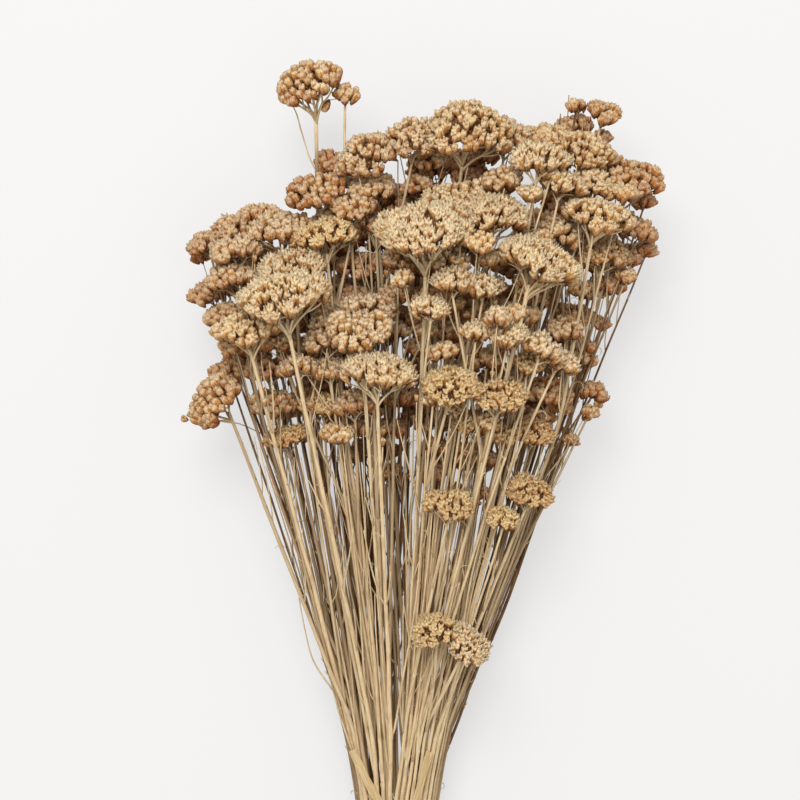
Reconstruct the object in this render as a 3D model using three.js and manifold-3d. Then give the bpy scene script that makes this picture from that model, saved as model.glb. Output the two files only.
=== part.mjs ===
// A bunch of dried flowers, lying down: stems with flat-topped flower heads, tied near their cut ends with a raffia band.
// Millimetres, +Z up, floor at z = 0. The bunch lies along Y, cut ends at -Y, flower heads at +Y; X runs across it.
import * as THREE from "three";
import Module from "manifold-3d";

const wasm = await Module();
wasm.setup();
const group = new THREE.Group();
const stems = new THREE.Group();
const tie = new THREE.Group();
group.add(stems, tie);

// Each stem: its strands, trunk first, then the side branches. A strand is a row of [x, y, z, radius] from low to high.
const STRANDS = [
[[[-38.05,-265.04,32.56,1.46],[-34.07,-201.97,36.38,1.41],[-36.21,-176.97,40.17,1.38],[-45.15,-126.97,49.84,1.32],[-54.57,-101.97,56.16,1.3],[-101.85,23.03,74.68,1.07],[-118.27,66.05,81.13,0.97]]],
[[[-40.08,-265.66,11.98,1.63],[-38.61,-201.97,20.92,1.55],[-47.91,-126.97,27.5,1.41],[-83.22,-1.97,33.04,1.11],[-109.82,93.06,38.12,0.81]],[[-90.71,24.68,34.41,0.89],[-128.87,131.87,66.36,0.74]],[[-43.68,-153.61,25.47,0.98],[-49.83,-127.19,30.61,0.95],[-91.86,4.91,54.18,0.79],[-117.65,84.17,67.88,0.69]],[[-79.66,-14.62,32.42,0.88],[-125.56,120.19,73.13,0.62]]],
[[[-34.62,-266.98,32.87,1.56],[-31.28,-201.97,38.35,1.51],[-33.15,-176.97,42.38,1.49],[-49.25,-76.97,56.8,1.4],[-57.55,-26.97,63.63,1.33],[-69.46,48.03,72.55,1.22],[-80.17,98.03,78.64,1.13],[-82.29,123.03,83,1.09],[-85.86,162.11,88.74,1.01]],[[-40.85,-127.74,49.44,1.13],[-59.61,-45.29,55.86,1.04],[-71.5,9.67,59.45,0.98],[-82.9,64.64,63.27,0.92],[-92.96,119.6,66.13,0.86],[-100.17,174.56,74.52,0.8]],[[-43.91,-109.07,52.15,1.04],[-64.25,-55.15,61.73,0.98],[-74.32,-28.2,65.82,0.95],[-83.62,-1.24,68.6,0.92],[-101.11,52.67,73.54,0.85],[-115.09,106.58,77.84,0.79],[-129.23,160.49,80.03,0.73]],[[-39.37,-137.19,48.07,1.01],[-47.74,-109.43,50.44,0.98],[-65.67,-53.9,56.18,0.93],[-81.66,1.64,59.83,0.87],[-98.56,57.17,64.38,0.82],[-105.12,84.94,68.41,0.79],[-112.6,140.47,80.75,0.74],[-115.03,168.23,85.99,0.71]]],
[[[-40.45,-264.45,29.46,1.22],[-38.33,-201.97,31.12,1.19],[-40.58,-176.97,34.64,1.18],[-49.13,-126.97,43.99,1.15],[-61.43,-76.97,54.12,1.12],[-72.91,-26.97,64.02,1.08],[-93.68,48.03,82.98,1],[-100.12,73.03,88.35,0.98],[-113,136.13,95.07,0.9]],[[-47.41,-135.88,42.31,1.01],[-60.09,-83.33,56.27,0.97],[-72.41,-30.78,68.67,0.94],[-90.67,48.04,85.56,0.9],[-96.46,74.31,90.36,0.88],[-112.1,153.13,99.58,0.83]],[[-46.69,-139.55,41.62,0.92],[-53.77,-82.7,49.07,0.86],[-62.72,-25.86,55.22,0.8],[-72.07,30.99,61.77,0.74],[-77.17,59.41,65.61,0.71],[-89.07,116.26,75.46,0.65]],[[-47.46,-135.62,42.36,0.92],[-56.36,-82.37,47.16,0.87],[-61.45,-55.74,49.71,0.84],[-90.72,77.39,62.96,0.7],[-103.19,130.64,72.83,0.65]]],
[[[-30.27,-268.97,14.38,1.27],[-38.65,-151.97,25.35,1.21],[-40.94,-126.97,26.3,1.2],[-62.8,-1.97,32.74,1.12],[-90.86,145.16,39.86,0.97]],[[-38.65,-151.97,25.35,1.06],[-44.92,-124.26,29.81,1.04],[-51.15,-96.56,33.07,1.01],[-69.28,-13.45,40.65,0.94],[-101.01,125.07,53.93,0.83],[-107.43,152.77,56.62,0.81]]],
[[[-36.97,-261.31,29.25,1.62],[-36.35,-226.97,31.42,1.59],[-36.3,-201.97,33.7,1.56],[-38.55,-176.97,37.34,1.53],[-47.34,-126.97,46.69,1.46],[-53.05,-101.97,52.78,1.44],[-83.39,23.03,89.7,1.18],[-103.44,103.19,113.1,0.98]],[[-47.54,-126.07,46.91,0.97],[-54.36,-72.75,62.77,0.9],[-71.4,60.55,102.09,0.72],[-74.88,87.2,109.88,0.68]]],
[[[-42.63,-270.84,26.66,1.09],[-39.41,-201.97,28.56,1.06],[-41.67,-176.97,32.03,1.04],[-50.7,-126.97,38.81,1],[-69.59,-51.97,54.05,0.95],[-75.29,-26.97,59.13,0.92],[-80.01,-1.97,63.59,0.9],[-90.68,63.78,73.72,0.82]],[[-44.97,-156.45,34.79,0.89],[-65.44,-49.42,54.73,0.84],[-94.48,84.37,78.85,0.77]],[[-49.99,-130.52,38.32,0.88],[-60.24,-72.67,49.01,0.84],[-82.31,43.01,73.21,0.76]],[[-44.74,-157.9,34.6,0.9],[-48.51,-102.75,46.47,0.85],[-50.57,-75.18,52.5,0.83],[-52.68,-47.6,58.59,0.81],[-59.44,35.12,78.11,0.75],[-61.03,62.69,86.96,0.73]]],
[[[-24.47,-261.87,36.37,1.58],[-28.61,-226.97,38.29,1.57],[-28.16,-201.97,39.95,1.55],[-29.07,-176.97,44.47,1.53],[-33.59,-126.97,57.59,1.49],[-47.2,-51.97,80.85,1.43],[-66.84,48.03,111.14,1.29],[-80.96,117.06,131.64,1.19]],[[-30.14,-160.6,48.54,1.32],[-49.5,-52.18,71.47,1.21],[-70.27,56.23,93.87,1.1],[-73.77,83.34,97.77,1.07],[-77.75,137.54,102.99,1.02]]],
[[[-32.45,-264.56,11.99,1.57],[-37.05,-201.97,17.64,1.49],[-44.18,-126.97,26.37,1.35],[-54.73,-26.97,45.61,1.11],[-67.14,72.82,65.12,0.8]],[[-43.53,-133.42,25.48,0.99],[-62.66,-20.27,41.56,0.82],[-77.53,64.59,53.06,0.7]]],
[[[-29.84,-267.23,17.68,1.37],[-38.19,-126.97,36.11,1.33],[-47.41,-1.97,52.43,1.29],[-53.12,73.03,61.58,1.25],[-56.41,98.03,64.81,1.23],[-64.38,173.03,69.25,1.18],[-65.38,198.03,72.27,1.16],[-65.98,246.6,81.44,1.13]]],
[[[-24.22,-263.04,23,1.27],[-30.44,-151.97,40.52,1.17],[-35.5,-76.97,52.87,1.08],[-45.44,23.03,69.54,0.91],[-52.53,92.35,80.65,0.77]],[[-42.48,-5.57,64.8,0.83],[-53.1,20.97,76.12,0.8],[-64.84,47.52,83.39,0.78],[-76.44,74.06,88.13,0.75],[-86.45,100.6,93.03,0.73]],[[-30.11,-157.51,39.62,0.98],[-53.02,-15.81,62.48,0.82],[-67.01,69.2,76.43,0.72],[-69.86,97.54,83.53,0.69]],[[-33.31,-108.08,47.7,0.92],[-40.4,-56.35,56.23,0.86],[-56.09,72.98,77.9,0.71],[-62.82,124.71,86.98,0.65]]],
[[[-25.3,-263.74,10.44,1.25],[-28.42,-226.97,12.66,1.24],[-33.92,-176.97,16.13,1.22],[-50.55,-51.97,20.31,1.15],[-67.58,48.03,21.8,1.07],[-79.05,109.75,19.92,1.01]],[[-39.97,-124.11,18.62,1.04],[-40.51,-97.02,20.23,1.02],[-41.35,-69.94,20.85,1],[-44.12,-42.85,20.6,0.98],[-61.11,65.49,18.76,0.91]]],
[[[-21.6,-270.74,32.56,1.24],[-22.55,-251.97,35.51,1.23],[-25.03,-226.97,38.71,1.22],[-25.3,-201.97,41.36,1.21],[-26.8,-151.97,50.82,1.19],[-31.8,-76.97,64.86,1.16],[-36.66,-26.97,73.44,1.12],[-43.16,23.03,82.41,1.08],[-46.76,48.03,86.93,1.05],[-49.66,73.03,90.49,1.03],[-52.39,98.03,93.62,1.01],[-59,159.35,99.33,0.94]],[[-54.57,118.17,95.51,0.85],[-42.51,179.08,96.77,0.77]]],
[[[-19.42,-270.96,9.5,1.35],[-25.26,-201.97,17.22,1.31],[-32.98,-126.97,22.23,1.25],[-36.18,-101.97,24.82,1.24],[-46.38,-26.97,35.68,1.15],[-58.28,48.03,46.32,1.04],[-71.89,126.52,57.31,0.92]],[[-29.84,-154.59,20.48,1.11],[-29.88,-73.06,34.81,1.04],[-35.51,62.82,56.83,0.92],[-37.73,144.36,71.15,0.84]],[[-30.41,-149.3,20.82,1.11],[-33.11,-68.69,32.29,1.01],[-39.9,11.92,43.34,0.91],[-47.36,92.53,53.19,0.8]],[[-31.64,-138.63,21.49,1.07],[-32.23,-85.63,32.85,1.01],[-32.73,-59.13,38.16,0.98],[-36.58,20.38,52.73,0.88],[-41.49,126.38,70.81,0.76]]],
[[[-28.58,-267.68,8.79,1.39],[-31.1,-226.97,14.62,1.37],[-34.59,-126.97,25.67,1.31],[-35.08,-76.97,29.45,1.29],[-34.93,-51.97,31.72,1.27],[-30.86,73.03,49.01,1.14],[-28.26,148.03,59.26,1.05],[-27.61,183.16,64.8,1]],[[-33.51,-154.84,22.69,1.16],[-38.75,-75.71,37.6,1.09],[-44.95,3.42,52.09,1.02],[-49.6,56.17,61.22,0.98],[-52.21,82.55,65.55,0.95],[-54.84,108.92,70.28,0.93],[-62.67,188.05,87.43,0.86]],[[-34.76,-108.44,27.16,1.01],[-40.85,-30.87,42.07,0.93],[-52.65,98.41,65.21,0.79],[-54.87,124.27,69.32,0.77],[-55.48,150.13,73.37,0.74],[-54.33,175.98,77.47,0.71]],[[-34.15,-138.08,24.48,0.92],[-34.62,-60.03,36.04,0.86],[-34.17,-34.01,39.22,0.84],[-33.6,96.07,50.92,0.73],[-36.04,122.09,53.16,0.71],[-40.82,148.1,55.3,0.69],[-44.7,174.12,60.25,0.67],[-46.97,200.14,71.1,0.65]]],
[[[-23.01,-270.8,28.28,1.42],[-23.49,-226.97,31.73,1.4],[-23.97,-201.97,35.19,1.38],[-24.95,-151.97,44.92,1.33],[-28.2,-26.97,69.77,1.18],[-33.22,115.51,97.73,0.94]],[[-24.94,-152.81,44.75,1.06],[-37.06,-68.17,67.16,0.95],[-44.88,-11.74,81.33,0.88],[-58.22,101.12,108.46,0.74]],[[-25.29,-136.75,47.94,1],[-33.29,-81.45,62.17,0.93],[-37.16,-53.8,69.64,0.89],[-41.08,-26.15,76.59,0.85],[-57.13,84.44,102.49,0.7]],[[-25.55,-125.17,50.24,0.97],[-36.19,-45.33,67.66,0.88],[-43.54,7.9,79.67,0.81],[-53.4,87.74,97.99,0.72],[-56.47,114.35,105.6,0.68]]],
[[[-15.42,-265.83,20.86,1.69],[-19.6,-151.97,37.99,1.57],[-23.47,-76.97,50.05,1.47],[-28.75,-1.97,62.66,1.33],[-40.43,123.03,83.28,1.04],[-43.09,148.03,86.91,0.98],[-44.72,173.03,87.22,0.91],[-48.58,223.03,80.71,0.78],[-48.54,252.31,78.82,0.69]]],
[[[-28.18,-262.5,31.07,1.57],[-28.17,-201.97,36.34,1.49],[-29.68,-176.97,40.94,1.44],[-35.2,-101.97,57.11,1.3],[-36.8,-76.97,62.26,1.23],[-38.08,-51.97,67.41,1.16],[-39.36,-26.97,74.21,1.09],[-42.08,63.54,101.52,0.79]],[[-34.06,-117.3,53.91,0.88],[-35.17,-89.02,57.77,0.83],[-42.24,52.36,80.46,0.62]]],
[[[-29.1,-265.6,5.87,1.46],[-30.39,-201.97,11.35,1.43],[-36.15,-126.97,16.79,1.37],[-39.9,-101.97,16.94,1.37],[-43.34,-76.97,18.4,1.35],[-46.04,-51.97,21.1,1.32],[-47.55,-26.97,23.55,1.3],[-49.75,48.03,28.94,1.21],[-50.1,73.03,30.51,1.17],[-55.82,123.03,27.86,1.11],[-60.99,161.65,21.62,1.05]],[[-36.1,-127.43,16.77,1.2],[-31.52,-43.05,27.91,1.13],[-31.52,41.34,41.47,1.06],[-32.65,69.46,42.69,1.04],[-35.95,125.72,41.53,0.99]],[[-33.88,-148.78,15.65,1.22],[-28.72,-44.88,28.02,1.11],[-25.72,33.03,36.95,1.03],[-25.08,59.01,39.5,1],[-24.18,162.9,47.58,0.89]]],
[[[-22.93,-263.11,39.63,1.69],[-22.06,-201.97,41.66,1.62],[-22.16,-176.97,46.32,1.59],[-21.36,-126.97,60.55,1.51],[-23.05,-76.97,79.46,1.43],[-27.82,48.03,126.06,1.13],[-28.84,76.69,136.76,1.05]],[[-21.38,-146.76,54.52,1.35],[-25.23,-91.57,69.26,1.26],[-34.17,46.43,108.3,1.05],[-36.37,74.03,115.48,1.01],[-39.65,101.62,120.85,0.97]]],
[[[-15.05,-271.33,25.78,1.21],[-13.24,-201.97,33.88,1.2],[-12.84,-101.97,49.45,1.17],[-19.27,23.03,68,1.1],[-22.42,73.03,74.12,1.07],[-24.59,98.03,76.38,1.05],[-26.27,123.03,78.94,1.04],[-26.85,148.03,82.24,1.02],[-32.12,209.07,86.68,0.97]],[[-26.39,128.3,79.63,0.89],[-7.73,218.27,91.6,0.85]],[[-12.99,-127.84,45.39,1.02],[-15.2,-101.41,49.43,1],[-22.52,30.73,69.58,0.91],[-26.72,110.01,80.09,0.85],[-30.98,189.3,89.78,0.79]],[[-13.07,-153.57,41.31,0.92],[-17.65,-99.32,49.82,0.87],[-26.18,36.29,70.87,0.76],[-27.75,63.41,75.01,0.74],[-34.16,171.91,88.2,0.65]]],
[[[-22.61,-266.7,8.83,1.18],[-24.14,-226.97,11.85,1.16],[-25.95,-176.97,16.51,1.12],[-29.94,-101.97,24.15,1.05],[-33.3,-51.97,28.97,0.99],[-34.22,-26.97,30.38,0.95],[-34.04,33.93,31.51,0.86]],[[-27.33,-148.94,19.36,0.95],[-22.14,-91.99,32.21,0.87],[-21.75,-63.52,38.56,0.82],[-23.94,21.9,57.3,0.7]],[[-27.47,-146.3,19.63,0.92],[-27.17,-93.63,30.77,0.86],[-28.7,38.05,59.62,0.68],[-29.06,64.39,65.26,0.65]]],
[[[-24.71,-269.58,31.4,1.46],[-24.33,-226.97,35.18,1.42],[-23.77,-201.97,38.51,1.39],[-22.11,-76.97,61.91,1.22],[-19.95,23.03,80.33,1.01],[-16.62,150.16,102.34,0.7]],[[-18.24,81.44,90.65,0.75],[-8.96,114.29,85.29,0.7],[-1.25,147.14,79.44,0.65]],[[-18.46,73.59,89.3,0.77],[-5.24,102.66,86.61,0.73],[9.59,131.72,83.91,0.69],[26.19,160.79,81.23,0.65]],[[-18.28,80.08,90.42,0.76],[-18.46,105.55,92.11,0.7],[-18.6,131.02,93.05,0.64]]],
[[[-26.51,-261.85,7.78,1.11],[-25.97,-201.97,11.56,1.11],[-23.31,-76.97,22.67,1.12],[-20.52,48.03,33.91,1.11],[-20.44,98.03,35.65,1.1],[-16.23,173.35,23.25,1.1]],[[-20.6,88.02,35.72,0.95],[-6.3,109.08,30.6,0.97],[8.89,130.14,22.63,1]]],
[[[-14.59,-270.23,17.18,1.11],[-13.16,-151.97,21.47,1.08],[-12.24,-76.97,23.09,1.07],[-10.84,23.03,23.5,1.03],[-9.78,77.37,21.28,1.01]],[[-12.73,-116.7,22.36,0.93],[-2.21,-58.01,25.58,0.89],[8.98,30.02,26.13,0.82]]],
[[[-18.58,-269.94,25.16,1.4],[-15.16,-201.97,36.25,1.28],[-9.21,-126.97,49.83,1.06],[-0.56,-28.01,67.54,0.69]]],
[[[-16.78,-266.43,37.13,1.37],[-16.85,-226.97,37.15,1.36],[-14.99,-201.97,39.43,1.35],[-13.66,-176.97,43.87,1.35],[-9.69,-126.97,56.66,1.33],[-6.72,-26.97,84.96,1.31],[-3.46,73.03,111.89,1.25],[-0.86,152.8,132.5,1.21]],[[-12.45,-161.04,47.69,0.98],[-11.99,-132.97,56.41,0.95],[-10.14,-76.82,75.83,0.9],[-3.41,63.54,124.52,0.75],[1.94,119.68,145.11,0.69]]],
[[[-24.39,-270.77,18.53,1.64],[-25.16,-126.97,31.08,1.51],[-24.69,-76.97,34.99,1.46],[-19.16,-1.97,40.47,1.35],[-12.05,73.03,45.15,1.21],[8.78,206.57,54.57,0.94]],[[-25.07,-140.08,29.99,1.02],[-20.63,-84.66,36.3,0.97],[-19.02,-56.96,39.6,0.94],[-12.71,81.59,53.02,0.82],[-0.97,192.43,62.82,0.72]],[[-25.12,-132.64,30.61,1.01],[-18.98,-53.42,43.87,0.94],[-12.94,25.79,55.05,0.87],[-11.73,52.19,58.73,0.85],[-5.54,131.4,67.68,0.78],[1.68,210.62,77.1,0.71]],[[-7.35,104.26,47.5,0.98],[-4.54,194.77,79.02,0.69]]],
[[[-11.58,-269.62,17.5,1.47],[-6.6,-151.97,36.11,1.32],[0.95,-26.97,57.52,1.07],[13.02,108.79,84.8,0.71]],[[7.36,51.15,72.99,0.75],[-3.62,99.37,73.36,0.65]],[[8.26,60.67,74.93,0.73],[20.26,116.48,79.28,0.63]],[[-6.92,-158.67,35.02,0.89],[-11.89,-51.16,53.49,0.78],[-17.08,83.23,76.91,0.65],[-18.15,110.1,81.5,0.63]]],
[[[-9.04,-262.75,22.89,1.4],[-2.37,-151.97,35.51,1.3],[3.69,-51.97,46.63,1.18],[11.48,73.03,58.25,0.95],[12.88,100.61,60.84,0.89]],[[-1.72,-142.5,36.59,1.12],[-2.16,-114.6,39.39,1.08],[-1.76,-58.8,44.4,0.99],[0.65,52.79,52.39,0.81]]],
[[[-17.73,-270.86,40.08,1.39],[-18.82,-201.97,42.33,1.31],[-18.53,-176.97,47.01,1.27],[-12.84,-126.97,60.9,1.18],[-8.88,-101.97,71.33,1.14],[12.32,3,112.11,0.87]]],
[[[-14.69,-263.3,39.6,1.23],[-15.98,-201.97,42.43,1.2],[-15.26,-176.97,47.06,1.19],[-12.38,-151.97,53.27,1.17],[-7.65,-101.97,67.82,1.14],[0.14,23.03,111.39,0.99],[12.06,71.84,132.45,0.93]],[[-11.84,-146.73,54.79,1.01],[-1.57,-90.2,67,0.94],[3.99,-61.93,73.33,0.9],[28.57,51.14,99.49,0.75]],[[-8.48,-111.64,65,0.88],[-1.23,18.26,114.37,0.69],[3.18,70.23,134.12,0.62]],[[-13.12,-158.42,51.67,0.88],[-7.97,-130.41,59.37,0.84],[7.37,9.61,99.61,0.68],[14.08,65.62,118.02,0.62]]],
[[[-7.85,-261.57,39.05,1.09],[-8.06,-201.97,41,1.03],[-6.42,-176.97,45.42,1],[0.31,-126.97,57.85,0.92],[20.58,-79.38,93.3,0.83]],[[0.03,-129.13,57.26,0.8],[4.03,-99.95,77.26,0.78],[6.28,-70.77,96.36,0.75]]],
[[[-13.6,-263.18,36.84,1.2],[-12.88,-226.97,37.3,1.2],[-13.26,-201.97,42.09,1.2],[-12.15,-176.97,46.7,1.19],[-5.27,-126.97,55.62,1.19],[24.86,-1.97,92.17,1.19],[49.33,98.03,118.9,1.17],[55.02,123.03,126.15,1.17],[58.16,139.28,131.78,1.16]],[[33.46,33.45,102.03,1.02],[28.6,58.83,113.73,0.95],[14.2,134.98,132.35,0.74]],[[-5.6,-129.38,55.18,1.02],[-1.1,-103.21,63.56,0.99],[2.79,-77.04,71.65,0.96],[18.84,53.83,108.58,0.81],[32.21,132.35,126.12,0.72]],[[-8.1,-148.05,51.8,0.99],[-6.29,-121.08,57.78,0.97],[-4.52,-94.11,64.26,0.94],[4.51,40.76,97.05,0.81],[12.11,148.64,122.21,0.7]]],
[[[-13.86,-265.05,29.51,1.5],[-9.06,-201.97,37.68,1.43],[-6.13,-176.97,41.8,1.39],[13,-51.97,66.62,1.13],[29.86,48.03,84.9,0.84],[33.51,73.03,91.58,0.76],[35.23,91.33,99.62,0.7]],[[22.38,4.64,77.27,0.84],[23.17,90.1,91.43,0.62]]],
[[[-20.73,-265.73,30.65,1.21],[-19.72,-226.97,35.81,1.2],[-18.15,-201.97,39.32,1.19],[-14.8,-151.97,49.32,1.18],[-12.25,-126.97,54.67,1.17],[1.6,-26.97,76.96,1.16],[13.96,48.03,92.08,1.12],[36.7,169.49,115.19,1.06]],[[-12.58,-130.18,53.98,1.03],[-7.65,-26.53,74.08,0.96],[-5.54,-0.62,78.35,0.94],[6.99,128.94,97.74,0.86],[11.99,180.77,105.29,0.83]],[[-11.78,-123.13,55.56,1.02],[6.39,-17.07,77.21,0.92],[18.64,62.47,92.99,0.85],[22.69,88.99,98.06,0.82],[32.19,142.02,106.25,0.77],[38,168.53,108.93,0.75],[44.54,195.05,110.1,0.72]]],
[[[-18.77,-265.56,16.48,1.31],[-12.56,-151.97,32.92,1.28],[-5.83,-51.97,48.22,1.27],[2.13,48.03,64.58,1.23],[6.31,98.03,73.5,1.21],[9.02,123.03,76.17,1.19],[22.36,219.76,89.46,1.14]],[[-12.78,-155.78,32.36,1.12],[-3.83,-101.77,37.89,1.08],[0.66,-74.76,40.88,1.07],[22.36,60.28,60.02,0.97],[38.87,168.31,74.2,0.9],[46.88,222.32,80.97,0.86]],[[-9.97,-111.01,39.08,1.05],[2.86,-6.47,41.22,0.95],[9.79,45.81,42.14,0.89],[16.24,98.08,43.78,0.84],[19.7,124.22,46.38,0.82],[27.35,202.62,63.2,0.74]],[[-11.46,-134.26,35.57,0.98],[-2.85,-80.62,40.13,0.94],[19.76,53.48,53.36,0.83],[28.38,107.12,58.33,0.78],[33.81,214.4,68.53,0.69]]],
[[[0.98,-263.18,28.33,1.09],[1.75,-226.97,33.06,1.07],[1.37,-201.97,34.45,1.05],[17.57,-76.97,53.79,0.95],[30.16,31.86,68.02,0.8]],[[12.25,-118.08,47.48,0.85],[27.17,-35.86,70.02,0.76],[44.08,46.36,93.84,0.67]]],
[[[-14.96,-264.39,10.81,1.59],[-6.15,-176.97,18.73,1.49],[2.67,-101.97,25.33,1.38],[13.21,-26.97,31.61,1.22],[28.71,70.06,39.07,0.97]],[[0.35,-120.55,23.72,1.14],[20.8,-34.98,39.45,1],[48.97,79.13,60.02,0.8]]],
[[[-5.34,-267.73,25.24,1.18],[-1.43,-201.97,33.13,1.14],[4.91,-151.97,42.22,1.09],[13.02,-101.97,54,1.05],[20.15,-51.97,64.48,0.98],[35.27,48.03,83.13,0.83],[45.47,120.54,90.64,0.7]],[[38.34,70.36,85.54,0.68],[40.86,150.6,97.76,0.64]]],
[[[-10.71,-264.11,38.3,1.25],[-10.55,-201.97,41.59,1.2],[-9.17,-176.97,46.09,1.18],[-5.7,-151.97,51.82,1.15],[-4.21,-126.97,59.29,1.12],[0.12,-101.97,69.07,1.11],[30.17,23.03,110.95,0.91],[40.98,67.57,125.75,0.82]],[[-3.82,-124.71,60.17,0.98],[37.72,13.62,98.97,0.83],[64.74,96.62,123.69,0.74]],[[-6.53,-157.92,50.45,1.01],[-2.99,-131.7,57.36,0.98],[8.4,-79.25,75.29,0.92],[35.43,51.88,115.17,0.78],[46.09,104.33,131.38,0.72]],[[-5.54,-149.34,52.6,0.9],[8.91,-46.41,82.43,0.79],[15.97,5.06,98.02,0.74],[27.96,107.99,132.81,0.63]]],
[[[-5.38,-268.82,32.01,1.62],[-3.73,-226.97,37.64,1.56],[-3.55,-201.97,38.22,1.51],[2.69,-151.97,47.39,1.38],[7.91,-126.97,52.79,1.31],[16.8,-101.97,59.77,1.25],[60.1,10.82,88.26,0.81]],[[12.32,-114.58,56.25,0.94],[45,-2.47,99.51,0.66]]],
[[[-13.06,-262.94,6.88,1.39],[-7.78,-126.97,17.97,1.33],[-6.03,-76.97,21.53,1.31],[-3.82,-51.97,24.68,1.29],[8.18,48.03,37.74,1.2],[14.87,98.03,40.98,1.15],[26.45,178.25,45.42,1.06]],[[-7.37,-115.96,18.79,1.15],[29.9,14.22,20.37,1.07],[58.62,118.37,21.6,1.01],[72.66,170.44,19.39,0.98]]],
[[[-7.04,-263.92,16.34,1.6],[-0.42,-201.97,21.39,1.55],[5.96,-151.97,26.28,1.49],[17.47,-76.97,32.74,1.41],[30.14,-1.97,38.53,1.27],[43.71,73.03,43.47,1.12],[47.05,98.03,44.96,1.07],[49.59,120.94,45.96,1.02]],[[43.72,73.09,43.48,0.97],[48.36,97.91,45.3,0.93],[57.74,147.54,51.32,0.87]]],
[[[5.64,-270.28,22.64,1.47],[3.68,-201.97,29.56,1.4],[16,-126.97,40.34,1.27],[29.23,-76.97,44.99,1.18],[62.52,56.73,64.36,0.82]],[[39.6,-34.71,51.14,0.92],[72.66,70.06,78.83,0.77]],[[21.08,-108.76,42.45,1.07],[30.64,-83,50.42,1.02],[37.07,-57.24,57.27,0.97],[61.94,45.79,83.65,0.77]],[[41.26,-27.98,52.12,0.91],[45.15,25.46,67.46,0.78],[48.2,78.89,80.28,0.65]]],
[[[-6.52,-271.26,28.08,1.53],[-0.87,-201.97,36.22,1.45],[5.26,-151.97,45.29,1.37],[16.28,-101.97,55.99,1.28],[47.01,23.03,89.6,0.95],[75.46,90.85,109.03,0.74]],[[14.85,-108,54.67,0.91],[49.98,32.58,94.73,0.72],[55.59,60.69,101.44,0.68],[58.64,88.8,106.74,0.64]]],
[[[-8.5,-268.55,33.18,1.14],[-7.97,-226.97,35.29,1.13],[-3.93,-176.97,44.12,1.11],[12.21,-76.97,64.44,1.08],[33.85,48.03,87.93,1.01],[39.35,73.03,92.92,0.99],[45.52,98.03,98.26,0.97],[63.98,203.52,121.38,0.89]],[[4.61,-123.74,55.06,0.95],[26.83,-44.84,69.5,0.9],[33.44,-18.54,73.8,0.89],[50.8,60.36,86.61,0.84],[71.45,165.56,107.82,0.78],[77.26,191.86,110.86,0.76]],[[52.56,137.39,106.97,0.81],[71.54,201,119.34,0.62]],[[52.16,135.13,106.47,0.81],[58.93,189.44,125.01,0.62]]],
[[[-10.65,-268.11,28.78,1.41],[-4.22,-201.97,34.83,1.37],[1.94,-151.97,42.89,1.32],[6.09,-126.97,47.09,1.29],[11.16,-101.97,51.59,1.28],[16.95,-76.97,56.42,1.25],[35.71,-1.97,69.4,1.14],[62.4,98.03,84.92,0.96],[77.17,165.51,93.74,0.83]],[[7.77,-118.69,48.58,1.1],[13.12,-91.26,50.2,1.07],[19.12,-63.82,53.05,1.03],[51.97,73.36,71.17,0.85],[58.84,100.79,73.59,0.81],[64.23,128.23,72.66,0.78]],[[65.44,111.79,86.76,0.81],[60.44,169.88,86.61,0.62]]],
[[[-2.74,-263.9,21.88,1.39],[0.91,-201.97,27.36,1.36],[8.1,-151.97,34.71,1.33],[17.65,-101.97,43.23,1.3],[42.83,23.03,64.96,1.17],[48.47,48.03,70.09,1.14],[54.35,73.03,75.8,1.1],[72.3,123.03,81.33,1.04],[86.61,173.03,83.92,0.96],[91.69,198.03,85.2,0.93],[91.58,212.4,85.18,0.9]],[[78.41,143.14,82.67,0.87],[70.14,195.39,75.24,0.83],[71.66,221.52,75.27,0.82]]],
[[[3.26,-262.03,11.41,1.61],[1.88,-201.97,17.47,1.55],[13.21,-126.97,26.63,1.43],[28.08,-76.97,28.56,1.34],[51.72,-1.97,28.21,1.16],[85.15,96.14,26.46,0.89]],[[9.14,-148.79,24.21,0.99],[14.52,-122.09,28.15,0.95],[22.83,-95.39,33.81,0.91],[68.83,38.11,61.75,0.73],[77.47,64.82,67.55,0.69]],[[48.1,-13.16,28.32,0.96],[63.98,15.61,39.67,0.86],[81.49,44.38,50.13,0.77],[99.81,73.15,60.14,0.67]]],
[[[5.49,-265.02,13.86,1.3],[3.66,-201.97,20.29,1.26],[15.04,-126.97,29.62,1.18],[24.95,-101.97,32.04,1.17],[62.19,23.03,48.89,0.98],[87.89,116.66,61.28,0.8]],[[16.87,-122.35,30.06,0.99],[25.45,-94.44,32.88,0.96],[38.99,-38.63,39.43,0.9],[52.12,17.18,45.6,0.84],[65.56,72.98,52.37,0.78],[86.37,156.7,62.38,0.69]]],
[[[-2.44,-265.95,28.12,1.45],[0.37,-226.97,28.79,1.41],[0.27,-201.97,30.59,1.37],[7.87,-151.97,37.87,1.28],[13.38,-126.97,41.88,1.22],[19.68,-101.97,46.19,1.18],[30.44,-76.97,50.02,1.12],[97.73,63.57,73.14,0.69]],[[17.54,-110.45,44.73,0.88],[28.22,-84.37,47.19,0.83],[86.87,46.01,65.77,0.62]]],
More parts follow.
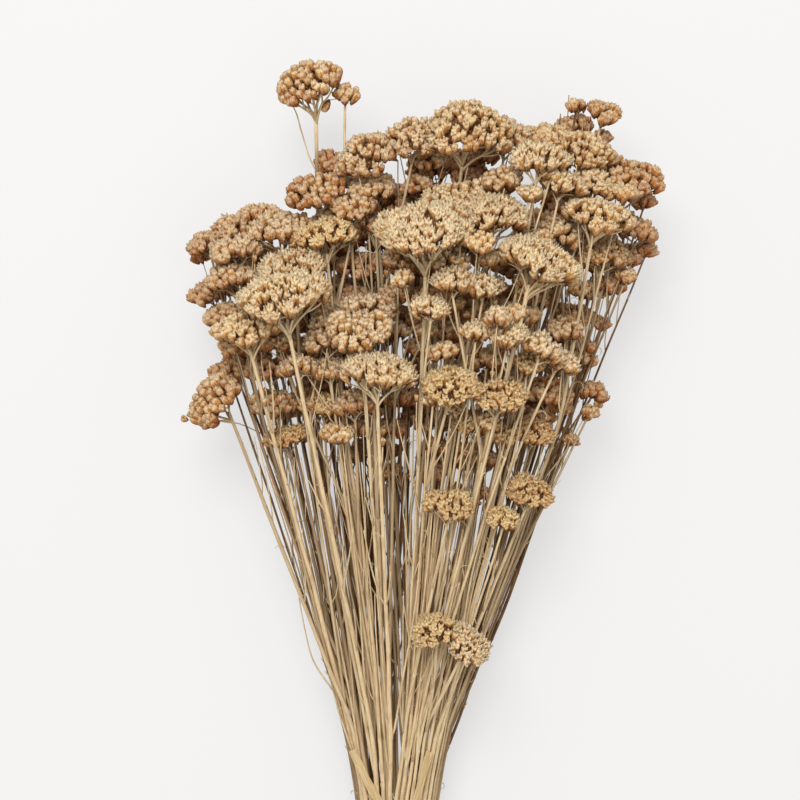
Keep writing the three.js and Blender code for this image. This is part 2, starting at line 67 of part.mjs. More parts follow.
[[[5.65,-265.92,26.29,1.12],[2.75,-201.97,32.33,1.11],[9.46,-151.97,40.35,1.1],[14.89,-126.97,44.3,1.09],[57.59,-1.97,72.6,1.07],[66.83,23.03,78.43,1.06],[75.94,48.03,84.35,1.05],[81.67,73.03,90.24,1.04],[97.11,169.41,107.53,1]],[[8.84,-155.8,39.67,0.96],[17.83,-102.23,49.78,0.93],[42.63,4.92,67.45,0.88],[54.54,58.49,76.28,0.86],[61.46,85.28,79.98,0.84],[89.3,165.64,90.31,0.8],[96.96,192.42,94.78,0.79]],[[84.44,89.99,93.3,0.89],[79.19,161.34,84.42,0.74],[79.24,185.12,80.97,0.69]],[[9.01,-154.73,39.86,0.88],[13.76,-128.16,46.22,0.86],[43.41,-48.44,62.78,0.8],[87.68,84.43,87.54,0.7],[107.91,164.15,99.4,0.64],[114.54,190.72,102.49,0.62]]],
[[[1.62,-270.01,16.66,1.32],[1.6,-201.97,24.12,1.28],[8.28,-151.97,29.16,1.24],[12.91,-126.97,31.68,1.22],[23.48,-76.97,35.47,1.18],[46.6,23.03,44.35,1.06],[62.97,98.03,50.53,0.95],[89.95,233.99,61.26,0.73]],[[11.99,-131.98,31.17,0.98],[26.31,-78.89,38.04,0.94],[49.22,0.75,45.82,0.88],[56.51,27.3,47.99,0.86],[63.45,53.85,49.66,0.84],[68.99,80.39,54.65,0.82],[78.89,133.49,68.04,0.77],[85.18,160.03,74.16,0.75],[91.77,186.58,76.22,0.73],[105.24,239.67,75.33,0.69]],[[16.52,-109.27,33.08,0.88],[46.34,-4.91,40.95,0.8],[68.81,73.36,47,0.74],[90.79,151.64,51.94,0.68],[96.37,177.73,55.97,0.66],[106.63,229.91,65.13,0.62]],[[16.07,-111.49,32.91,0.88],[36.3,-28.64,43.11,0.82],[62.35,81.82,54.33,0.74],[80.87,192.28,67.07,0.66],[90.31,247.51,73.31,0.62]]],
[[[1.23,-266.96,8.15,1.28],[0.02,-201.97,14.68,1.25],[11.4,-126.97,23.78,1.2],[20.96,-101.97,24.7,1.2],[30.38,-76.97,26.29,1.18],[57.45,-1.97,32.78,1.1],[73.38,48.03,37.96,1.05],[104.12,148.18,48.17,0.92]],[[82.25,76.77,40.94,0.87],[101.52,165.34,44.93,0.81]]],
[[[6.8,-266.78,16.42,1.17],[4.51,-201.97,23.05,1.15],[16.01,-126.97,32.32,1.11],[27.49,-101.97,33.79,1.11],[39.99,-76.97,37.94,1.09],[50.04,-51.97,42.66,1.07],[83.37,48.03,60.4,0.99],[90.39,73.03,65,0.96],[103.31,151.1,82.06,0.88]],[[12.07,-147.46,30.07,0.98],[30.18,-94.81,37.48,0.94],[38.2,-68.48,40.83,0.92],[46.57,-42.16,44.78,0.9],[55.39,-15.83,48.93,0.88],[64.8,10.5,53.2,0.86],[74.63,36.83,57.21,0.84],[125.95,168.46,74.64,0.73]],[[15.91,-127.51,32.26,0.88],[23.52,-100.35,35.19,0.85],[43.61,-46.03,45.75,0.8],[54.15,-18.87,50.83,0.77],[97.38,89.77,70.04,0.67],[119.08,144.1,77.48,0.62]]],
[[[6.98,-266.69,19.74,1.58],[4.23,-201.97,26.21,1.54],[16.06,-126.97,37,1.47],[43.77,-51.97,46.49,1.41],[53.73,-26.97,49.06,1.38],[63.1,-1.97,51.37,1.34],[71.73,23.03,53.64,1.31],[79.8,48.03,56.23,1.27],[94.99,98.03,62.38,1.19],[102.51,123.03,65.48,1.15],[108.53,148.03,68.25,1.1],[114.17,173.03,71.68,1.06],[118.57,194.62,75.52,1.02]],[[10.77,-153.84,32.8,0.99],[16.95,-125.67,35.03,0.96],[26.95,-97.51,36.27,0.93],[37.33,-69.34,37.95,0.91],[70.78,15.16,44.88,0.83],[81.47,43.33,47.3,0.8],[120.63,155.99,58.71,0.7]],[[16.6,-125.31,37.22,0.88],[37.97,-72.95,42.25,0.83],[78.6,31.78,48.14,0.75],[87.87,57.96,50.35,0.73],[131.59,188.88,65.26,0.62]],[[10.12,-157.84,32.25,0.88],[15.67,-131.28,34.25,0.86],[27.58,-104.72,38.56,0.83],[47.7,-51.61,42.35,0.79],[90.6,54.63,49.83,0.7],[101.3,81.18,51.81,0.68],[112,107.74,54.77,0.66],[133.34,160.86,61.13,0.62]]]
];
// Each stem's flower heads, one per strand and in the same order:
// [x, y, z of the middle, direction it faces, radius, tone, number].
const HEADS = [
[[-127.98,75.42,84, -0.704,0.679,0.208, 16.22,0.46,81]],
[[-112.23,102.74,36, -0.237,0.949,-0.208, 12.01,0.6,145],[-131.75,140.74,68, -0.304,0.937,0.174, 11.14,0.68,93],[-119.69,92.32,68.77, -0.241,0.965,0.105, 9.94,0.6,82],[-126.79,125.99,73.65, -0.207,0.974,0.087, 7,0.58,94]],
[[-87.86,176.34,91.8, -0.136,0.969,0.208, 17.28,0.42,99],[-101.67,185.24,76.03, -0.138,0.981,0.139, 12.8,0.5,98],[-132.4,169.2,81.34, -0.339,0.931,0.139, 11.01,0.52,96],[-116.85,176.81,87.22, -0.206,0.969,0.139, 10.41,0.5,97]],
[[-115.87,147.61,98.02, -0.235,0.941,0.242, 14.35,0.5,92],[-114.08,164.36,102, -0.17,0.963,0.208, 13.72,0.4,95],[-90.1,123.59,76.24, -0.138,0.985,0.105, 8.76,0.62,123],[-104.48,137.93,73.48, -0.173,0.981,0.087, 8.74,0.66,101]],
[[-93.63,158.2,36.54, -0.202,0.949,-0.242, 16.16,0.55,131],[-109.73,163.57,55.46, -0.207,0.973,-0.105, 13.05,0.62,157]],
[[-104.87,116.75,116, -0.102,0.973,0.208, 16.4,0.16,30],[-75.73,95.29,111.02, -0.104,0.985,0.139, 9.66,0.34,88]],
[[-92.78,73.63,76.23, -0.202,0.949,0.242, 12.22,0.48,83],[-95.91,94.57,79.94, -0.138,0.985,0.105, 12.19,0.66,90],[-83.99,52.57,75.27, -0.17,0.963,0.208, 11.67,0.5,84],[-61.99,71.84,88.58, -0.103,0.979,0.174, 10.99,0.46,85]],
[[-83.4,134.44,137.34, -0.132,0.942,0.309, 21.71,0.12,29],[-79.35,152.8,107.38, -0.1,0.956,0.276, 18.77,0.2,28]],
[[-67.84,82.72,66.17, -0.069,0.992,0.105, 11.74,0.72,116],[-78.41,73.03,53.95, -0.104,0.989,0.105, 10.04,0.7,127]],
[[-69.99,262.69,86.06, -0.233,0.935,0.269, 20.25,0.42,1]],
[[-53.18,101.62,81.46, -0.069,0.994,0.087, 10.98,0.6,59],[-87.41,109.79,94, -0.104,0.989,0.105, 10.93,0.52,91],[-70.44,105.79,84.69, -0.069,0.988,0.139, 9.82,0.5,115],[-63.32,131.99,88, -0.069,0.988,0.139, 8.66,0.46,114]],
[[-80.94,123.23,14.96, -0.131,0.931,-0.342, 17.04,0.58,137],[-62.43,78.05,14.16, -0.098,0.935,-0.342, 15.81,0.58,142]],
[[-59.89,172.17,102.06, -0.068,0.976,0.208, 15.45,0.34,100],[-43.56,189.05,98.9, -0.102,0.973,0.208, 12.06,0.52,16]],
[[-73.63,138.9,56, -0.138,0.985,-0.105, 14.79,0.62,149],[-38.56,156.21,72.19, -0.069,0.994,0.087, 14.03,0.82,58],[-48.51,103.49,52.42, -0.104,0.992,-0.07, 13,0.64,154],[-42.18,136.22,71.84, -0.069,0.992,0.105, 11.67,0.66,113]],
[[-29.1,197.38,66.81, -0.104,0.985,0.139, 16.98,0.85,15],[-67.66,199.26,88.72, -0.405,0.909,0.105, 14.51,0.66,17],[-55.26,184.8,78.4, -0.104,0.989,0.105, 10.49,0.7,106],[-48.25,207.44,71.88, -0.173,0.979,0.105, 8.77,0.8,104]],
[[-33.67,128.42,100.01, -0.034,0.984,0.174, 15.43,0.36,31],[-59.21,110.51,110.46, -0.102,0.973,0.208, 11.36,0.3,34],[-57.43,93.04,104.01, -0.034,0.984,0.174, 10.27,0.38,89],[-57.04,122.45,107.03, -0.069,0.982,0.174, 9.7,0.18,33]],
[[-47.95,257.88,81.94, 0.091,0.869,0.486, 7.54,0.4,2]],
[[-42.42,73.03,103.54, -0.034,0.978,0.208, 11.43,0.44,86],[-42.24,58.7,81.35, 0,0.99,0.139, 7.53,0.5,87]],
[[-62.02,176.34,16.83, -0.066,0.949,-0.309, 18.22,0.58,132],[-36.94,139.88,35.8, -0.065,0.925,-0.375, 18.01,0.55,138],[-24.64,175.95,46.21, -0.035,0.994,-0.105, 15.45,0.64,152]],
[[-28.84,91.91,140, 0,0.978,0.208, 18.31,0.16,35],[-39.65,116.04,124.44, 0,0.97,0.242, 17.47,0.24,32]],
[[-36.17,219.08,95.12, -0.295,0.731,0.616, 16.12,0.42,3],[-9.03,227.52,99.44, -0.107,0.759,0.643, 14.35,0.4,4],[-32.09,199.88,91.66, -0.103,0.979,0.174, 12.71,0.5,129],[-34.67,179.19,89.22, -0.069,0.988,0.139, 8.68,0.6,105]],
[[-34.78,44.48,27.65, -0.066,0.937,-0.342, 13.25,0.58,147],[-23.94,30.4,58.04, 0,0.996,0.087, 10.04,0.7,80],[-29.06,71.83,66.04, 0,0.995,0.105, 8.8,0.66,117]],
[[-16.62,157.75,103.96, 0,0.978,0.208, 9.13,0.5,57],[-1.25,154.51,80.21, 0,0.995,0.105, 8.72,0.7,126],[26.19,168.15,82, 0,0.995,0.105, 8.7,0.68,125],[-19.36,138.24,94.07, -0.104,0.985,0.139, 8.63,0.56,56]],
[[-15.69,188.86,17.6, 0.033,0.939,-0.342, 19.43,0.55,133],[9.4,144.51,16.82, 0.032,0.927,-0.375, 18.25,0.55,139]],
[[-9.78,90.6,15.39, 0,0.914,-0.407, 17.04,0.55,143],[9.72,40.62,22.27, 0.066,0.937,-0.342, 13.3,0.55,146]],
[[-0.08,-21.13,68.51, 0.069,0.988,0.139, 8.2,0.66,77]],
[[-1.93,173.31,138, -0.051,0.965,0.259, 25.01,0.14,23],[1.94,127.61,148, 0,0.94,0.342, 9.93,0.06,41]],
[[8.78,219.63,53.66, 0,0.998,-0.07, 15.4,0.6,148],[-0.97,201.38,63.6, 0,0.996,0.087, 10.57,0.8,18],[1.68,219.44,78.34, 0,0.99,0.139, 10.48,0.62,103],[-4.54,203.04,80.48, 0,0.985,0.174, 9.88,0.6,130]],
[[13.02,116.64,85.49, 0,0.996,0.087, 9.27,0.7,54],[-3.62,106.79,74.14, 0,0.995,0.105, 8.77,0.74,124],[20.26,123.36,80, 0,0.995,0.105, 8.14,0.7,118],[-18.15,116.57,83.86, 0,0.94,0.342, 8.1,0.58,55]],
[[13.3,112.62,60, 0.035,0.997,-0.07, 14.18,0.62,150],[0.65,63.86,51.62, 0,0.998,-0.07, 13.05,0.62,153]],
[[13.08,13.98,115.68, 0.066,0.949,0.309, 13.61,0.38,76]],
[[13.6,82.78,138.83, 0.121,0.858,0.5, 15.01,0.34,36],[28.57,60.72,100.84, 0,0.99,0.139, 11.38,0.4,71],[2.64,75.33,135.03, -0.103,0.979,0.174, 6.13,0.1,46],[15.73,70.13,118.02, 0.342,0.94,0, 5.65,0.22,47]],
[[24.5,-70.58,98, 0.366,0.821,0.438, 12.61,0.12,79],[3.79,-62.1,100, -0.256,0.891,0.375, 11.45,0.3,78]],
[[64.13,155.68,136.13, 0.332,0.912,0.242, 21.15,0.1,25],[14.2,144.31,134, 0,0.985,0.174, 11.15,0.18,42],[32.82,141.18,128, 0.068,0.976,0.208, 10.64,0.2,43],[12.7,157.03,124, 0.068,0.976,0.208, 10.11,0.26,45]],
[[35.23,99,100.97, 0,0.985,0.174, 9.16,0.56,51],[23.17,94.97,91.86, 0,0.996,0.087, 5.75,0.6,52]],
[[37.61,182.52,124, 0.058,0.827,0.559, 18.54,0.24,24],[11.25,191.33,110, -0.064,0.911,0.407, 13.63,0.26,102],[44.54,204.01,112, 0,0.978,0.208, 10.78,0.46,10]],
[[22.36,232.36,101.63, 0,0.719,0.695, 20.61,0.38,5],[47.68,233.71,85.58, 0.065,0.925,0.375, 14.48,0.44,6],[27.35,212.08,64.2, 0,0.995,0.105, 11.19,0.85,109],[33.81,222.73,70, 0,0.985,0.174, 9.95,0.72,7]],
[[30.51,41.69,69.4, 0.035,0.99,0.139, 11.69,0.58,121],[44.89,54.07,94.93, 0.104,0.985,0.139, 9.2,0.46,70]],
[[30.07,82.94,34.35, 0.098,0.935,-0.342, 16.21,0.58,144],[50.12,90.09,59.25, 0.104,0.992,-0.07, 13,0.62,155]],
[[45.47,128.25,92, 0,0.985,0.174, 9.21,0.6,50],[40.36,157.75,99.03, -0.069,0.982,0.174, 8.56,0.62,48]],
[[41.97,77.07,130, 0.095,0.909,0.407, 12.3,0.36,37],[67.6,105.43,126, 0.3,0.923,0.242, 11.22,0.16,39],[46.98,112.76,134.46, 0.098,0.935,0.342, 10.61,0.2,38],[27.96,114.99,134.04, 0,0.985,0.174, 8.36,0.22,44]],
[[61.49,20.71,90.75, 0.135,0.961,0.242, 12.11,0.56,72],[45.54,5.17,100.87, 0.069,0.982,0.174, 9.16,0.34,73]],
[[27.5,193.19,40.55, 0.066,0.949,-0.309, 18.53,0.58,134],[74.67,184.72,15.25, 0.134,0.952,-0.276, 17.65,0.55,135]],
[[51.51,134.66,40.93, 0.131,0.931,-0.342, 17.33,0.58,140],[59.05,160.02,50, 0.104,0.989,-0.105, 14.86,0.62,151]],
[[63.96,66.99,65.81, 0.138,0.981,0.139, 12.31,0.74,120],[74.09,80.21,80.27, 0.138,0.981,0.139, 12.19,0.72,53],[63.69,55.74,85.79, 0.17,0.963,0.208, 12.15,0.52,69],[48.71,86.2,81.31, 0.069,0.988,0.139, 8.7,0.66,119]],
[[79.04,98.18,112, 0.412,0.845,0.342, 10.21,0.28,40],[59.39,95.91,108, 0.103,0.979,0.174, 8.53,0.34,60]],
[[64.39,215.04,124.68, 0.034,0.961,0.276, 14.11,0.16,26],[79.63,201.37,113.3, 0.235,0.941,0.242, 11.88,0.14,27],[72.68,207.48,120.74, 0.17,0.963,0.208, 7.9,0.12,108],[58.93,195.08,126, 0,0.985,0.174, 6.73,0.1,107]],
[[78.28,176.03,95.6, 0.103,0.979,0.174, 12.63,0.38,62],[65.31,138.53,73.57, 0.104,0.991,0.087, 12.24,0.78,49],[61.15,176.65,87.56, 0.104,0.985,0.139, 8.09,0.6,111]],
[[94.25,223.1,90.56, 0.217,0.872,0.438, 14.44,0.4,9],[73.12,231.92,79.51, 0.129,0.918,0.375, 13.33,0.42,8]],
[[87.95,107.37,24, 0.237,0.949,-0.208, 13.93,0.6,141],[79.21,73.03,68.73, 0.206,0.969,0.139, 9.98,0.58,122],[102.72,80.33,62.22, 0.362,0.896,0.259, 9.44,0.66,67]],
[[89.95,126.39,62.32, 0.207,0.973,0.105, 11.76,0.62,75],[87.54,165.06,63.27, 0.138,0.985,0.105, 9.98,0.8,128]],
[[100.46,67.62,74, 0.551,0.816,0.174, 5.84,0.4,68],[88.83,50.03,66.16, 0.437,0.895,0.087, 5.29,0.4,74]],
[[99.5,182.96,112, 0.165,0.937,0.309, 17.01,0.28,61],[98.73,202.46,98.09, 0.165,0.937,0.309, 12.61,0.34,12],[79.82,193.45,81.85, 0.069,0.992,0.105, 9.88,0.78,110],[115.91,197.17,104.13, 0.202,0.949,0.242, 7.99,0.36,13]],
[[89.36,242.44,62, -0.069,0.994,0.087, 10.01,0.66,21],[107.52,247.63,76.79, 0.271,0.947,0.174, 9.89,0.52,19],[107.82,234.68,66, 0.238,0.956,0.174, 5.87,0.72,22],[89.63,252.37,74, -0.138,0.981,0.139, 5.84,0.5,20]],
[[107.14,160.28,45.97, 0.238,0.956,-0.174, 14.9,0.58,136],[103.45,176.25,43.77, 0.173,0.979,-0.105, 13.11,0.62,156]],
[[104.93,162.63,84.11, 0.137,0.975,0.174, 13.91,0.5,65],[127.56,177.59,76.27, 0.171,0.97,0.174, 11.07,0.54,63],[120.52,149.83,78, 0.241,0.967,0.087, 6.98,0.44,66]],
[[120.11,209.23,77.58, 0.104,0.985,0.139, 17.46,0.58,11],[122.38,164.25,59.89, 0.206,0.969,0.139, 10.03,0.6,112],[132.04,195.33,65.83, 0.069,0.994,0.087, 7.63,0.62,14],[134.97,166.54,62.17, 0.271,0.947,0.174, 7.07,0.66,64]]
];
// The inside of the raffia band, [x, z] round the bundle, and its middle.
const BAND = [[7.78, 29.27], [6.66, 33.43], [4.43, 37.3], [0.44, 41.29], [-5.63, 44.8], [-13.04, 46.78], [-21.71, 46.78], [-29.18, 44.78], [-35.17, 41.32], [-39.02, 37.47], [-41.57, 33.06], [-42.17, 30.83], [-42.17, 23.78], [-41.43, 21.02], [-39.08, 16.96], [-31.89, 9.77], [-30.98, 9.25], [-30.52, 9.12], [-12.33, 9.12], [0.67, 12.61], [1.04, 12.82], [3.22, 15.0], [6.64, 20.92], [7.78, 25.17]];
const BAND_MIDDLE = [-17.49, -196.96, 25.5];
// The loose ends of the raffia: rows of [x, y, z] along each, and its width.
const ENDS = [[[[-18.09, -195.77, 47.98], [-22.04, -186.41, 48.28], [-26.34, -177.21, 49.93], [-31.29, -168.34, 50.16], [-36.23, -159.46, 50.03], [-40.66, -150.31, 49.9], [-45.09, -141.16, 50.11]], 5.6], [[[-15.69, -195.77, 47.98], [-11.07, -187.3, 47.95], [-7.39, -178.47, 49.59], [-4.91, -169.16, 51.23], [-2.47, -159.84, 53.14], [-0.08, -150.5, 55.05], [2.31, -141.16, 56.99]], 5.0], [[[-18.69, -198.77, 47.98], [-20.5, -204.89, 45.35], [-22.31, -211.01, 44.71], [-23.93, -217.18, 44.3], [-25.18, -223.44, 43.9], [-26.43, -229.7, 43.64], [-27.69, -235.97, 40.63]], 4.6], [[[-15.09, -198.77, 47.98], [-13.29, -205.73, 45.19], [-11.49, -212.7, 44.38], [-9.39, -219.56, 43.7], [-6.69, -226.23, 43.02], [-3.99, -232.9, 41.78], [-1.29, -239.56, 39.07]], 4.2]];

const V = (a) => new THREE.Vector3(a[0], a[1], a[2]);

// A closed shell from points and triangles.
function shell(points, faces) {
  const geometry = new THREE.BufferGeometry().setFromPoints(points);
  geometry.setIndex(faces.flat());
  return geometry;
}
// The same shell as a solid that can be joined to others.
function solid(geometry) {
  return new wasm.Manifold(
    new wasm.Mesh({
      numProp: 3,
      vertProperties: new Float32Array(geometry.getAttribute("position").array),
      triVerts: new Uint32Array(geometry.index.array),
    }),
  );
}

// Closes a stack of rings that all turn the same way, with a fan at both ends. A ring may have twice the points of the
// ring before it, and then each point of the first feeds two of the second.
function stack(rings, first, last) {
  const points = rings.flat();
  const faces = [];
  let start = 0;
  for (let k = 0; k + 1 < rings.length; k++) {
    const n = rings[k].length,
      m = rings[k + 1].length,
      next = start + n;
    for (let i = 0; i < n; i++) {
      const a = start + i,
        b = start + ((i + 1) % n);
      if (m === n) {
        const c = next + i,
          d = next + ((i + 1) % n);
        faces.push([a, b, d], [a, d, c]);
      } else {
        const c = next + 2 * i,
          d = next + 2 * i + 1,
          e = next + ((2 * i + 2) % m);
        faces.push([a, d, c], [a, b, d], [b, e, d]);
      }
    }
    start = next;
  }
  const n0 = rings[0].length,
    n1 = rings[rings.length - 1].length,
    lo = points.push(first) - 1,
    hi = points.push(last) - 1;
  for (let i = 0; i < n0; i++) faces.push([lo, (i + 1) % n0, i]);
  for (let i = 0; i < n1; i++) faces.push([hi, start + i, start + ((i + 1) % n1)]);
  return solid(shell(points, faces));
}

// Three directions of a head: two across it and the one it faces.
function frameOf(h) {
  const a = new THREE.Vector3(h[3], h[4], h[5]).normalize();
  const b = new THREE.Vector3().crossVectors(a, new THREE.Vector3(0, 0, 1)).normalize();
  return [b, new THREE.Vector3().crossVectors(a, b), a];
}

// The rings of a rod along rows of [x, y, z, radius], with n sides.
function rodRings(rows, n, turn, grow, ahead) {
  return rows.map((r, k) => {
    const a = V(rows[Math.max(0, k - 1)]),
      b = k === rows.length - 1 && ahead ? ahead : V(rows[Math.min(rows.length - 1, k + 1)]);
    const t = b.sub(a).normalize();
    const e1 = new THREE.Vector3().crossVectors(t, new THREE.Vector3(0, 0, 1)).normalize();
    const e2 = new THREE.Vector3().crossVectors(t, e1);
    const ring = [];
    for (let i = 0; i < n; i++) {
      const w = turn + (i / n) * 2 * Math.PI;
      ring.push(V(r).addScaledVector(e1, Math.cos(w) * (r[3] + grow)).addScaledVector(e2, Math.sin(w) * (r[3] + grow)));
    }
    return ring;
  });
}
const rod = (rows, n, turn) => stack(rodRings(rows, n, turn, 0), V(rows[0]), V(rows[rows.length - 1]));

// The rings of a flower head, a lumpy, shallow dome over a hollowed underside, for a rod of n sides that ends in it.
function capRings(h, n, turn, grow) {
  const [b1, b2, a] = frameOf(h),
    c = V(h),
    R = h[6] + grow;
  const at = (r, w, s) =>
    c.clone().addScaledVector(b1, Math.cos(w) * r).addScaledVector(b2, Math.sin(w) * r).addScaledVector(a, s);
  const lump = (i, k) => Math.sin(i * 2.4 + k * 1.7 + h[8] * 0.9);
  const ring = (m, r, s, k, shift, lumps) => {
    const out = [];
    for (let i = 0; i < m; i++) {
      const w = turn + ((i + shift) / m) * 2 * Math.PI;
      out.push(at(R * r * (1 - lumps + lumps * lump(i, k)), w, R * s + R * 0.6 * lumps * lump(i + 3, k + 2)));
    }
    return out;
  };
  const g = grow * 0.6;
  return {
    rings: [ring(n, (rodTop(h) + grow) / R, -0.13 - g / R, 0, 0, 0), ring(2 * n, 0.84, -0.2 - g / R, 0, 0, 0.05), ring(2 * n, 1.0, 0.0, 1, 0.5, 0.05), ring(2 * n, 0.68, 0.2 + g / R, 2, 0, 0.05)],
    top: at(0, 0, R * 0.3 + g),
  };
}
const rodTop = (h) => Math.min(1.1, 0.5 + 0.03 * h[6]);

// A strand with its flower head, one closed shell.
function strand(rows, h, n, turn, grow = 0) {
  const a = new THREE.Vector3(h[3], h[4], h[5]).normalize();
  const head = capRings(h, n, turn, grow);
  return stack([...rodRings(rows, n, turn, grow, V(h).addScaledVector(a, -0.13 * h[6])), ...head.rings], V(rows[0]), head.top);
}

// The twigs that fan out from the fork under a head to its rim.
function fan(h) {
  const [b1, b2, a] = frameOf(h),
    c = V(h),
    R = h[6];
  const many = R > 16.5 ? 3 : 0;
  const out = [];
  for (let i = 0; i < many; i++) {
    const w = (i / many) * 2 * Math.PI + h[8];
    const from = c.clone().addScaledVector(a, -R * 0.8);
    const to = c.clone().addScaledVector(b1, Math.cos(w) * R * 0.6).addScaledVector(b2, Math.sin(w) * R * 0.6).addScaledVector(a, -R * 0.06);
    out.push(rod([[from.x, from.y, from.z, 0.62], [to.x, to.y, to.z, 0.75]], 3, 0.4 + i));
  }
  return out;
}

const biggest = (s) => {
  const parts = s.decompose();
  return parts.reduce((x, y) => (y.volume() > x.volume() ? y : x));
};

function add(name, s, home, color, roughness) {
  const m = s.getMesh();
  const geometry = new THREE.BufferGeometry();
  geometry.setAttribute("position", new THREE.BufferAttribute(new Float32Array(m.vertProperties), 3));
  geometry.setIndex(new THREE.BufferAttribute(new Uint32Array(m.triVerts), 1));
  geometry.computeVertexNormals();
  const mesh = new THREE.Mesh(geometry, new THREE.MeshStandardMaterial({ color, roughness, metalness: 0, flatShading: true }));
  mesh.name = name;
  home.add(mesh);
}

STRANDS.forEach((strands, k) => {
  let whole = null;
  strands.forEach((rows, i) => {
    const s = strand(rows, HEADS[k][i], i ? 4 : 5, i * 0.9 + k);
    whole = whole ? whole.add(s) : s;
  });
  for (const h of HEADS[k]) for (const f of fan(h)) whole = whole.add(f);
  // straw for the palest stems, through to the brown of the darkest heads
  const tone = HEADS[k].reduce((a, h) => a + h[7], 0) / HEADS[k].length;
  const color = new THREE.Color(0xd2b483).lerp(new THREE.Color(0x8f6741), tone);
  add("flower_stem_" + String(k + 1).padStart(2, "0"), biggest(whole).simplify(0.03), stems, color, 0.85);
});

// The raffia band: three turns side by side, pulled tight round the bundle.
{
  const cx = BAND_MIDDLE[0],
    cy = BAND_MIDDLE[1],
    cz = BAND_MIDDLE[2];
  const across = [[-7.4, 0], [-7.2, 0.8], [-4.6, 1.35], [-2.4, 0.8], [0, 1.4], [2.4, 0.8], [4.6, 1.35], [7.2, 0.8], [7.4, 0]];
  const rings = BAND.map(([x, z], i) => {
    const d = new THREE.Vector3(x - cx, 0, z - cz).normalize();
    return across.map(([y, t]) => new THREE.Vector3(x, cy + y + 0.5 * Math.sin(i * 0.42), z).addScaledVector(d, t));
  });
  const n = across.length,
    points = rings.flat(),
    faces = [];
  for (let k = 0; k < rings.length; k++)
    for (let j = 0; j < n; j++) {
      const a = k * n + j,
        b = k * n + ((j + 1) % n),
        k2 = ((k + 1) % rings.length) * n;
      const c = k2 + j,
        d = k2 + ((j + 1) % n);
      faces.push([a, b, d], [a, d, c]);
    }
  let band = solid(shell(points, faces));
  if (band.volume() < 0) band = solid(shell(points, faces.map(([a, b, c]) => [a, c, b])));
  const top = Math.max(...BAND.map((p) => p[1]));
  // the knot, on the side that faces up
  const knot = [];
  for (const [s, r] of [[-5.6, 2.2], [-2.6, 3.5], [2.4, 3.4], [5.8, 2.0]]) {
    const ring = [];
    for (let i = 0; i < 8; i++) {
      const w = (i / 8) * 2 * Math.PI;
      ring.push(new THREE.Vector3(cx + 0.8 + s, cy + Math.cos(w) * r * 1.15, top + 2.6 + Math.sin(w) * r * 0.72));
    }
    knot.push(ring);
  }
  let body = stack(knot, new THREE.Vector3(cx - 5.9, cy, top + 2.6), new THREE.Vector3(cx + 7.2, cy, top + 2.6));
  if (body.volume() < 0) throw new Error("knot");
  band = band.add(body);
  // the loose ends, flat strips that lie on the stems
  for (const [rows, width] of ENDS) {
    const rings = rows.map((r, k) => {
      const a = V(rows[Math.max(0, k - 1)]),
        b = V(rows[Math.min(rows.length - 1, k + 1)]);
      const t = b.sub(a).normalize();
      const side = new THREE.Vector3().crossVectors(t, new THREE.Vector3(0, 0, 1)).normalize();
      const up = new THREE.Vector3().crossVectors(side, t).normalize();
      const taper = k === 0 ? 0.5 : k === rows.length - 1 ? 0.72 : 1;
      const w = (width / 2) * taper;
      return [[-w, 0.65], [0, 0.35], [w, 0.65], [w, 0.15], [0, -0.2], [-w, 0.15]].map(([x, z]) => V(r).addScaledVector(side, x).addScaledVector(up, z));
    });
    let strip = stack(rings, V(rows[0]).addScaledVector(new THREE.Vector3(0, 0, 1), 0.2), V(rows[rows.length - 1]).addScaledVector(new THREE.Vector3(0, 0, 1), 0.2));
    if (strip.volume() < 0) throw new Error("strip");
    band = band.add(strip);
  }
  add("raffia_tie", biggest(band).simplify(0.03), tie, 0xc9ad78, 0.8);
}

export default group;
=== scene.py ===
"""The looks of a dried flower bunch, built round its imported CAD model: one piece for each stem, and the raffia tie."""

import math

import bpy
import numpy as np
from mathutils import Matrix, Vector


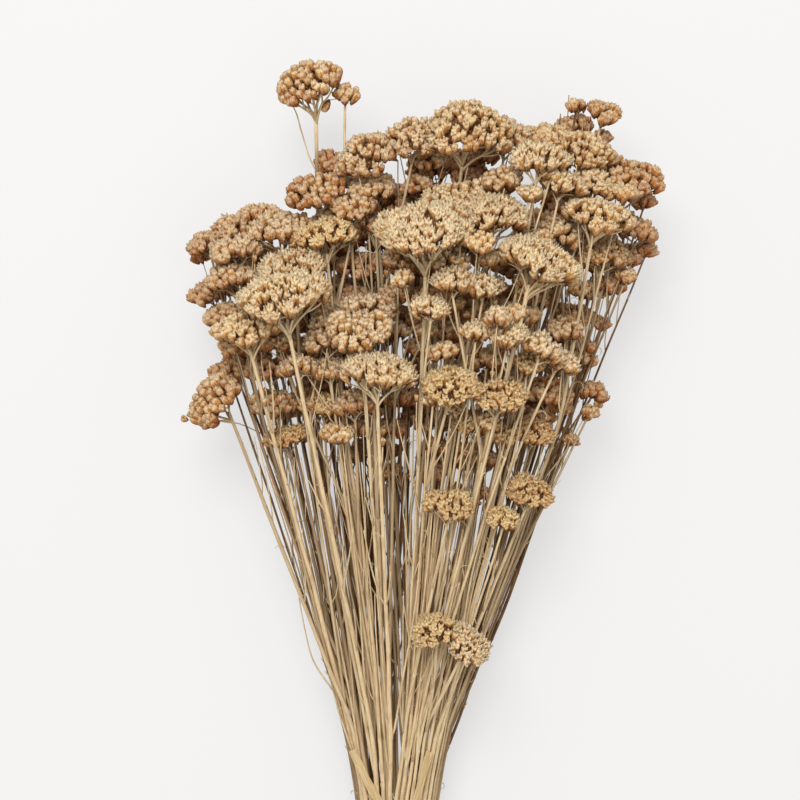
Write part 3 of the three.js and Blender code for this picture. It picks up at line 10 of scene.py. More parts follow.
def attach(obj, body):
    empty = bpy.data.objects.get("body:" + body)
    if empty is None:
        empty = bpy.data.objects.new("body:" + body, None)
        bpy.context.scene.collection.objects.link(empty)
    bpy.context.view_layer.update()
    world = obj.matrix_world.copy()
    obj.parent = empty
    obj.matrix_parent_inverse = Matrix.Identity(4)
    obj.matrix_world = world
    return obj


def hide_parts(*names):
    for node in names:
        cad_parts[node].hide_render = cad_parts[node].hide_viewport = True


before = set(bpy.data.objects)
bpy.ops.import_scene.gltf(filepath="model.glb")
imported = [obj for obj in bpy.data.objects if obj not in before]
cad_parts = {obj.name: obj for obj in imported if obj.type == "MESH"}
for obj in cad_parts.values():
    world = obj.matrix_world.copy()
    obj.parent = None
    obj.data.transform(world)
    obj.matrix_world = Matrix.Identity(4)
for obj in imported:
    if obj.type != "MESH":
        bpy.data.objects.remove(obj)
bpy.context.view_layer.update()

# Millimetres here, in the frame's axes. Each stem: its strands, trunk first, as rows of [x, y, z, radius] from the cut end
# or the fork to the flower head.
STRANDS = [
[[[-38.05,-265.04,32.56,1.46],[-37.05,-251.97,33.53,1.46],[-35.35,-226.97,35.14,1.44],[-34.07,-201.97,36.38,1.41],[-36.21,-176.97,40.17,1.38],[-40.23,-151.97,44.72,1.35],[-45.15,-126.97,49.84,1.32],[-54.57,-101.97,56.16,1.3],[-63.99,-76.97,59.78,1.26],[-73.41,-51.97,63.46,1.21],[-82.86,-26.97,67.18,1.17],[-92.34,-1.97,70.93,1.12],[-101.85,23.03,74.68,1.07],[-111.39,48.03,78.43,1.01],[-118.27,66.05,81.13,0.97]]],
[[[-40.08,-265.66,11.98,1.63],[-39.76,-251.97,13.89,1.62],[-39.19,-226.97,17.4,1.59],[-38.61,-201.97,20.92,1.55],[-40.68,-176.97,23.47,1.51],[-43.89,-151.97,25.61,1.46],[-47.91,-126.97,27.5,1.41],[-54.98,-101.97,28.5,1.38],[-62.05,-76.97,29.54,1.32],[-69.12,-51.97,30.64,1.25],[-76.18,-26.97,31.81,1.18],[-83.22,-1.97,33.04,1.11],[-90.25,23.03,34.33,1.04],[-97.25,48.03,35.66,0.96],[-104.23,73.03,37.02,0.88],[-109.82,93.06,38.12,0.81]],[[-90.71,24.68,34.41,0.89],[-100.28,51.48,42.36,0.85],[-109.82,78.28,50.34,0.81],[-119.35,105.07,58.35,0.77],[-128.87,131.87,66.36,0.74]],[[-43.68,-153.61,25.47,0.98],[-49.83,-127.19,30.61,0.95],[-58.17,-100.77,35.35,0.92],[-66.54,-74.35,40.08,0.89],[-74.93,-47.93,44.81,0.85],[-83.37,-21.51,49.51,0.82],[-91.86,4.91,54.18,0.79],[-100.4,31.33,58.81,0.76],[-109,57.75,63.38,0.72],[-117.65,84.17,67.88,0.69]],[[-79.66,-14.62,32.42,0.88],[-88.86,12.35,40.52,0.83],[-98.04,39.31,48.67,0.77],[-107.21,66.27,56.83,0.72],[-116.38,93.23,64.99,0.67],[-125.56,120.19,73.13,0.62]]],
[[[-34.62,-266.98,32.87,1.56],[-33.54,-251.97,34.33,1.55],[-32.08,-226.97,36.72,1.53],[-31.28,-201.97,38.35,1.51],[-33.15,-176.97,42.38,1.49],[-37.06,-151.97,45.94,1.47],[-40.97,-126.97,49.55,1.44],[-45.07,-101.97,53.18,1.43],[-49.25,-76.97,56.8,1.4],[-53.49,-51.97,60.36,1.37],[-57.55,-26.97,63.63,1.33],[-61.5,-1.97,66.66,1.3],[-65.48,23.03,69.62,1.26],[-69.46,48.03,72.55,1.22],[-74.76,73.03,75.69,1.18],[-80.17,98.03,78.64,1.13],[-82.29,123.03,83,1.09],[-84.61,148.03,86.63,1.04],[-85.86,162.11,88.74,1.01]],[[-40.85,-127.74,49.44,1.13],[-47.13,-100.25,51.66,1.1],[-53.39,-72.77,53.8,1.07],[-59.61,-45.29,55.86,1.04],[-65.68,-17.81,57.77,1.01],[-71.5,9.67,59.45,0.98],[-77.22,37.15,61.15,0.95],[-82.9,64.64,63.27,0.92],[-88.1,92.12,64.88,0.89],[-92.96,119.6,66.13,0.86],[-96.8,147.08,69.74,0.83],[-100.17,174.56,74.52,0.8]],[[-43.91,-109.07,52.15,1.04],[-54.05,-82.11,56.95,1.01],[-64.25,-55.15,61.73,0.98],[-74.32,-28.2,65.82,0.95],[-83.62,-1.24,68.6,0.92],[-92.42,25.71,71.11,0.89],[-101.11,52.67,73.54,0.85],[-108.6,79.63,75.88,0.82],[-115.09,106.58,77.84,0.79],[-122.05,133.54,79.09,0.76],[-129.23,160.49,80.03,0.73]],[[-39.37,-137.19,48.07,1.01],[-47.74,-109.43,50.44,0.98],[-56.46,-81.66,53.12,0.95],[-65.67,-53.9,56.18,0.93],[-73.55,-26.13,57.98,0.9],[-81.66,1.64,59.83,0.87],[-90.13,29.4,62.1,0.85],[-98.56,57.17,64.38,0.82],[-105.12,84.94,68.41,0.79],[-109.18,112.7,74.78,0.76],[-112.6,140.47,80.75,0.74],[-115.03,168.23,85.99,0.71]]],
[[[-40.45,-264.45,29.46,1.22],[-40.15,-251.97,29.69,1.22],[-39.64,-226.97,29.91,1.21],[-38.33,-201.97,31.12,1.19],[-40.58,-176.97,34.64,1.18],[-44.29,-151.97,39.28,1.16],[-49.13,-126.97,43.99,1.15],[-55.22,-101.97,48.78,1.15],[-61.43,-76.97,54.12,1.12],[-67.18,-51.97,58.92,1.1],[-72.91,-26.97,64.02,1.08],[-79.53,-1.97,70.38,1.06],[-86.56,23.03,76.77,1.03],[-93.68,48.03,82.98,1],[-100.12,73.03,88.35,0.98],[-105.47,98.03,91.5,0.95],[-110.4,123.03,93.87,0.92],[-113,136.13,95.07,0.9]],[[-47.41,-135.88,42.31,1.01],[-53.82,-109.6,49.36,0.99],[-60.09,-83.33,56.27,0.97],[-66.32,-57.06,62.66,0.96],[-72.41,-30.78,68.67,0.94],[-78.42,-4.51,74.39,0.93],[-84.5,21.76,80.01,0.91],[-90.67,48.04,85.56,0.9],[-96.46,74.31,90.36,0.88],[-101.76,100.58,93.92,0.86],[-106.91,126.86,96.77,0.85],[-112.1,153.13,99.58,0.83]],[[-46.69,-139.55,41.62,0.92],[-50.01,-111.13,45.52,0.89],[-53.77,-82.7,49.07,0.86],[-58.24,-54.28,52.15,0.83],[-62.72,-25.86,55.22,0.8],[-67.36,2.57,58.45,0.77],[-72.07,30.99,61.77,0.74],[-77.17,59.41,65.61,0.71],[-83.11,87.83,70.53,0.68],[-89.07,116.26,75.46,0.65]],[[-47.46,-135.62,42.36,0.92],[-51.89,-108.99,44.73,0.89],[-56.36,-82.37,47.16,0.87],[-61.45,-55.74,49.71,0.84],[-67.3,-29.12,52.37,0.81],[-73.12,-2.49,54.96,0.78],[-78.95,24.14,57.46,0.76],[-84.78,50.76,59.87,0.73],[-90.72,77.39,62.96,0.7],[-96.98,104.02,67.93,0.68],[-103.19,130.64,72.83,0.65]]],
[[[-30.27,-268.97,14.38,1.27],[-31.41,-251.97,16,1.26],[-33.11,-226.97,18.39,1.25],[-34.86,-201.97,20.76,1.24],[-36.7,-176.97,23.09,1.23],[-38.65,-151.97,25.35,1.21],[-40.94,-126.97,26.3,1.2],[-44.53,-101.97,27.48,1.2],[-48.92,-76.97,28.8,1.18],[-53.45,-51.97,30.12,1.16],[-58.09,-26.97,31.44,1.14],[-62.8,-1.97,32.74,1.12],[-67.55,23.03,34.02,1.1],[-72.32,48.03,35.27,1.07],[-77.09,73.03,36.49,1.05],[-81.87,98.03,37.68,1.02],[-86.64,123.03,38.84,1],[-90.86,145.16,39.86,0.97]],[[-38.65,-151.97,25.35,1.06],[-44.92,-124.26,29.81,1.04],[-51.15,-96.56,33.07,1.01],[-57.07,-68.86,35.54,0.99],[-63.12,-41.15,38.07,0.97],[-69.28,-13.45,40.65,0.94],[-75.53,14.25,43.27,0.92],[-81.84,41.96,45.91,0.9],[-88.2,69.66,48.57,0.88],[-94.59,97.37,51.25,0.85],[-101.01,125.07,53.93,0.83],[-107.43,152.77,56.62,0.81]]],
[[[-36.97,-261.31,29.25,1.62],[-36.77,-251.97,29.89,1.61],[-36.35,-226.97,31.42,1.59],[-36.3,-201.97,33.7,1.56],[-38.55,-176.97,37.34,1.53],[-42.4,-151.97,41.88,1.5],[-47.34,-126.97,46.69,1.46],[-53.05,-101.97,52.78,1.44],[-58.99,-76.97,60.18,1.39],[-64.99,-51.97,67.59,1.34],[-71.06,-26.97,74.98,1.29],[-77.2,-1.97,82.36,1.24],[-83.39,23.03,89.7,1.18],[-89.62,48.03,97.02,1.12],[-95.87,73.03,104.32,1.06],[-103.44,103.19,113.1,0.98]],[[-47.54,-126.07,46.91,0.97],[-51.04,-99.41,54.77,0.93],[-54.36,-72.75,62.77,0.9],[-57.7,-46.09,70.71,0.86],[-61.08,-19.43,78.61,0.83],[-64.49,7.23,86.47,0.79],[-67.93,33.89,94.29,0.75],[-71.4,60.55,102.09,0.72],[-74.88,87.2,109.88,0.68]]],
[[[-42.63,-270.84,26.66,1.09],[-41.8,-251.97,27.06,1.08],[-40.78,-226.97,27.33,1.07],[-39.41,-201.97,28.56,1.06],[-41.67,-176.97,32.03,1.04],[-45.69,-151.97,35.4,1.02],[-50.7,-126.97,38.81,1],[-57.14,-101.97,43.69,1],[-63.38,-76.97,48.86,0.97],[-69.59,-51.97,54.05,0.95],[-75.29,-26.97,59.13,0.92],[-80.01,-1.97,63.59,0.9],[-84.19,23.03,67.45,0.87],[-88.27,48.03,71.28,0.84],[-90.68,63.78,73.72,0.82]],[[-44.97,-156.45,34.79,0.89],[-49.79,-129.7,40.62,0.88],[-55.74,-102.94,45.81,0.87],[-60.86,-76.18,50.54,0.85],[-65.44,-49.42,54.73,0.84],[-70.87,-22.66,59.48,0.83],[-76.78,4.1,64.56,0.81],[-82.61,30.85,69.58,0.8],[-88.38,57.61,74.6,0.79],[-94.48,84.37,78.85,0.77]],[[-49.99,-130.52,38.32,0.88],[-55.26,-101.59,43.73,0.86],[-60.24,-72.67,49.01,0.84],[-64.73,-43.75,54.36,0.82],[-70.35,-14.83,60.66,0.8],[-76.34,14.09,66.96,0.78],[-82.31,43.01,73.21,0.76]],[[-44.74,-157.9,34.6,0.9],[-46.57,-130.33,40.52,0.88],[-48.51,-102.75,46.47,0.85],[-50.57,-75.18,52.5,0.83],[-52.68,-47.6,58.59,0.81],[-54.99,-20.03,64.85,0.79],[-57.36,7.54,71.2,0.77],[-59.44,35.12,78.11,0.75],[-61.03,62.69,86.96,0.73]]],
[[[-24.47,-261.87,36.37,1.58],[-25.69,-251.97,36.98,1.58],[-28.61,-226.97,38.29,1.57],[-28.16,-201.97,39.95,1.55],[-29.07,-176.97,44.47,1.53],[-30.71,-151.97,50.69,1.51],[-33.59,-126.97,57.59,1.49],[-37.98,-101.97,65.4,1.48],[-42.53,-76.97,73.15,1.46],[-47.2,-51.97,80.85,1.43],[-51.98,-26.97,88.5,1.39],[-56.86,-1.97,96.1,1.36],[-61.82,23.03,103.64,1.33],[-66.84,48.03,111.14,1.29],[-71.93,73.03,118.59,1.25],[-77.05,98.03,126.01,1.22],[-80.96,117.06,131.64,1.19]],[[-30.14,-160.6,48.54,1.32],[-34.98,-133.49,54.08,1.3],[-39.78,-106.39,59.81,1.27],[-44.57,-79.28,65.66,1.24],[-49.5,-52.18,71.47,1.21],[-54.55,-25.08,77.22,1.18],[-59.71,2.03,82.89,1.16],[-64.96,29.13,88.45,1.13],[-70.27,56.23,93.87,1.1],[-73.77,83.34,97.77,1.07],[-75.76,110.44,100.42,1.04],[-77.75,137.54,102.99,1.02]]],
[[[-32.45,-264.56,11.99,1.57],[-33.36,-251.97,13.13,1.56],[-35.2,-226.97,15.38,1.53],[-37.05,-201.97,17.64,1.49],[-39.1,-176.97,20.3,1.45],[-41.67,-151.97,22.92,1.4],[-44.18,-126.97,26.37,1.35],[-46.53,-101.97,30.87,1.31],[-49.12,-76.97,35.78,1.25],[-51.87,-51.97,40.69,1.18],[-54.73,-26.97,45.61,1.11],[-57.7,-1.97,50.52,1.04],[-60.77,23.03,55.43,0.96],[-63.92,48.03,60.32,0.88],[-67.14,72.82,65.12,0.8]],[[-43.53,-133.42,25.48,0.99],[-48.16,-105.13,29.54,0.95],[-52.9,-76.84,33.57,0.91],[-57.74,-48.56,37.58,0.86],[-62.66,-20.27,41.56,0.82],[-67.62,8.02,45.49,0.78],[-72.59,36.31,49.33,0.74],[-77.53,64.59,53.06,0.7]]],
[[[-29.84,-267.23,17.68,1.37],[-30.68,-251.97,19.67,1.37],[-32.07,-226.97,22.93,1.36],[-33.51,-201.97,26.2,1.35],[-35,-176.97,29.49,1.35],[-36.56,-151.97,32.79,1.34],[-38.19,-126.97,36.11,1.33],[-39.9,-101.97,39.43,1.34],[-41.69,-76.97,42.74,1.33],[-43.54,-51.97,46.02,1.31],[-45.45,-26.97,49.25,1.3],[-47.41,-1.97,52.43,1.29],[-49.41,23.03,55.52,1.27],[-51.33,48.03,58.57,1.26],[-53.12,73.03,61.58,1.25],[-56.41,98.03,64.81,1.23],[-59.02,123.03,66.3,1.21],[-61.68,148.03,67.75,1.2],[-64.38,173.03,69.25,1.18],[-65.38,198.03,72.27,1.16],[-65.63,223.03,76.75,1.15],[-65.98,246.6,81.44,1.13]]],
[[[-24.22,-263.04,23,1.27],[-24.8,-251.97,24.72,1.26],[-26.14,-226.97,28.61,1.25],[-27.51,-201.97,32.53,1.22],[-28.94,-176.97,36.5,1.2],[-30.44,-151.97,40.52,1.17],[-32.04,-126.97,44.59,1.14],[-33.72,-101.97,48.71,1.12],[-35.5,-76.97,52.87,1.08],[-37.77,-51.97,57.05,1.04],[-40.28,-26.97,61.23,1],[-42.85,-1.97,65.4,0.96],[-45.44,23.03,69.54,0.91],[-48.03,48.03,73.62,0.86],[-50.59,73.03,77.63,0.81],[-52.53,92.35,80.65,0.77]],[[-42.48,-5.57,64.8,0.83],[-53.1,20.97,76.12,0.8],[-64.84,47.52,83.39,0.78],[-76.44,74.06,88.13,0.75],[-86.45,100.6,93.03,0.73]],[[-30.11,-157.51,39.62,0.98],[-34.58,-129.17,44.1,0.95],[-39.12,-100.83,48.63,0.91],[-43.72,-72.49,53.21,0.88],[-48.36,-44.15,57.83,0.85],[-53.02,-15.81,62.48,0.82],[-57.7,12.53,67.14,0.78],[-62.36,40.86,71.8,0.75],[-67.01,69.2,76.43,0.72],[-69.86,97.54,83.53,0.69]],[[-33.31,-108.08,47.7,0.92],[-37.08,-82.21,51.94,0.89],[-40.4,-56.35,56.23,0.86],[-43.44,-30.48,60.57,0.83],[-46.54,-4.62,64.92,0.8],[-49.7,21.25,69.27,0.77],[-52.88,47.12,73.6,0.74],[-56.09,72.98,77.9,0.71],[-59.42,98.85,82.4,0.68],[-62.82,124.71,86.98,0.65]]],
[[[-25.3,-263.74,10.44,1.25],[-26.26,-251.97,11.2,1.25],[-28.42,-226.97,12.66,1.24],[-31.11,-201.97,14.51,1.23],[-33.92,-176.97,16.13,1.22],[-36.71,-151.97,17.35,1.2],[-39.56,-126.97,18.54,1.19],[-43.12,-101.97,19.18,1.19],[-46.76,-76.97,19.78,1.17],[-50.55,-51.97,20.31,1.15],[-54.54,-26.97,20.77,1.13],[-58.72,-1.97,21.17,1.11],[-63.08,23.03,21.5,1.09],[-67.58,48.03,21.8,1.07],[-72.19,73.03,20.8,1.04],[-79.05,109.75,19.92,1.01]],[[-39.97,-124.11,18.62,1.04],[-40.51,-97.02,20.23,1.02],[-41.35,-69.94,20.85,1],[-44.12,-42.85,20.6,0.98],[-48.01,-15.77,20.58,0.96],[-52.18,11.32,20.67,0.94],[-56.54,38.4,19.71,0.93],[-61.11,65.49,18.76,0.91]]],
[[[-21.6,-270.74,32.56,1.24],[-22.55,-251.97,35.51,1.23],[-25.03,-226.97,38.71,1.22],[-25.3,-201.97,41.36,1.21],[-25.73,-176.97,45.98,1.2],[-26.8,-151.97,50.82,1.19],[-28.34,-126.97,55.54,1.17],[-30.02,-101.97,60.22,1.17],[-31.8,-76.97,64.86,1.16],[-34.09,-51.97,69.23,1.14],[-36.66,-26.97,73.44,1.12],[-39.73,-1.97,77.88,1.1],[-43.16,23.03,82.41,1.08],[-46.76,48.03,86.93,1.05],[-49.66,73.03,90.49,1.03],[-52.39,98.03,93.62,1.01],[-55.1,123.03,95.96,0.98],[-59,159.35,99.33,0.94]],[[-54.57,118.17,95.51,0.85],[-48.55,148.62,96.13,0.81],[-42.51,179.08,96.77,0.77]]],
[[[-19.42,-270.96,9.5,1.35],[-20.85,-251.97,11.85,1.35],[-22.93,-226.97,14.8,1.33],[-25.26,-201.97,17.22,1.31],[-27.66,-176.97,19.11,1.29],[-30.1,-151.97,20.65,1.27],[-32.98,-126.97,22.23,1.25],[-36.18,-101.97,24.82,1.24],[-39.36,-76.97,28.47,1.21],[-42.77,-51.97,32.09,1.18],[-46.38,-26.97,35.68,1.15],[-50.17,-1.97,39.25,1.11],[-54.15,23.03,42.79,1.08],[-58.28,48.03,46.32,1.04],[-62.53,73.03,49.83,1],[-66.88,98.03,53.33,0.96],[-71.89,126.52,57.31,0.92]],[[-29.84,-154.59,20.48,1.11],[-29.5,-127.41,25.33,1.09],[-29.43,-100.24,30.14,1.06],[-29.88,-73.06,34.81,1.04],[-30.92,-45.88,39.36,1.01],[-32,-18.71,43.84,0.99],[-33.12,8.47,48.24,0.97],[-34.29,35.65,52.57,0.94],[-35.51,62.82,56.83,0.92],[-36.39,90,61.45,0.89],[-37.05,117.18,66.31,0.87],[-37.73,144.36,71.15,0.84]],[[-30.41,-149.3,20.82,1.11],[-30.85,-122.43,24,1.07],[-31.63,-95.56,27.82,1.04],[-33.11,-68.69,32.29,1.01],[-35.21,-41.82,36.09,0.97],[-37.52,-14.95,39.78,0.94],[-39.9,11.92,43.34,0.91],[-42.33,38.79,46.77,0.87],[-44.82,65.66,50.06,0.84],[-47.36,92.53,53.19,0.8]],[[-31.64,-138.63,21.49,1.07],[-31.85,-112.13,27.29,1.04],[-32.23,-85.63,32.85,1.01],[-32.73,-59.13,38.16,0.98],[-33.98,-32.63,43.15,0.95],[-35.27,-6.13,48,0.92],[-36.58,20.38,52.73,0.88],[-37.88,46.88,57.36,0.85],[-39.15,73.38,61.9,0.82],[-40.36,99.88,66.37,0.79],[-41.49,126.38,70.81,0.76]]],
[[[-28.58,-267.68,8.79,1.39],[-29.69,-251.97,11.09,1.39],[-31.1,-226.97,14.62,1.37],[-32.08,-201.97,17.71,1.36],[-32.78,-176.97,20.35,1.35],[-33.6,-151.97,23,1.33],[-34.59,-126.97,25.67,1.31],[-34.82,-101.97,27.67,1.31],[-35.08,-76.97,29.45,1.29],[-34.93,-51.97,31.72,1.27],[-34.02,-26.97,35.3,1.24],[-33.2,-1.97,38.78,1.22],[-32.43,23.03,42.21,1.19],[-31.65,48.03,45.61,1.17],[-30.86,73.03,49.01,1.14],[-30.03,98.03,52.42,1.11],[-29.16,123.03,55.83,1.08],[-28.26,148.03,59.26,1.05],[-27.61,183.16,64.8,1]],[[-33.51,-154.84,22.69,1.16],[-35.12,-128.46,27.67,1.14],[-36.87,-102.09,32.65,1.12],[-38.75,-75.71,37.6,1.09],[-40.73,-49.33,42.51,1.07],[-42.8,-22.96,47.34,1.05],[-44.95,3.42,52.09,1.02],[-47.15,29.8,56.74,1],[-49.6,56.17,61.22,0.98],[-52.21,82.55,65.55,0.95],[-54.84,108.92,70.28,0.93],[-57.42,135.3,75.97,0.91],[-60.03,161.68,81.67,0.88],[-62.67,188.05,87.43,0.86]],[[-34.76,-108.44,27.16,1.01],[-36.64,-82.58,32.18,0.99],[-38.68,-56.73,37.15,0.96],[-40.85,-30.87,42.07,0.93],[-43.13,-5.01,46.9,0.9],[-45.49,20.84,51.64,0.88],[-47.88,46.7,56.27,0.85],[-50.29,72.56,60.8,0.82],[-52.65,98.41,65.21,0.79],[-54.87,124.27,69.32,0.77],[-55.48,150.13,73.37,0.74],[-54.33,175.98,77.47,0.71]],[[-34.15,-138.08,24.48,0.92],[-34.27,-112.06,28.97,0.9],[-34.62,-86.05,32.52,0.88],[-34.62,-60.03,36.04,0.86],[-34.17,-34.01,39.22,0.84],[-33.95,-8,41.79,0.82],[-33.8,18.02,44.23,0.8],[-33.71,44.04,46.57,0.78],[-33.65,70.05,48.79,0.75],[-33.6,96.07,50.92,0.73],[-36.04,122.09,53.16,0.71],[-40.82,148.1,55.3,0.69],[-44.7,174.12,60.25,0.67],[-46.97,200.14,71.1,0.65]]],
[[[-23.01,-270.8,28.28,1.42],[-23.14,-251.97,29.68,1.41],[-23.49,-226.97,31.73,1.4],[-23.97,-201.97,35.19,1.38],[-24.47,-176.97,39.85,1.35],[-24.95,-151.97,44.92,1.33],[-25.5,-126.97,49.88,1.3],[-26.1,-101.97,54.86,1.29],[-26.75,-76.97,59.84,1.26],[-27.45,-51.97,64.81,1.22],[-28.2,-26.97,69.77,1.18],[-29,-1.97,74.72,1.15],[-29.84,23.03,79.65,1.11],[-30.72,48.03,84.56,1.06],[-31.63,73.03,89.45,1.02],[-32.56,98.03,94.32,0.98],[-33.22,115.51,97.73,0.94]],[[-24.94,-152.81,44.75,1.06],[-28.97,-124.6,52.27,1.02],[-32.98,-96.38,59.78,0.99],[-37.06,-68.17,67.16,0.95],[-41.16,-39.95,74.35,0.92],[-44.88,-11.74,81.33,0.88],[-48.32,16.48,88.18,0.85],[-51.7,44.69,94.98,0.81],[-55,72.9,101.72,0.78],[-58.22,101.12,108.46,0.74]],[[-25.29,-136.75,47.94,1],[-29.18,-109.1,54.97,0.96],[-33.29,-81.45,62.17,0.93],[-37.16,-53.8,69.64,0.89],[-41.08,-26.15,76.59,0.85],[-45.05,1.5,82.91,0.82],[-49.04,29.15,89.28,0.78],[-53.07,56.8,95.83,0.74],[-57.13,84.44,102.49,0.7]],[[-25.55,-125.17,50.24,0.97],[-29.06,-98.56,56.02,0.94],[-32.61,-71.95,61.83,0.91],[-36.19,-45.33,67.66,0.88],[-39.84,-18.72,73.6,0.84],[-43.54,7.9,79.67,0.81],[-46.84,34.51,85.71,0.78],[-49.77,61.12,91.75,0.75],[-53.4,87.74,97.99,0.72],[-56.47,114.35,105.6,0.68]]],
[[[-15.42,-265.83,20.86,1.69],[-15.87,-251.97,22.9,1.68],[-16.72,-226.97,26.6,1.66],[-17.6,-201.97,30.33,1.63],[-18.55,-176.97,34.12,1.6],[-19.6,-151.97,37.99,1.57],[-20.75,-126.97,41.93,1.53],[-22.04,-101.97,45.95,1.51],[-23.47,-76.97,50.05,1.47],[-25.07,-51.97,54.22,1.42],[-26.83,-26.97,58.43,1.38],[-28.75,-1.97,62.66,1.33],[-30.83,23.03,66.89,1.27],[-33.05,48.03,71.07,1.22],[-35.4,73.03,75.2,1.16],[-37.87,98.03,79.26,1.1],[-40.43,123.03,83.28,1.04],[-43.09,148.03,86.91,0.98],[-44.72,173.03,87.22,0.91],[-46.4,198.03,83.94,0.85],[-48.58,223.03,80.71,0.78],[-48.54,252.31,78.82,0.69]]],
[[[-28.18,-262.5,31.07,1.57],[-28.18,-251.97,32.03,1.56],[-28.14,-226.97,34.28,1.53],[-28.17,-201.97,36.34,1.49],[-29.68,-176.97,40.94,1.44],[-31.48,-151.97,46.54,1.39],[-33.34,-126.97,51.9,1.34],[-35.2,-101.97,57.11,1.3],[-36.8,-76.97,62.26,1.23],[-38.08,-51.97,67.41,1.16],[-39.36,-26.97,74.21,1.09],[-40.45,-1.97,81.74,1.01],[-41.21,23.03,89.21,0.93],[-41.83,48.03,96.77,0.84],[-42.08,63.54,101.52,0.79]],[[-34.06,-117.3,53.91,0.88],[-35.17,-89.02,57.77,0.83],[-36.51,-60.74,62.15,0.79],[-37.99,-32.47,66.8,0.75],[-39.44,-4.19,71.41,0.7],[-40.87,24.08,75.97,0.66],[-42.24,52.36,80.46,0.62]]],
[[[-29.1,-265.6,5.87,1.46],[-29.38,-251.97,7.05,1.46],[-29.89,-226.97,9.2,1.45],[-30.39,-201.97,11.35,1.43],[-31.57,-176.97,13.59,1.41],[-33.55,-151.97,15.48,1.4],[-36.15,-126.97,16.79,1.37],[-39.9,-101.97,16.94,1.37],[-43.34,-76.97,18.4,1.35],[-46.04,-51.97,21.1,1.32],[-47.55,-26.97,23.55,1.3],[-48.28,-1.97,25.42,1.27],[-49.08,23.03,27.23,1.24],[-49.75,48.03,28.94,1.21],[-50.1,73.03,30.51,1.17],[-52.49,98.03,29.75,1.14],[-55.82,123.03,27.86,1.11],[-59.16,148.03,24.3,1.07],[-60.99,161.65,21.62,1.05]],[[-36.1,-127.43,16.77,1.2],[-34.39,-99.3,20.37,1.18],[-32.75,-71.17,23.97,1.15],[-31.52,-43.05,27.91,1.13],[-31.12,-14.92,32.38,1.11],[-31.23,13.21,36.97,1.08],[-31.52,41.34,41.47,1.06],[-32.65,69.46,42.69,1.04],[-34.27,97.59,42.16,1.01],[-35.95,125.72,41.53,0.99]],[[-33.88,-148.78,15.65,1.22],[-32.49,-122.8,18.71,1.19],[-31.15,-96.83,21.77,1.16],[-29.89,-70.86,24.89,1.14],[-28.72,-44.88,28.02,1.11],[-27.63,-18.91,31.09,1.08],[-26.62,7.06,34.08,1.06],[-25.72,33.03,36.95,1.03],[-25.08,59.01,39.5,1],[-24.78,84.98,41.65,0.97],[-24.54,110.95,43.7,0.95],[-24.35,136.93,45.66,0.92],[-24.18,162.9,47.58,0.89]]],
[[[-22.93,-263.11,39.63,1.69],[-22.52,-251.97,40.04,1.68],[-21.83,-226.97,40.91,1.65],[-22.06,-201.97,41.66,1.62],[-22.16,-176.97,46.32,1.59],[-21.38,-151.97,52.94,1.55],[-21.36,-126.97,60.55,1.51],[-22.05,-101.97,70.16,1.48],[-23.05,-76.97,79.46,1.43],[-24.05,-51.97,88.76,1.38],[-25.03,-26.97,98.07,1.32],[-25.98,-1.97,107.39,1.26],[-26.91,23.03,116.72,1.2],[-27.82,48.03,126.06,1.13],[-28.84,76.69,136.76,1.05]],[[-21.38,-146.76,54.52,1.35],[-23.34,-119.16,61.76,1.3],[-25.23,-91.57,69.26,1.26],[-27.06,-63.97,76.93,1.22],[-28.89,-36.37,84.65,1.18],[-30.7,-8.77,92.44,1.14],[-32.46,18.83,100.32,1.09],[-34.17,46.43,108.3,1.05],[-36.37,74.03,115.48,1.01],[-39.65,101.62,120.85,0.97]]],
[[[-15.05,-271.33,25.78,1.21],[-14.52,-251.97,28.01,1.21],[-13.8,-226.97,30.87,1.2],[-13.24,-201.97,33.88,1.2],[-13.07,-176.97,37.53,1.19],[-13.07,-151.97,41.57,1.18],[-12.99,-126.97,45.53,1.17],[-12.84,-101.97,49.45,1.17],[-13.65,-76.97,53.28,1.16],[-15.09,-51.97,57.03,1.15],[-16.5,-26.97,60.73,1.13],[-17.89,-1.97,64.39,1.12],[-19.27,23.03,68,1.1],[-20.81,48.03,71.17,1.09],[-22.42,73.03,74.12,1.07],[-24.59,98.03,76.38,1.05],[-26.27,123.03,78.94,1.04],[-26.85,148.03,82.24,1.02],[-28.55,173.03,84.48,1],[-32.12,209.07,86.68,0.97]],[[-26.39,128.3,79.63,0.89],[-20.31,158.29,83.8,0.88],[-14.21,188.28,87.94,0.87],[-7.73,218.27,91.6,0.85]],[[-12.99,-127.84,45.39,1.02],[-15.2,-101.41,49.43,1],[-16.95,-74.98,53.48,0.98],[-18.39,-48.56,57.54,0.96],[-19.8,-22.13,61.59,0.94],[-21.17,4.3,65.63,0.93],[-22.52,30.73,69.58,0.91],[-23.87,57.16,73.28,0.89],[-25.28,83.58,76.77,0.87],[-26.72,110.01,80.09,0.85],[-28.15,136.44,83.35,0.83],[-29.57,162.87,86.58,0.81],[-30.98,189.3,89.78,0.79]],[[-13.07,-153.57,41.31,0.92],[-15.38,-126.45,45.57,0.9],[-17.65,-99.32,49.82,0.87],[-19.56,-72.2,54.04,0.85],[-21.27,-45.08,58.26,0.83],[-22.95,-17.96,62.47,0.8],[-24.58,9.17,66.68,0.78],[-26.18,36.29,70.87,0.76],[-27.75,63.41,75.01,0.74],[-29.34,90.54,78.59,0.71],[-30.93,117.66,81.91,0.69],[-32.5,144.78,85.2,0.67],[-34.16,171.91,88.2,0.65]]],
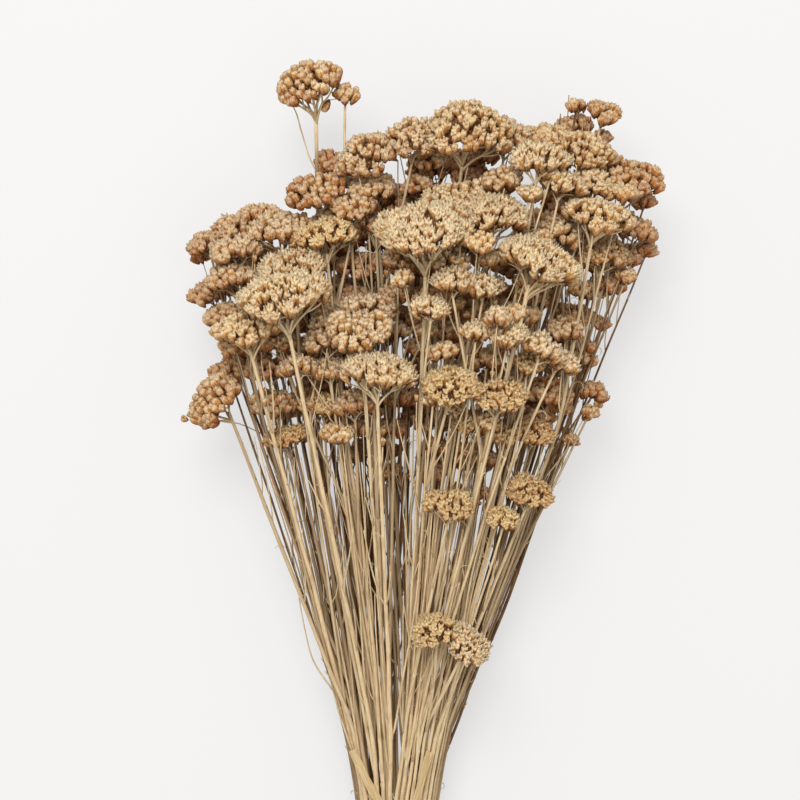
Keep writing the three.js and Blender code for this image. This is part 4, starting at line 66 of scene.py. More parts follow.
[[[-22.61,-266.7,8.83,1.18],[-23.25,-251.97,9.84,1.17],[-24.14,-226.97,11.85,1.16],[-24.97,-201.97,14.18,1.14],[-25.95,-176.97,16.51,1.12],[-27.17,-151.97,19.05,1.1],[-28.49,-126.97,21.6,1.07],[-29.94,-101.97,24.15,1.05],[-31.54,-76.97,26.62,1.02],[-33.3,-51.97,28.97,0.99],[-34.22,-26.97,30.38,0.95],[-34.09,-1.97,30.91,0.92],[-34.04,33.93,31.51,0.86]],[[-27.33,-148.94,19.36,0.95],[-24.71,-120.46,25.8,0.91],[-22.14,-91.99,32.21,0.87],[-21.75,-63.52,38.56,0.82],[-22.48,-35.05,44.85,0.78],[-23.2,-6.57,51.09,0.74],[-23.94,21.9,57.3,0.7]],[[-27.47,-146.3,19.63,0.92],[-27.15,-119.97,25.15,0.89],[-27.17,-93.63,30.77,0.86],[-27.58,-67.29,36.5,0.82],[-27.81,-40.96,42.33,0.79],[-28.08,-14.62,48.15,0.75],[-28.37,11.72,53.91,0.72],[-28.7,38.05,59.62,0.68],[-29.06,64.39,65.26,0.65]]],
[[[-24.71,-269.58,31.4,1.46],[-24.68,-251.97,32.74,1.44],[-24.33,-226.97,35.18,1.42],[-23.77,-201.97,38.51,1.39],[-23.56,-176.97,43.06,1.36],[-23.1,-151.97,47.86,1.33],[-22.8,-126.97,52.54,1.29],[-22.48,-101.97,57.23,1.27],[-22.11,-76.97,61.91,1.22],[-21.68,-51.97,66.58,1.17],[-21.18,-26.97,71.21,1.12],[-20.61,-1.97,75.8,1.07],[-19.95,23.03,80.33,1.01],[-19.24,48.03,84.8,0.96],[-18.47,73.03,89.2,0.9],[-17.79,98.03,93.51,0.84],[-17.15,123.03,97.75,0.77],[-16.62,150.16,102.34,0.7]],[[-18.24,81.44,90.65,0.75],[-8.96,114.29,85.29,0.7],[-1.25,147.14,79.44,0.65]],[[-18.46,73.59,89.3,0.77],[-5.24,102.66,86.61,0.73],[9.59,131.72,83.91,0.69],[26.19,160.79,81.23,0.65]],[[-18.28,80.08,90.42,0.76],[-18.46,105.55,92.11,0.7],[-18.6,131.02,93.05,0.64]]],
[[[-26.51,-261.85,7.78,1.11],[-26.44,-251.97,8.3,1.11],[-26.27,-226.97,9.81,1.11],[-25.97,-201.97,11.56,1.11],[-25.55,-176.97,13.58,1.11],[-25.05,-151.97,15.83,1.11],[-24.5,-126.97,18.1,1.1],[-23.92,-101.97,20.39,1.12],[-23.31,-76.97,22.67,1.12],[-22.68,-51.97,24.94,1.12],[-22.03,-26.97,27.22,1.11],[-21.39,-1.97,29.49,1.11],[-20.8,23.03,31.75,1.11],[-20.52,48.03,33.91,1.11],[-20.85,73.03,35.84,1.11],[-20.44,98.03,35.65,1.1],[-18.9,123.03,32.32,1.1],[-17.51,148.03,27.8,1.1],[-16.23,173.35,23.25,1.1]],[[-20.6,88.02,35.72,0.95],[-6.3,109.08,30.6,0.97],[8.89,130.14,22.63,1]]],
[[[-14.59,-270.23,17.18,1.11],[-14.37,-251.97,17.91,1.1],[-14.07,-226.97,18.89,1.1],[-13.77,-201.97,19.82,1.09],[-13.47,-176.97,20.69,1.09],[-13.16,-151.97,21.47,1.08],[-12.86,-126.97,22.13,1.07],[-12.55,-101.97,22.68,1.08],[-12.24,-76.97,23.09,1.07],[-11.93,-51.97,23.37,1.06],[-11.59,-26.97,23.52,1.05],[-11.23,-1.97,23.56,1.04],[-10.84,23.03,23.5,1.03],[-10.39,48.03,22.42,1.02],[-9.78,77.37,21.28,1.01]],[[-12.73,-116.7,22.36,0.93],[-7.27,-87.35,24.28,0.91],[-2.21,-58.01,25.58,0.89],[2.05,-28.67,26.08,0.86],[5.53,0.67,26.19,0.84],[8.98,30.02,26.13,0.82]]],
[[[-18.58,-269.94,25.16,1.4],[-17.75,-251.97,28.25,1.38],[-16.59,-226.97,32.5,1.33],[-15.16,-201.97,36.25,1.28],[-13.37,-176.97,40.75,1.21],[-11.3,-151.97,45.33,1.14],[-9.21,-126.97,49.83,1.06],[-7.09,-101.97,54.33,0.99],[-4.92,-76.97,58.81,0.9],[-2.71,-51.97,63.28,0.8],[-0.56,-28.01,67.54,0.69]]],
[[[-16.78,-266.43,37.13,1.37],[-16.69,-251.97,37.22,1.37],[-16.85,-226.97,37.15,1.36],[-14.99,-201.97,39.43,1.35],[-13.66,-176.97,43.87,1.35],[-11.76,-151.97,49.87,1.34],[-9.69,-126.97,56.66,1.33],[-8.92,-101.97,63.93,1.34],[-8.23,-76.97,71,1.33],[-7.5,-51.97,78.01,1.32],[-6.72,-26.97,84.96,1.31],[-5.92,-1.97,91.82,1.29],[-5.1,23.03,98.6,1.28],[-4.28,48.03,105.29,1.27],[-3.46,73.03,111.89,1.25],[-2.64,98.03,118.4,1.24],[-1.82,123.03,124.85,1.22],[-0.86,152.8,132.5,1.21]],[[-12.45,-161.04,47.69,0.98],[-11.99,-132.97,56.41,0.95],[-11.25,-104.89,66.01,0.92],[-10.14,-76.82,75.83,0.9],[-8.95,-48.75,85.65,0.87],[-7.7,-20.68,95.44,0.84],[-6.36,7.39,105.17,0.81],[-4.93,35.47,114.86,0.78],[-3.41,63.54,124.52,0.75],[-1.07,91.61,134.66,0.72],[1.94,119.68,145.11,0.69]]],
[[[-24.39,-270.77,18.53,1.64],[-24.46,-251.97,20.22,1.63],[-24.57,-226.97,22.46,1.61],[-24.69,-201.97,24.68,1.59],[-24.82,-176.97,26.86,1.57],[-24.98,-151.97,29,1.54],[-25.16,-126.97,31.08,1.51],[-25.38,-101.97,33.1,1.5],[-24.69,-76.97,34.99,1.46],[-23.01,-51.97,36.88,1.43],[-21.15,-26.97,38.73,1.39],[-19.16,-1.97,40.47,1.35],[-17.05,23.03,42.09,1.31],[-14.81,48.03,43.58,1.26],[-12.05,73.03,45.15,1.21],[-8.31,98.03,47.04,1.17],[-4.47,123.03,48.86,1.12],[-0.55,148.03,50.61,1.07],[3.42,173.03,52.31,1.01],[8.78,206.57,54.57,0.94]],[[-25.07,-140.08,29.99,1.02],[-22.78,-112.37,32.97,0.99],[-20.63,-84.66,36.3,0.97],[-19.02,-56.96,39.6,0.94],[-18.03,-29.25,42.45,0.92],[-16.97,-1.54,45.24,0.89],[-15.86,26.17,47.95,0.87],[-14.68,53.88,50.56,0.84],[-12.71,81.59,53.02,0.82],[-9.93,109.3,55.35,0.79],[-7.09,137.01,57.59,0.77],[-4.05,164.72,60.2,0.74],[-0.97,192.43,62.82,0.72]],[[-25.12,-132.64,30.61,1.01],[-23.19,-106.23,35.57,0.99],[-21.12,-79.83,39.94,0.97],[-18.98,-53.42,43.87,0.94],[-16.9,-27.02,47.7,0.92],[-14.88,-0.62,51.42,0.9],[-12.94,25.79,55.05,0.87],[-11.73,52.19,58.73,0.85],[-10.03,78.6,61.89,0.83],[-7.85,105,64.67,0.8],[-5.54,131.4,67.68,0.78],[-3.16,157.81,70.76,0.76],[-0.75,184.21,73.93,0.74],[1.68,210.62,77.1,0.71]],[[-7.35,104.26,47.5,0.98],[-6.34,134.43,58.43,0.88],[-5.44,164.6,68.82,0.79],[-4.54,194.77,79.02,0.69]]],
[[[-11.58,-269.62,17.5,1.47],[-10.89,-251.97,20.23,1.45],[-9.9,-226.97,24.12,1.43],[-8.86,-201.97,28.05,1.4],[-7.77,-176.97,32.04,1.36],[-6.6,-151.97,36.11,1.32],[-5.34,-126.97,40.26,1.27],[-3.97,-101.97,44.5,1.24],[-2.48,-76.97,48.8,1.19],[-0.84,-51.97,53.15,1.13],[0.95,-26.97,57.52,1.07],[2.84,-1.97,62.28,1.01],[4.87,23.03,67.31,0.95],[7.06,48.03,72.35,0.88],[9.43,73.03,77.44,0.81],[13.02,108.79,84.8,0.71]],[[7.36,51.15,72.99,0.75],[1.84,75.26,73.15,0.7],[-3.62,99.37,73.36,0.65]],[[8.26,60.67,74.93,0.73],[14.22,88.57,77.09,0.68],[20.26,116.48,79.28,0.63]],[[-6.92,-158.67,35.02,0.89],[-8.28,-131.79,39.54,0.86],[-9.56,-104.91,44.14,0.84],[-10.76,-78.04,48.8,0.81],[-11.89,-51.16,53.49,0.78],[-12.97,-24.28,58.2,0.76],[-14.01,2.59,62.91,0.73],[-15.03,29.47,67.61,0.7],[-16.05,56.35,72.27,0.68],[-17.08,83.23,76.91,0.65],[-18.15,110.1,81.5,0.63]]],
[[[-9.04,-262.75,22.89,1.4],[-8.43,-251.97,24.11,1.39],[-7,-226.97,26.95,1.37],[-5.52,-201.97,29.8,1.35],[-3.99,-176.97,32.65,1.33],[-2.37,-151.97,35.51,1.3],[-0.65,-126.97,38.37,1.27],[0.99,-101.97,41.19,1.25],[2.29,-76.97,43.91,1.22],[3.69,-51.97,46.63,1.18],[5.24,-26.97,49.04,1.14],[6.88,-1.97,51.34,1.09],[8.5,23.03,53.63,1.05],[10.05,48.03,55.93,1],[11.48,73.03,58.25,0.95],[12.88,100.61,60.84,0.89]],[[-1.72,-142.5,36.59,1.12],[-2.16,-114.6,39.39,1.08],[-2.04,-86.7,42.1,1.03],[-1.76,-58.8,44.4,0.99],[-1.31,-30.9,46.35,0.94],[-0.76,-3.01,48.33,0.9],[-0.1,24.89,50.35,0.85],[0.65,52.79,52.39,0.81]]],
[[[-17.73,-270.86,40.08,1.39],[-17.87,-251.97,40.7,1.37],[-18.08,-226.97,41.52,1.34],[-18.82,-201.97,42.33,1.31],[-18.53,-176.97,47.01,1.27],[-15.39,-151.97,53.47,1.22],[-12.84,-126.97,60.9,1.18],[-8.88,-101.97,71.33,1.14],[-3.87,-76.97,80.94,1.08],[1.11,-51.97,90.57,1.02],[6.14,-26.97,100.32,0.96],[12.32,3,112.11,0.87]]],
[[[-14.69,-263.3,39.6,1.23],[-14.71,-251.97,40.21,1.23],[-14.7,-226.97,41.51,1.22],[-15.98,-201.97,42.43,1.2],[-15.26,-176.97,47.06,1.19],[-12.38,-151.97,53.27,1.17],[-9.79,-126.97,60.54,1.14],[-7.65,-101.97,67.82,1.14],[-6.49,-76.97,76.13,1.11],[-5.28,-51.97,84.77,1.08],[-3.9,-26.97,93.48,1.06],[-2.14,-1.97,102.34,1.02],[0.14,23.03,111.39,0.99],[6.2,48.03,122.17,0.96],[12.06,71.84,132.45,0.93]],[[-11.84,-146.73,54.79,1.01],[-6.57,-118.47,60.99,0.98],[-1.57,-90.2,67,0.94],[3.99,-61.93,73.33,0.9],[10.21,-33.66,80.07,0.86],[16.37,-5.39,86.69,0.82],[22.48,22.87,93.17,0.78],[28.57,51.14,99.49,0.75]],[[-8.48,-111.64,65,0.88],[-7.27,-85.66,75.2,0.84],[-5.99,-59.68,85.14,0.8],[-4.58,-33.7,94.84,0.77],[-3.01,-7.72,104.59,0.73],[-1.23,18.26,114.37,0.69],[0.9,44.25,124.23,0.65],[3.18,70.23,134.12,0.62]],[[-13.12,-158.42,51.67,0.88],[-7.97,-130.41,59.37,0.84],[-4.37,-102.41,67.37,0.81],[-1.48,-74.41,75.32,0.78],[1.42,-46.4,83.32,0.75],[4.36,-18.4,91.39,0.71],[7.37,9.61,99.61,0.68],[10.63,37.61,108.51,0.65],[14.08,65.62,118.02,0.62]]],
[[[-7.85,-261.57,39.05,1.09],[-7.66,-251.97,39.28,1.09],[-6.83,-226.97,39.75,1.06],[-8.06,-201.97,41,1.03],[-6.42,-176.97,45.42,1],[-2.93,-151.97,51.01,0.96],[0.31,-126.97,57.85,0.92],[10.96,-101.97,76.48,0.88],[20.58,-79.38,93.3,0.83]],[[0.03,-129.13,57.26,0.8],[4.03,-99.95,77.26,0.78],[6.28,-70.77,96.36,0.75]]],
[[[-13.6,-263.18,36.84,1.2],[-13.41,-251.97,37.18,1.2],[-12.88,-226.97,37.3,1.2],[-13.26,-201.97,42.09,1.2],[-12.15,-176.97,46.7,1.19],[-8.63,-151.97,51.09,1.19],[-5.27,-126.97,55.62,1.19],[1.07,-101.97,62.9,1.2],[7.08,-76.97,70.35,1.2],[12.97,-51.97,77.73,1.2],[18.88,-26.97,85,1.19],[24.86,-1.97,92.17,1.19],[30.91,23.03,99.23,1.19],[37.03,48.03,105.95,1.18],[43.18,73.03,112.43,1.18],[49.33,98.03,118.9,1.17],[55.02,123.03,126.15,1.17],[58.16,139.28,131.78,1.16]],[[33.46,33.45,102.03,1.02],[28.6,58.83,113.73,0.95],[23.75,84.21,120.03,0.88],[18.96,109.59,126.22,0.81],[14.2,134.98,132.35,0.74]],[[-5.6,-129.38,55.18,1.02],[-1.1,-103.21,63.56,0.99],[2.79,-77.04,71.65,0.96],[5.94,-50.86,79.28,0.93],[9.08,-24.69,86.8,0.9],[12.26,1.48,94.18,0.87],[15.51,27.66,101.44,0.84],[18.84,53.83,108.58,0.81],[22.93,80,114.83,0.78],[27.55,106.18,120.5,0.75],[32.21,132.35,126.12,0.72]],[[-8.1,-148.05,51.8,0.99],[-6.29,-121.08,57.78,0.97],[-4.52,-94.11,64.26,0.94],[-2.76,-67.13,70.95,0.91],[-0.99,-40.16,77.57,0.89],[0.81,-13.19,84.13,0.86],[2.64,13.78,90.62,0.83],[4.51,40.76,97.05,0.81],[6.39,67.73,103.41,0.78],[8.29,94.7,109.71,0.75],[10.2,121.67,115.97,0.73],[12.11,148.64,122.21,0.7]]],
[[[-13.86,-265.05,29.51,1.5],[-12.8,-251.97,31.22,1.49],[-11.11,-226.97,34.32,1.47],[-9.06,-201.97,37.68,1.43],[-6.13,-176.97,41.8,1.39],[-2.21,-151.97,46.94,1.34],[1.46,-126.97,51.89,1.29],[5.2,-101.97,56.84,1.26],[9.05,-76.97,61.76,1.2],[13,-51.97,66.62,1.13],[17.07,-26.97,71.4,1.06],[21.25,-1.97,76.07,0.99],[25.52,23.03,80.59,0.92],[29.86,48.03,84.9,0.84],[33.51,73.03,91.58,0.76],[35.23,91.33,99.62,0.7]],[[22.38,4.64,77.27,0.84],[22.59,33.13,82.16,0.76],[22.87,61.61,86.89,0.69],[23.17,90.1,91.43,0.62]]],
[[[-20.73,-265.73,30.65,1.21],[-20.27,-251.97,32.5,1.2],[-19.72,-226.97,35.81,1.2],[-18.15,-201.97,39.32,1.19],[-16.76,-176.97,44.21,1.19],[-14.8,-151.97,49.32,1.18],[-12.25,-126.97,54.67,1.17],[-9.19,-101.97,60.45,1.18],[-6.02,-76.97,66.18,1.17],[-2.26,-51.97,71.59,1.17],[1.6,-26.97,76.96,1.16],[5.57,-1.97,82.11,1.15],[9.68,23.03,87.13,1.13],[13.96,48.03,92.08,1.12],[18.39,73.03,96.98,1.11],[22.99,98.03,101.78,1.1],[27.73,123.03,106.49,1.09],[32.54,148.03,111.17,1.07],[36.7,169.49,115.19,1.06]],[[-12.58,-130.18,53.98,1.03],[-11.31,-104.27,59,1.01],[-10.11,-78.36,64.03,0.99],[-8.9,-52.45,69.06,0.98],[-7.65,-26.53,74.08,0.96],[-5.54,-0.62,78.35,0.94],[-3.06,25.29,82.3,0.93],[-0.55,51.2,86.21,0.91],[1.97,77.12,90.09,0.89],[4.48,103.03,93.93,0.88],[6.99,128.94,97.74,0.86],[9.49,154.85,101.52,0.84],[11.99,180.77,105.29,0.83]],[[-11.78,-123.13,55.56,1.02],[-6.58,-96.62,60.7,1],[-2.01,-70.1,66.12,0.97],[2.19,-43.59,71.71,0.95],[6.39,-17.07,77.21,0.92],[10.49,9.44,82.54,0.9],[14.59,35.96,87.81,0.87],[18.64,62.47,92.99,0.85],[22.69,88.99,98.06,0.82],[26.85,115.5,102.45,0.8],[32.19,142.02,106.25,0.77],[38,168.53,108.93,0.75],[44.54,195.05,110.1,0.72]]],
[[[-18.77,-265.56,16.48,1.31],[-18.07,-251.97,18.42,1.31],[-16.76,-226.97,22,1.3],[-15.41,-201.97,25.6,1.3],[-14.02,-176.97,29.24,1.29],[-12.56,-151.97,32.92,1.28],[-11.01,-126.97,36.66,1.28],[-9.38,-101.97,40.46,1.29],[-7.65,-76.97,44.31,1.28],[-5.83,-51.97,48.22,1.27],[-3.93,-26.97,52.19,1.26],[-1.96,-1.97,56.24,1.25],[0.06,23.03,60.36,1.24],[2.13,48.03,64.58,1.23],[4.22,73.03,68.94,1.22],[6.31,98.03,73.5,1.21],[9.02,123.03,76.17,1.19],[12.46,148.03,79.44,1.18],[15.89,173.03,82.83,1.17],[19.33,198.03,86.33,1.15],[22.36,219.76,89.46,1.14]],[[-12.78,-155.78,32.36,1.12],[-8.34,-128.78,35.1,1.1],[-3.83,-101.77,37.89,1.08],[0.66,-74.76,40.88,1.07],[5.1,-47.75,44.57,1.05],[9.45,-20.75,48.52,1.03],[13.79,6.26,52.43,1.01],[18.1,33.27,56.27,0.99],[22.36,60.28,60.02,0.97],[26.57,87.28,63.69,0.95],[30.73,114.29,67.27,0.93],[34.82,141.3,70.77,0.92],[38.87,168.31,74.2,0.9],[42.88,195.31,77.6,0.88],[46.88,222.32,80.97,0.86]],[[-9.97,-111.01,39.08,1.05],[-6.9,-84.87,39.6,1.02],[-3.73,-58.74,40.15,1],[-0.48,-32.6,40.7,0.97],[2.86,-6.47,41.22,0.95],[6.28,19.67,41.71,0.92],[9.79,45.81,42.14,0.89],[12.93,71.94,42.91,0.87],[16.24,98.08,43.78,0.84],[19.7,124.22,46.38,0.82],[22.24,150.35,51.92,0.79],[24.8,176.49,57.54,0.76],[27.35,202.62,63.2,0.74]],[[-11.46,-134.26,35.57,0.98],[-7.26,-107.44,37.84,0.96],[-2.85,-80.62,40.13,0.94],[1.67,-53.8,42.62,0.92],[6.19,-26.98,45.36,0.89],[10.74,-0.16,48.08,0.87],[15.28,26.66,50.75,0.85],[19.76,53.48,53.36,0.83],[24.15,80.3,55.89,0.81],[28.38,107.12,58.33,0.78],[30.17,133.94,60.95,0.76],[31.53,160.76,63.52,0.74],[32.71,187.58,66.04,0.72],[33.81,214.4,68.53,0.69]]],
[[[0.98,-263.18,28.33,1.09],[1.23,-251.97,29.78,1.08],[1.75,-226.97,33.06,1.07],[1.37,-201.97,34.45,1.05],[3.96,-176.97,38.23,1.03],[7.73,-151.97,42.34,1.01],[11.08,-126.97,46.17,0.99],[14.39,-101.97,49.85,0.97],[17.57,-76.97,53.79,0.95],[20.51,-51.97,57.52,0.91],[23.36,-26.97,60.75,0.88],[26.25,-1.97,63.89,0.85],[30.16,31.86,68.02,0.8]],[[12.25,-118.08,47.48,0.85],[17.17,-90.67,55,0.82],[22.12,-63.26,62.49,0.79],[27.17,-35.86,70.02,0.76],[32.85,-8.45,77.93,0.73],[38.5,18.96,85.87,0.7],[44.08,46.36,93.84,0.67]]],
[[[-14.96,-264.39,10.81,1.59],[-13.75,-251.97,11.94,1.58],[-11.3,-226.97,14.22,1.56],[-8.78,-201.97,16.48,1.53],[-6.15,-176.97,18.73,1.49],[-3.38,-151.97,20.96,1.45],[-0.45,-126.97,23.16,1.41],[2.67,-101.97,25.33,1.38],[5.99,-76.97,27.47,1.33],[9.51,-51.97,29.56,1.28],[13.21,-26.97,31.61,1.22],[17.06,-1.97,33.61,1.16],[21.04,23.03,35.57,1.1],[25.1,48.03,37.46,1.03],[28.71,70.06,39.07,0.97]],[[0.35,-120.55,23.72,1.14],[7.02,-92.03,29,1.09],[13.85,-63.5,34.24,1.05],[20.8,-34.98,39.45,1],[27.83,-6.45,44.62,0.95],[34.9,22.08,49.77,0.9],[41.96,50.6,54.9,0.85],[48.97,79.13,60.02,0.8]]],
[[[-5.34,-267.73,25.24,1.18],[-4.53,-251.97,26.98,1.17],[-3.2,-226.97,29.91,1.15],[-1.43,-201.97,33.13,1.14],[1.48,-176.97,37.06,1.11],[4.91,-151.97,42.22,1.09],[8.96,-126.97,47.93,1.06],[13.02,-101.97,54,1.05],[16.57,-76.97,59.41,1.02],[20.15,-51.97,64.48,0.98],[23.84,-26.97,69.48,0.95],[27.65,-1.97,74.4,0.91],[31.54,23.03,79.21,0.87],[35.27,48.03,83.13,0.83],[38.71,73.03,85.83,0.79],[42.21,98.03,88.42,0.74],[45.47,120.54,90.64,0.7]],[[38.34,70.36,85.54,0.68],[39.16,97.11,89.71,0.67],[39.99,123.86,93.79,0.66],[40.86,150.6,97.76,0.64]]],
[[[-10.71,-264.11,38.3,1.25],[-10.53,-251.97,39.09,1.24],[-9.85,-226.97,40.59,1.22],[-10.55,-201.97,41.59,1.2],[-9.17,-176.97,46.09,1.18],[-5.7,-151.97,51.82,1.15],[-4.21,-126.97,59.29,1.12],[0.12,-101.97,69.07,1.11],[6.14,-76.97,77.55,1.07],[12.12,-51.97,85.96,1.03],[18.11,-26.97,94.32,0.99],[24.13,-1.97,102.64,0.95],[30.17,23.03,110.95,0.91],[36.23,48.03,119.26,0.86],[40.98,67.57,125.75,0.82]],[[-3.82,-124.71,60.17,0.98],[4.56,-97.04,67.35,0.95],[12.79,-69.37,75.06,0.92],[21,-41.71,83,0.89],[29.23,-14.04,90.94,0.86],[37.72,13.62,98.97,0.83],[46.7,41.29,107.2,0.8],[55.71,68.96,115.44,0.77],[64.74,96.62,123.69,0.74]],[[-6.53,-157.92,50.45,1.01],[-2.99,-131.7,57.36,0.98],[2.96,-105.47,66.66,0.95],[8.4,-79.25,75.29,0.92],[13.87,-53.02,83.23,0.89],[19.3,-26.8,91.18,0.86],[24.69,-0.57,99.15,0.83],[30.07,25.65,107.14,0.81],[35.43,51.88,115.17,0.78],[40.77,78.1,123.25,0.75],[46.09,104.33,131.38,0.72]],[[-5.54,-149.34,52.6,0.9],[-2.28,-123.61,58.98,0.87],[1.46,-97.87,66.72,0.85],[5.24,-72.14,74.62,0.82],[8.91,-46.41,82.43,0.79],[12.48,-20.67,90.22,0.77],[15.97,5.06,98.02,0.74],[19.21,30.79,106.31,0.71],[22.19,56.53,115.13,0.69],[25.1,82.26,123.97,0.66],[27.96,107.99,132.81,0.63]]],
[[[-5.38,-268.82,32.01,1.62],[-4.62,-251.97,34.21,1.6],[-3.73,-226.97,37.64,1.56],[-3.55,-201.97,38.22,1.51],[-1.22,-176.97,42.3,1.45],[2.69,-151.97,47.39,1.38],[7.91,-126.97,52.79,1.31],[16.8,-101.97,59.77,1.25],[26.12,-76.97,66.05,1.16],[35.55,-51.97,72.34,1.07],[45.14,-26.97,78.65,0.97],[54.93,-1.97,84.99,0.87],[60.1,10.82,88.26,0.81]],[[12.32,-114.58,56.25,0.94],[20.41,-86.56,67.05,0.87],[28.56,-58.53,77.86,0.8],[36.76,-30.5,88.67,0.73],[45,-2.47,99.51,0.66]]],
[[[-13.06,-262.94,6.88,1.39],[-12.64,-251.97,7.81,1.39],[-11.68,-226.97,9.9,1.38],[-10.71,-201.97,11.99,1.37],[-9.74,-176.97,14.04,1.36],[-8.75,-151.97,16.04,1.34],[-7.78,-126.97,17.97,1.33],[-6.86,-101.97,19.82,1.33],[-6.03,-76.97,21.53,1.31],[-3.82,-51.97,24.68,1.29],[-0.97,-26.97,28.2,1.27],[2.06,-1.97,31.64,1.25],[5.09,23.03,34.97,1.23],[8.18,48.03,37.74,1.2],[11.41,73.03,39.44,1.18],[14.87,98.03,40.98,1.15],[18.49,123.03,42.4,1.12],[22.1,148.03,43.78,1.1],[26.45,178.25,45.42,1.06]],[[-7.37,-115.96,18.79,1.15],[0.17,-89.92,19.2,1.14],[7.67,-63.89,19.54,1.12],[15.13,-37.85,19.83,1.1],[22.54,-11.81,20.1,1.09],[29.9,14.22,20.37,1.07],[37.18,40.26,20.65,1.06],[44.4,66.3,20.94,1.04],[51.54,92.33,21.26,1.02],[58.62,118.37,21.6,1.01],[65.65,144.4,20.49,0.99],[72.66,170.44,19.39,0.98]]],
[[[-7.04,-263.92,16.34,1.6],[-5.78,-251.97,17.32,1.59],[-3.12,-226.97,19.38,1.57],[-0.42,-201.97,21.39,1.55],[2.63,-176.97,23.78,1.52],[5.96,-151.97,26.28,1.49],[9.7,-126.97,28.47,1.46],[13.53,-101.97,30.63,1.45],[17.47,-76.97,32.74,1.41],[21.56,-51.97,34.76,1.36],[25.78,-26.97,36.69,1.32],[30.14,-1.97,38.53,1.27],[34.6,23.03,40.26,1.23],[39.13,48.03,41.91,1.18],[43.71,73.03,43.47,1.12],[47.05,98.03,44.96,1.07],[49.59,120.94,45.96,1.02]],[[43.72,73.09,43.48,0.97],[48.36,97.91,45.3,0.93],[53.18,122.72,48.39,0.9],[57.74,147.54,51.32,0.87]]],
[[[5.64,-270.28,22.64,1.47],[5.09,-251.97,24.71,1.46],[4.48,-226.97,27.44,1.43],[3.68,-201.97,29.56,1.4],[6.45,-176.97,33.05,1.36],[10.75,-151.97,36.53,1.32],[16,-126.97,40.34,1.27],[22.98,-101.97,43.24,1.23],[29.23,-76.97,44.99,1.18],[35.34,-51.97,48.63,1.12],[41.51,-26.97,52.27,1.06],[47.73,-1.97,55.91,0.99],[54.01,23.03,59.52,0.92],[62.52,56.73,64.36,0.82]],[[39.6,-34.71,51.14,0.92],[47.8,-8.52,58.19,0.89],[56.05,17.67,65.18,0.85],[64.34,43.87,72.07,0.81],[72.66,70.06,78.83,0.77]],[[21.08,-108.76,42.45,1.07],[30.64,-83,50.42,1.02],[37.07,-57.24,57.27,0.97],[43.3,-31.48,63.86,0.92],[49.55,-5.72,70.44,0.87],[55.78,20.03,77.03,0.82],[61.94,45.79,83.65,0.77]],[[41.26,-27.98,52.12,0.91],[43.22,-1.26,59.82,0.84],[45.15,25.46,67.46,0.78],[46.79,52.17,74.15,0.71],[48.2,78.89,80.28,0.65]]],
[[[-6.52,-271.26,28.08,1.53],[-4.8,-251.97,30.31,1.52],[-2.56,-226.97,33.05,1.49],[-0.87,-201.97,36.22,1.45],[1.57,-176.97,40.19,1.41],[5.26,-151.97,45.29,1.37],[10.35,-126.97,50.53,1.32],[16.28,-101.97,55.99,1.28],[21.92,-76.97,62.11,1.22],[27.88,-51.97,68.8,1.16],[34.07,-26.97,75.76,1.09],[40.44,-1.97,82.69,1.02],[47.01,23.03,89.6,0.95],[56.57,48.03,96.72,0.88],[67.56,73.03,103.91,0.8],[75.46,90.85,109.03,0.74]],[[14.85,-108,54.67,0.91],[22.03,-79.88,63.55,0.87],[29.02,-51.77,71.73,0.83],[35.95,-23.65,79.48,0.79],[42.94,4.46,87.16,0.76],[49.98,32.58,94.73,0.72],[55.59,60.69,101.44,0.68],[58.64,88.8,106.74,0.64]]],
[[[-8.5,-268.55,33.18,1.14],[-8.21,-251.97,34.16,1.14],[-7.97,-226.97,35.29,1.13],[-6.38,-201.97,39.16,1.12],[-3.93,-176.97,44.12,1.11],[0.17,-151.97,49.3,1.1],[4.09,-126.97,54.41,1.09],[8.11,-101.97,59.46,1.1],[12.21,-76.97,64.44,1.08],[16.39,-51.97,69.36,1.07],[20.66,-26.97,74.2,1.05],[24.99,-1.97,78.93,1.04],[29.4,23.03,83.51,1.02],[33.85,48.03,87.93,1.01],[39.35,73.03,92.92,0.99],[45.52,98.03,98.26,0.97],[50.02,123.03,103.82,0.95],[54.43,148.03,109.29,0.94],[58.77,173.03,114.73,0.92],[63.98,203.52,121.38,0.89]],[[4.61,-123.74,55.06,0.95],[11.95,-97.44,59.89,0.94],[19.36,-71.14,64.7,0.92],[26.83,-44.84,69.5,0.9],[33.44,-18.54,73.8,0.89],[39.47,7.76,77.8,0.87],[45.39,34.06,81.81,0.86],[50.8,60.36,86.61,0.84],[56.04,86.66,91.93,0.83],[61.25,112.96,97.25,0.81],[66.38,139.26,102.55,0.8],[71.45,165.56,107.82,0.78],[77.26,191.86,110.86,0.76]],[[52.56,137.39,106.97,0.81],[62.08,169.2,113.15,0.71],[71.54,201,119.34,0.62]],[[52.16,135.13,106.47,0.81],[55.56,162.28,115.76,0.72],[58.93,189.44,125.01,0.62]]],
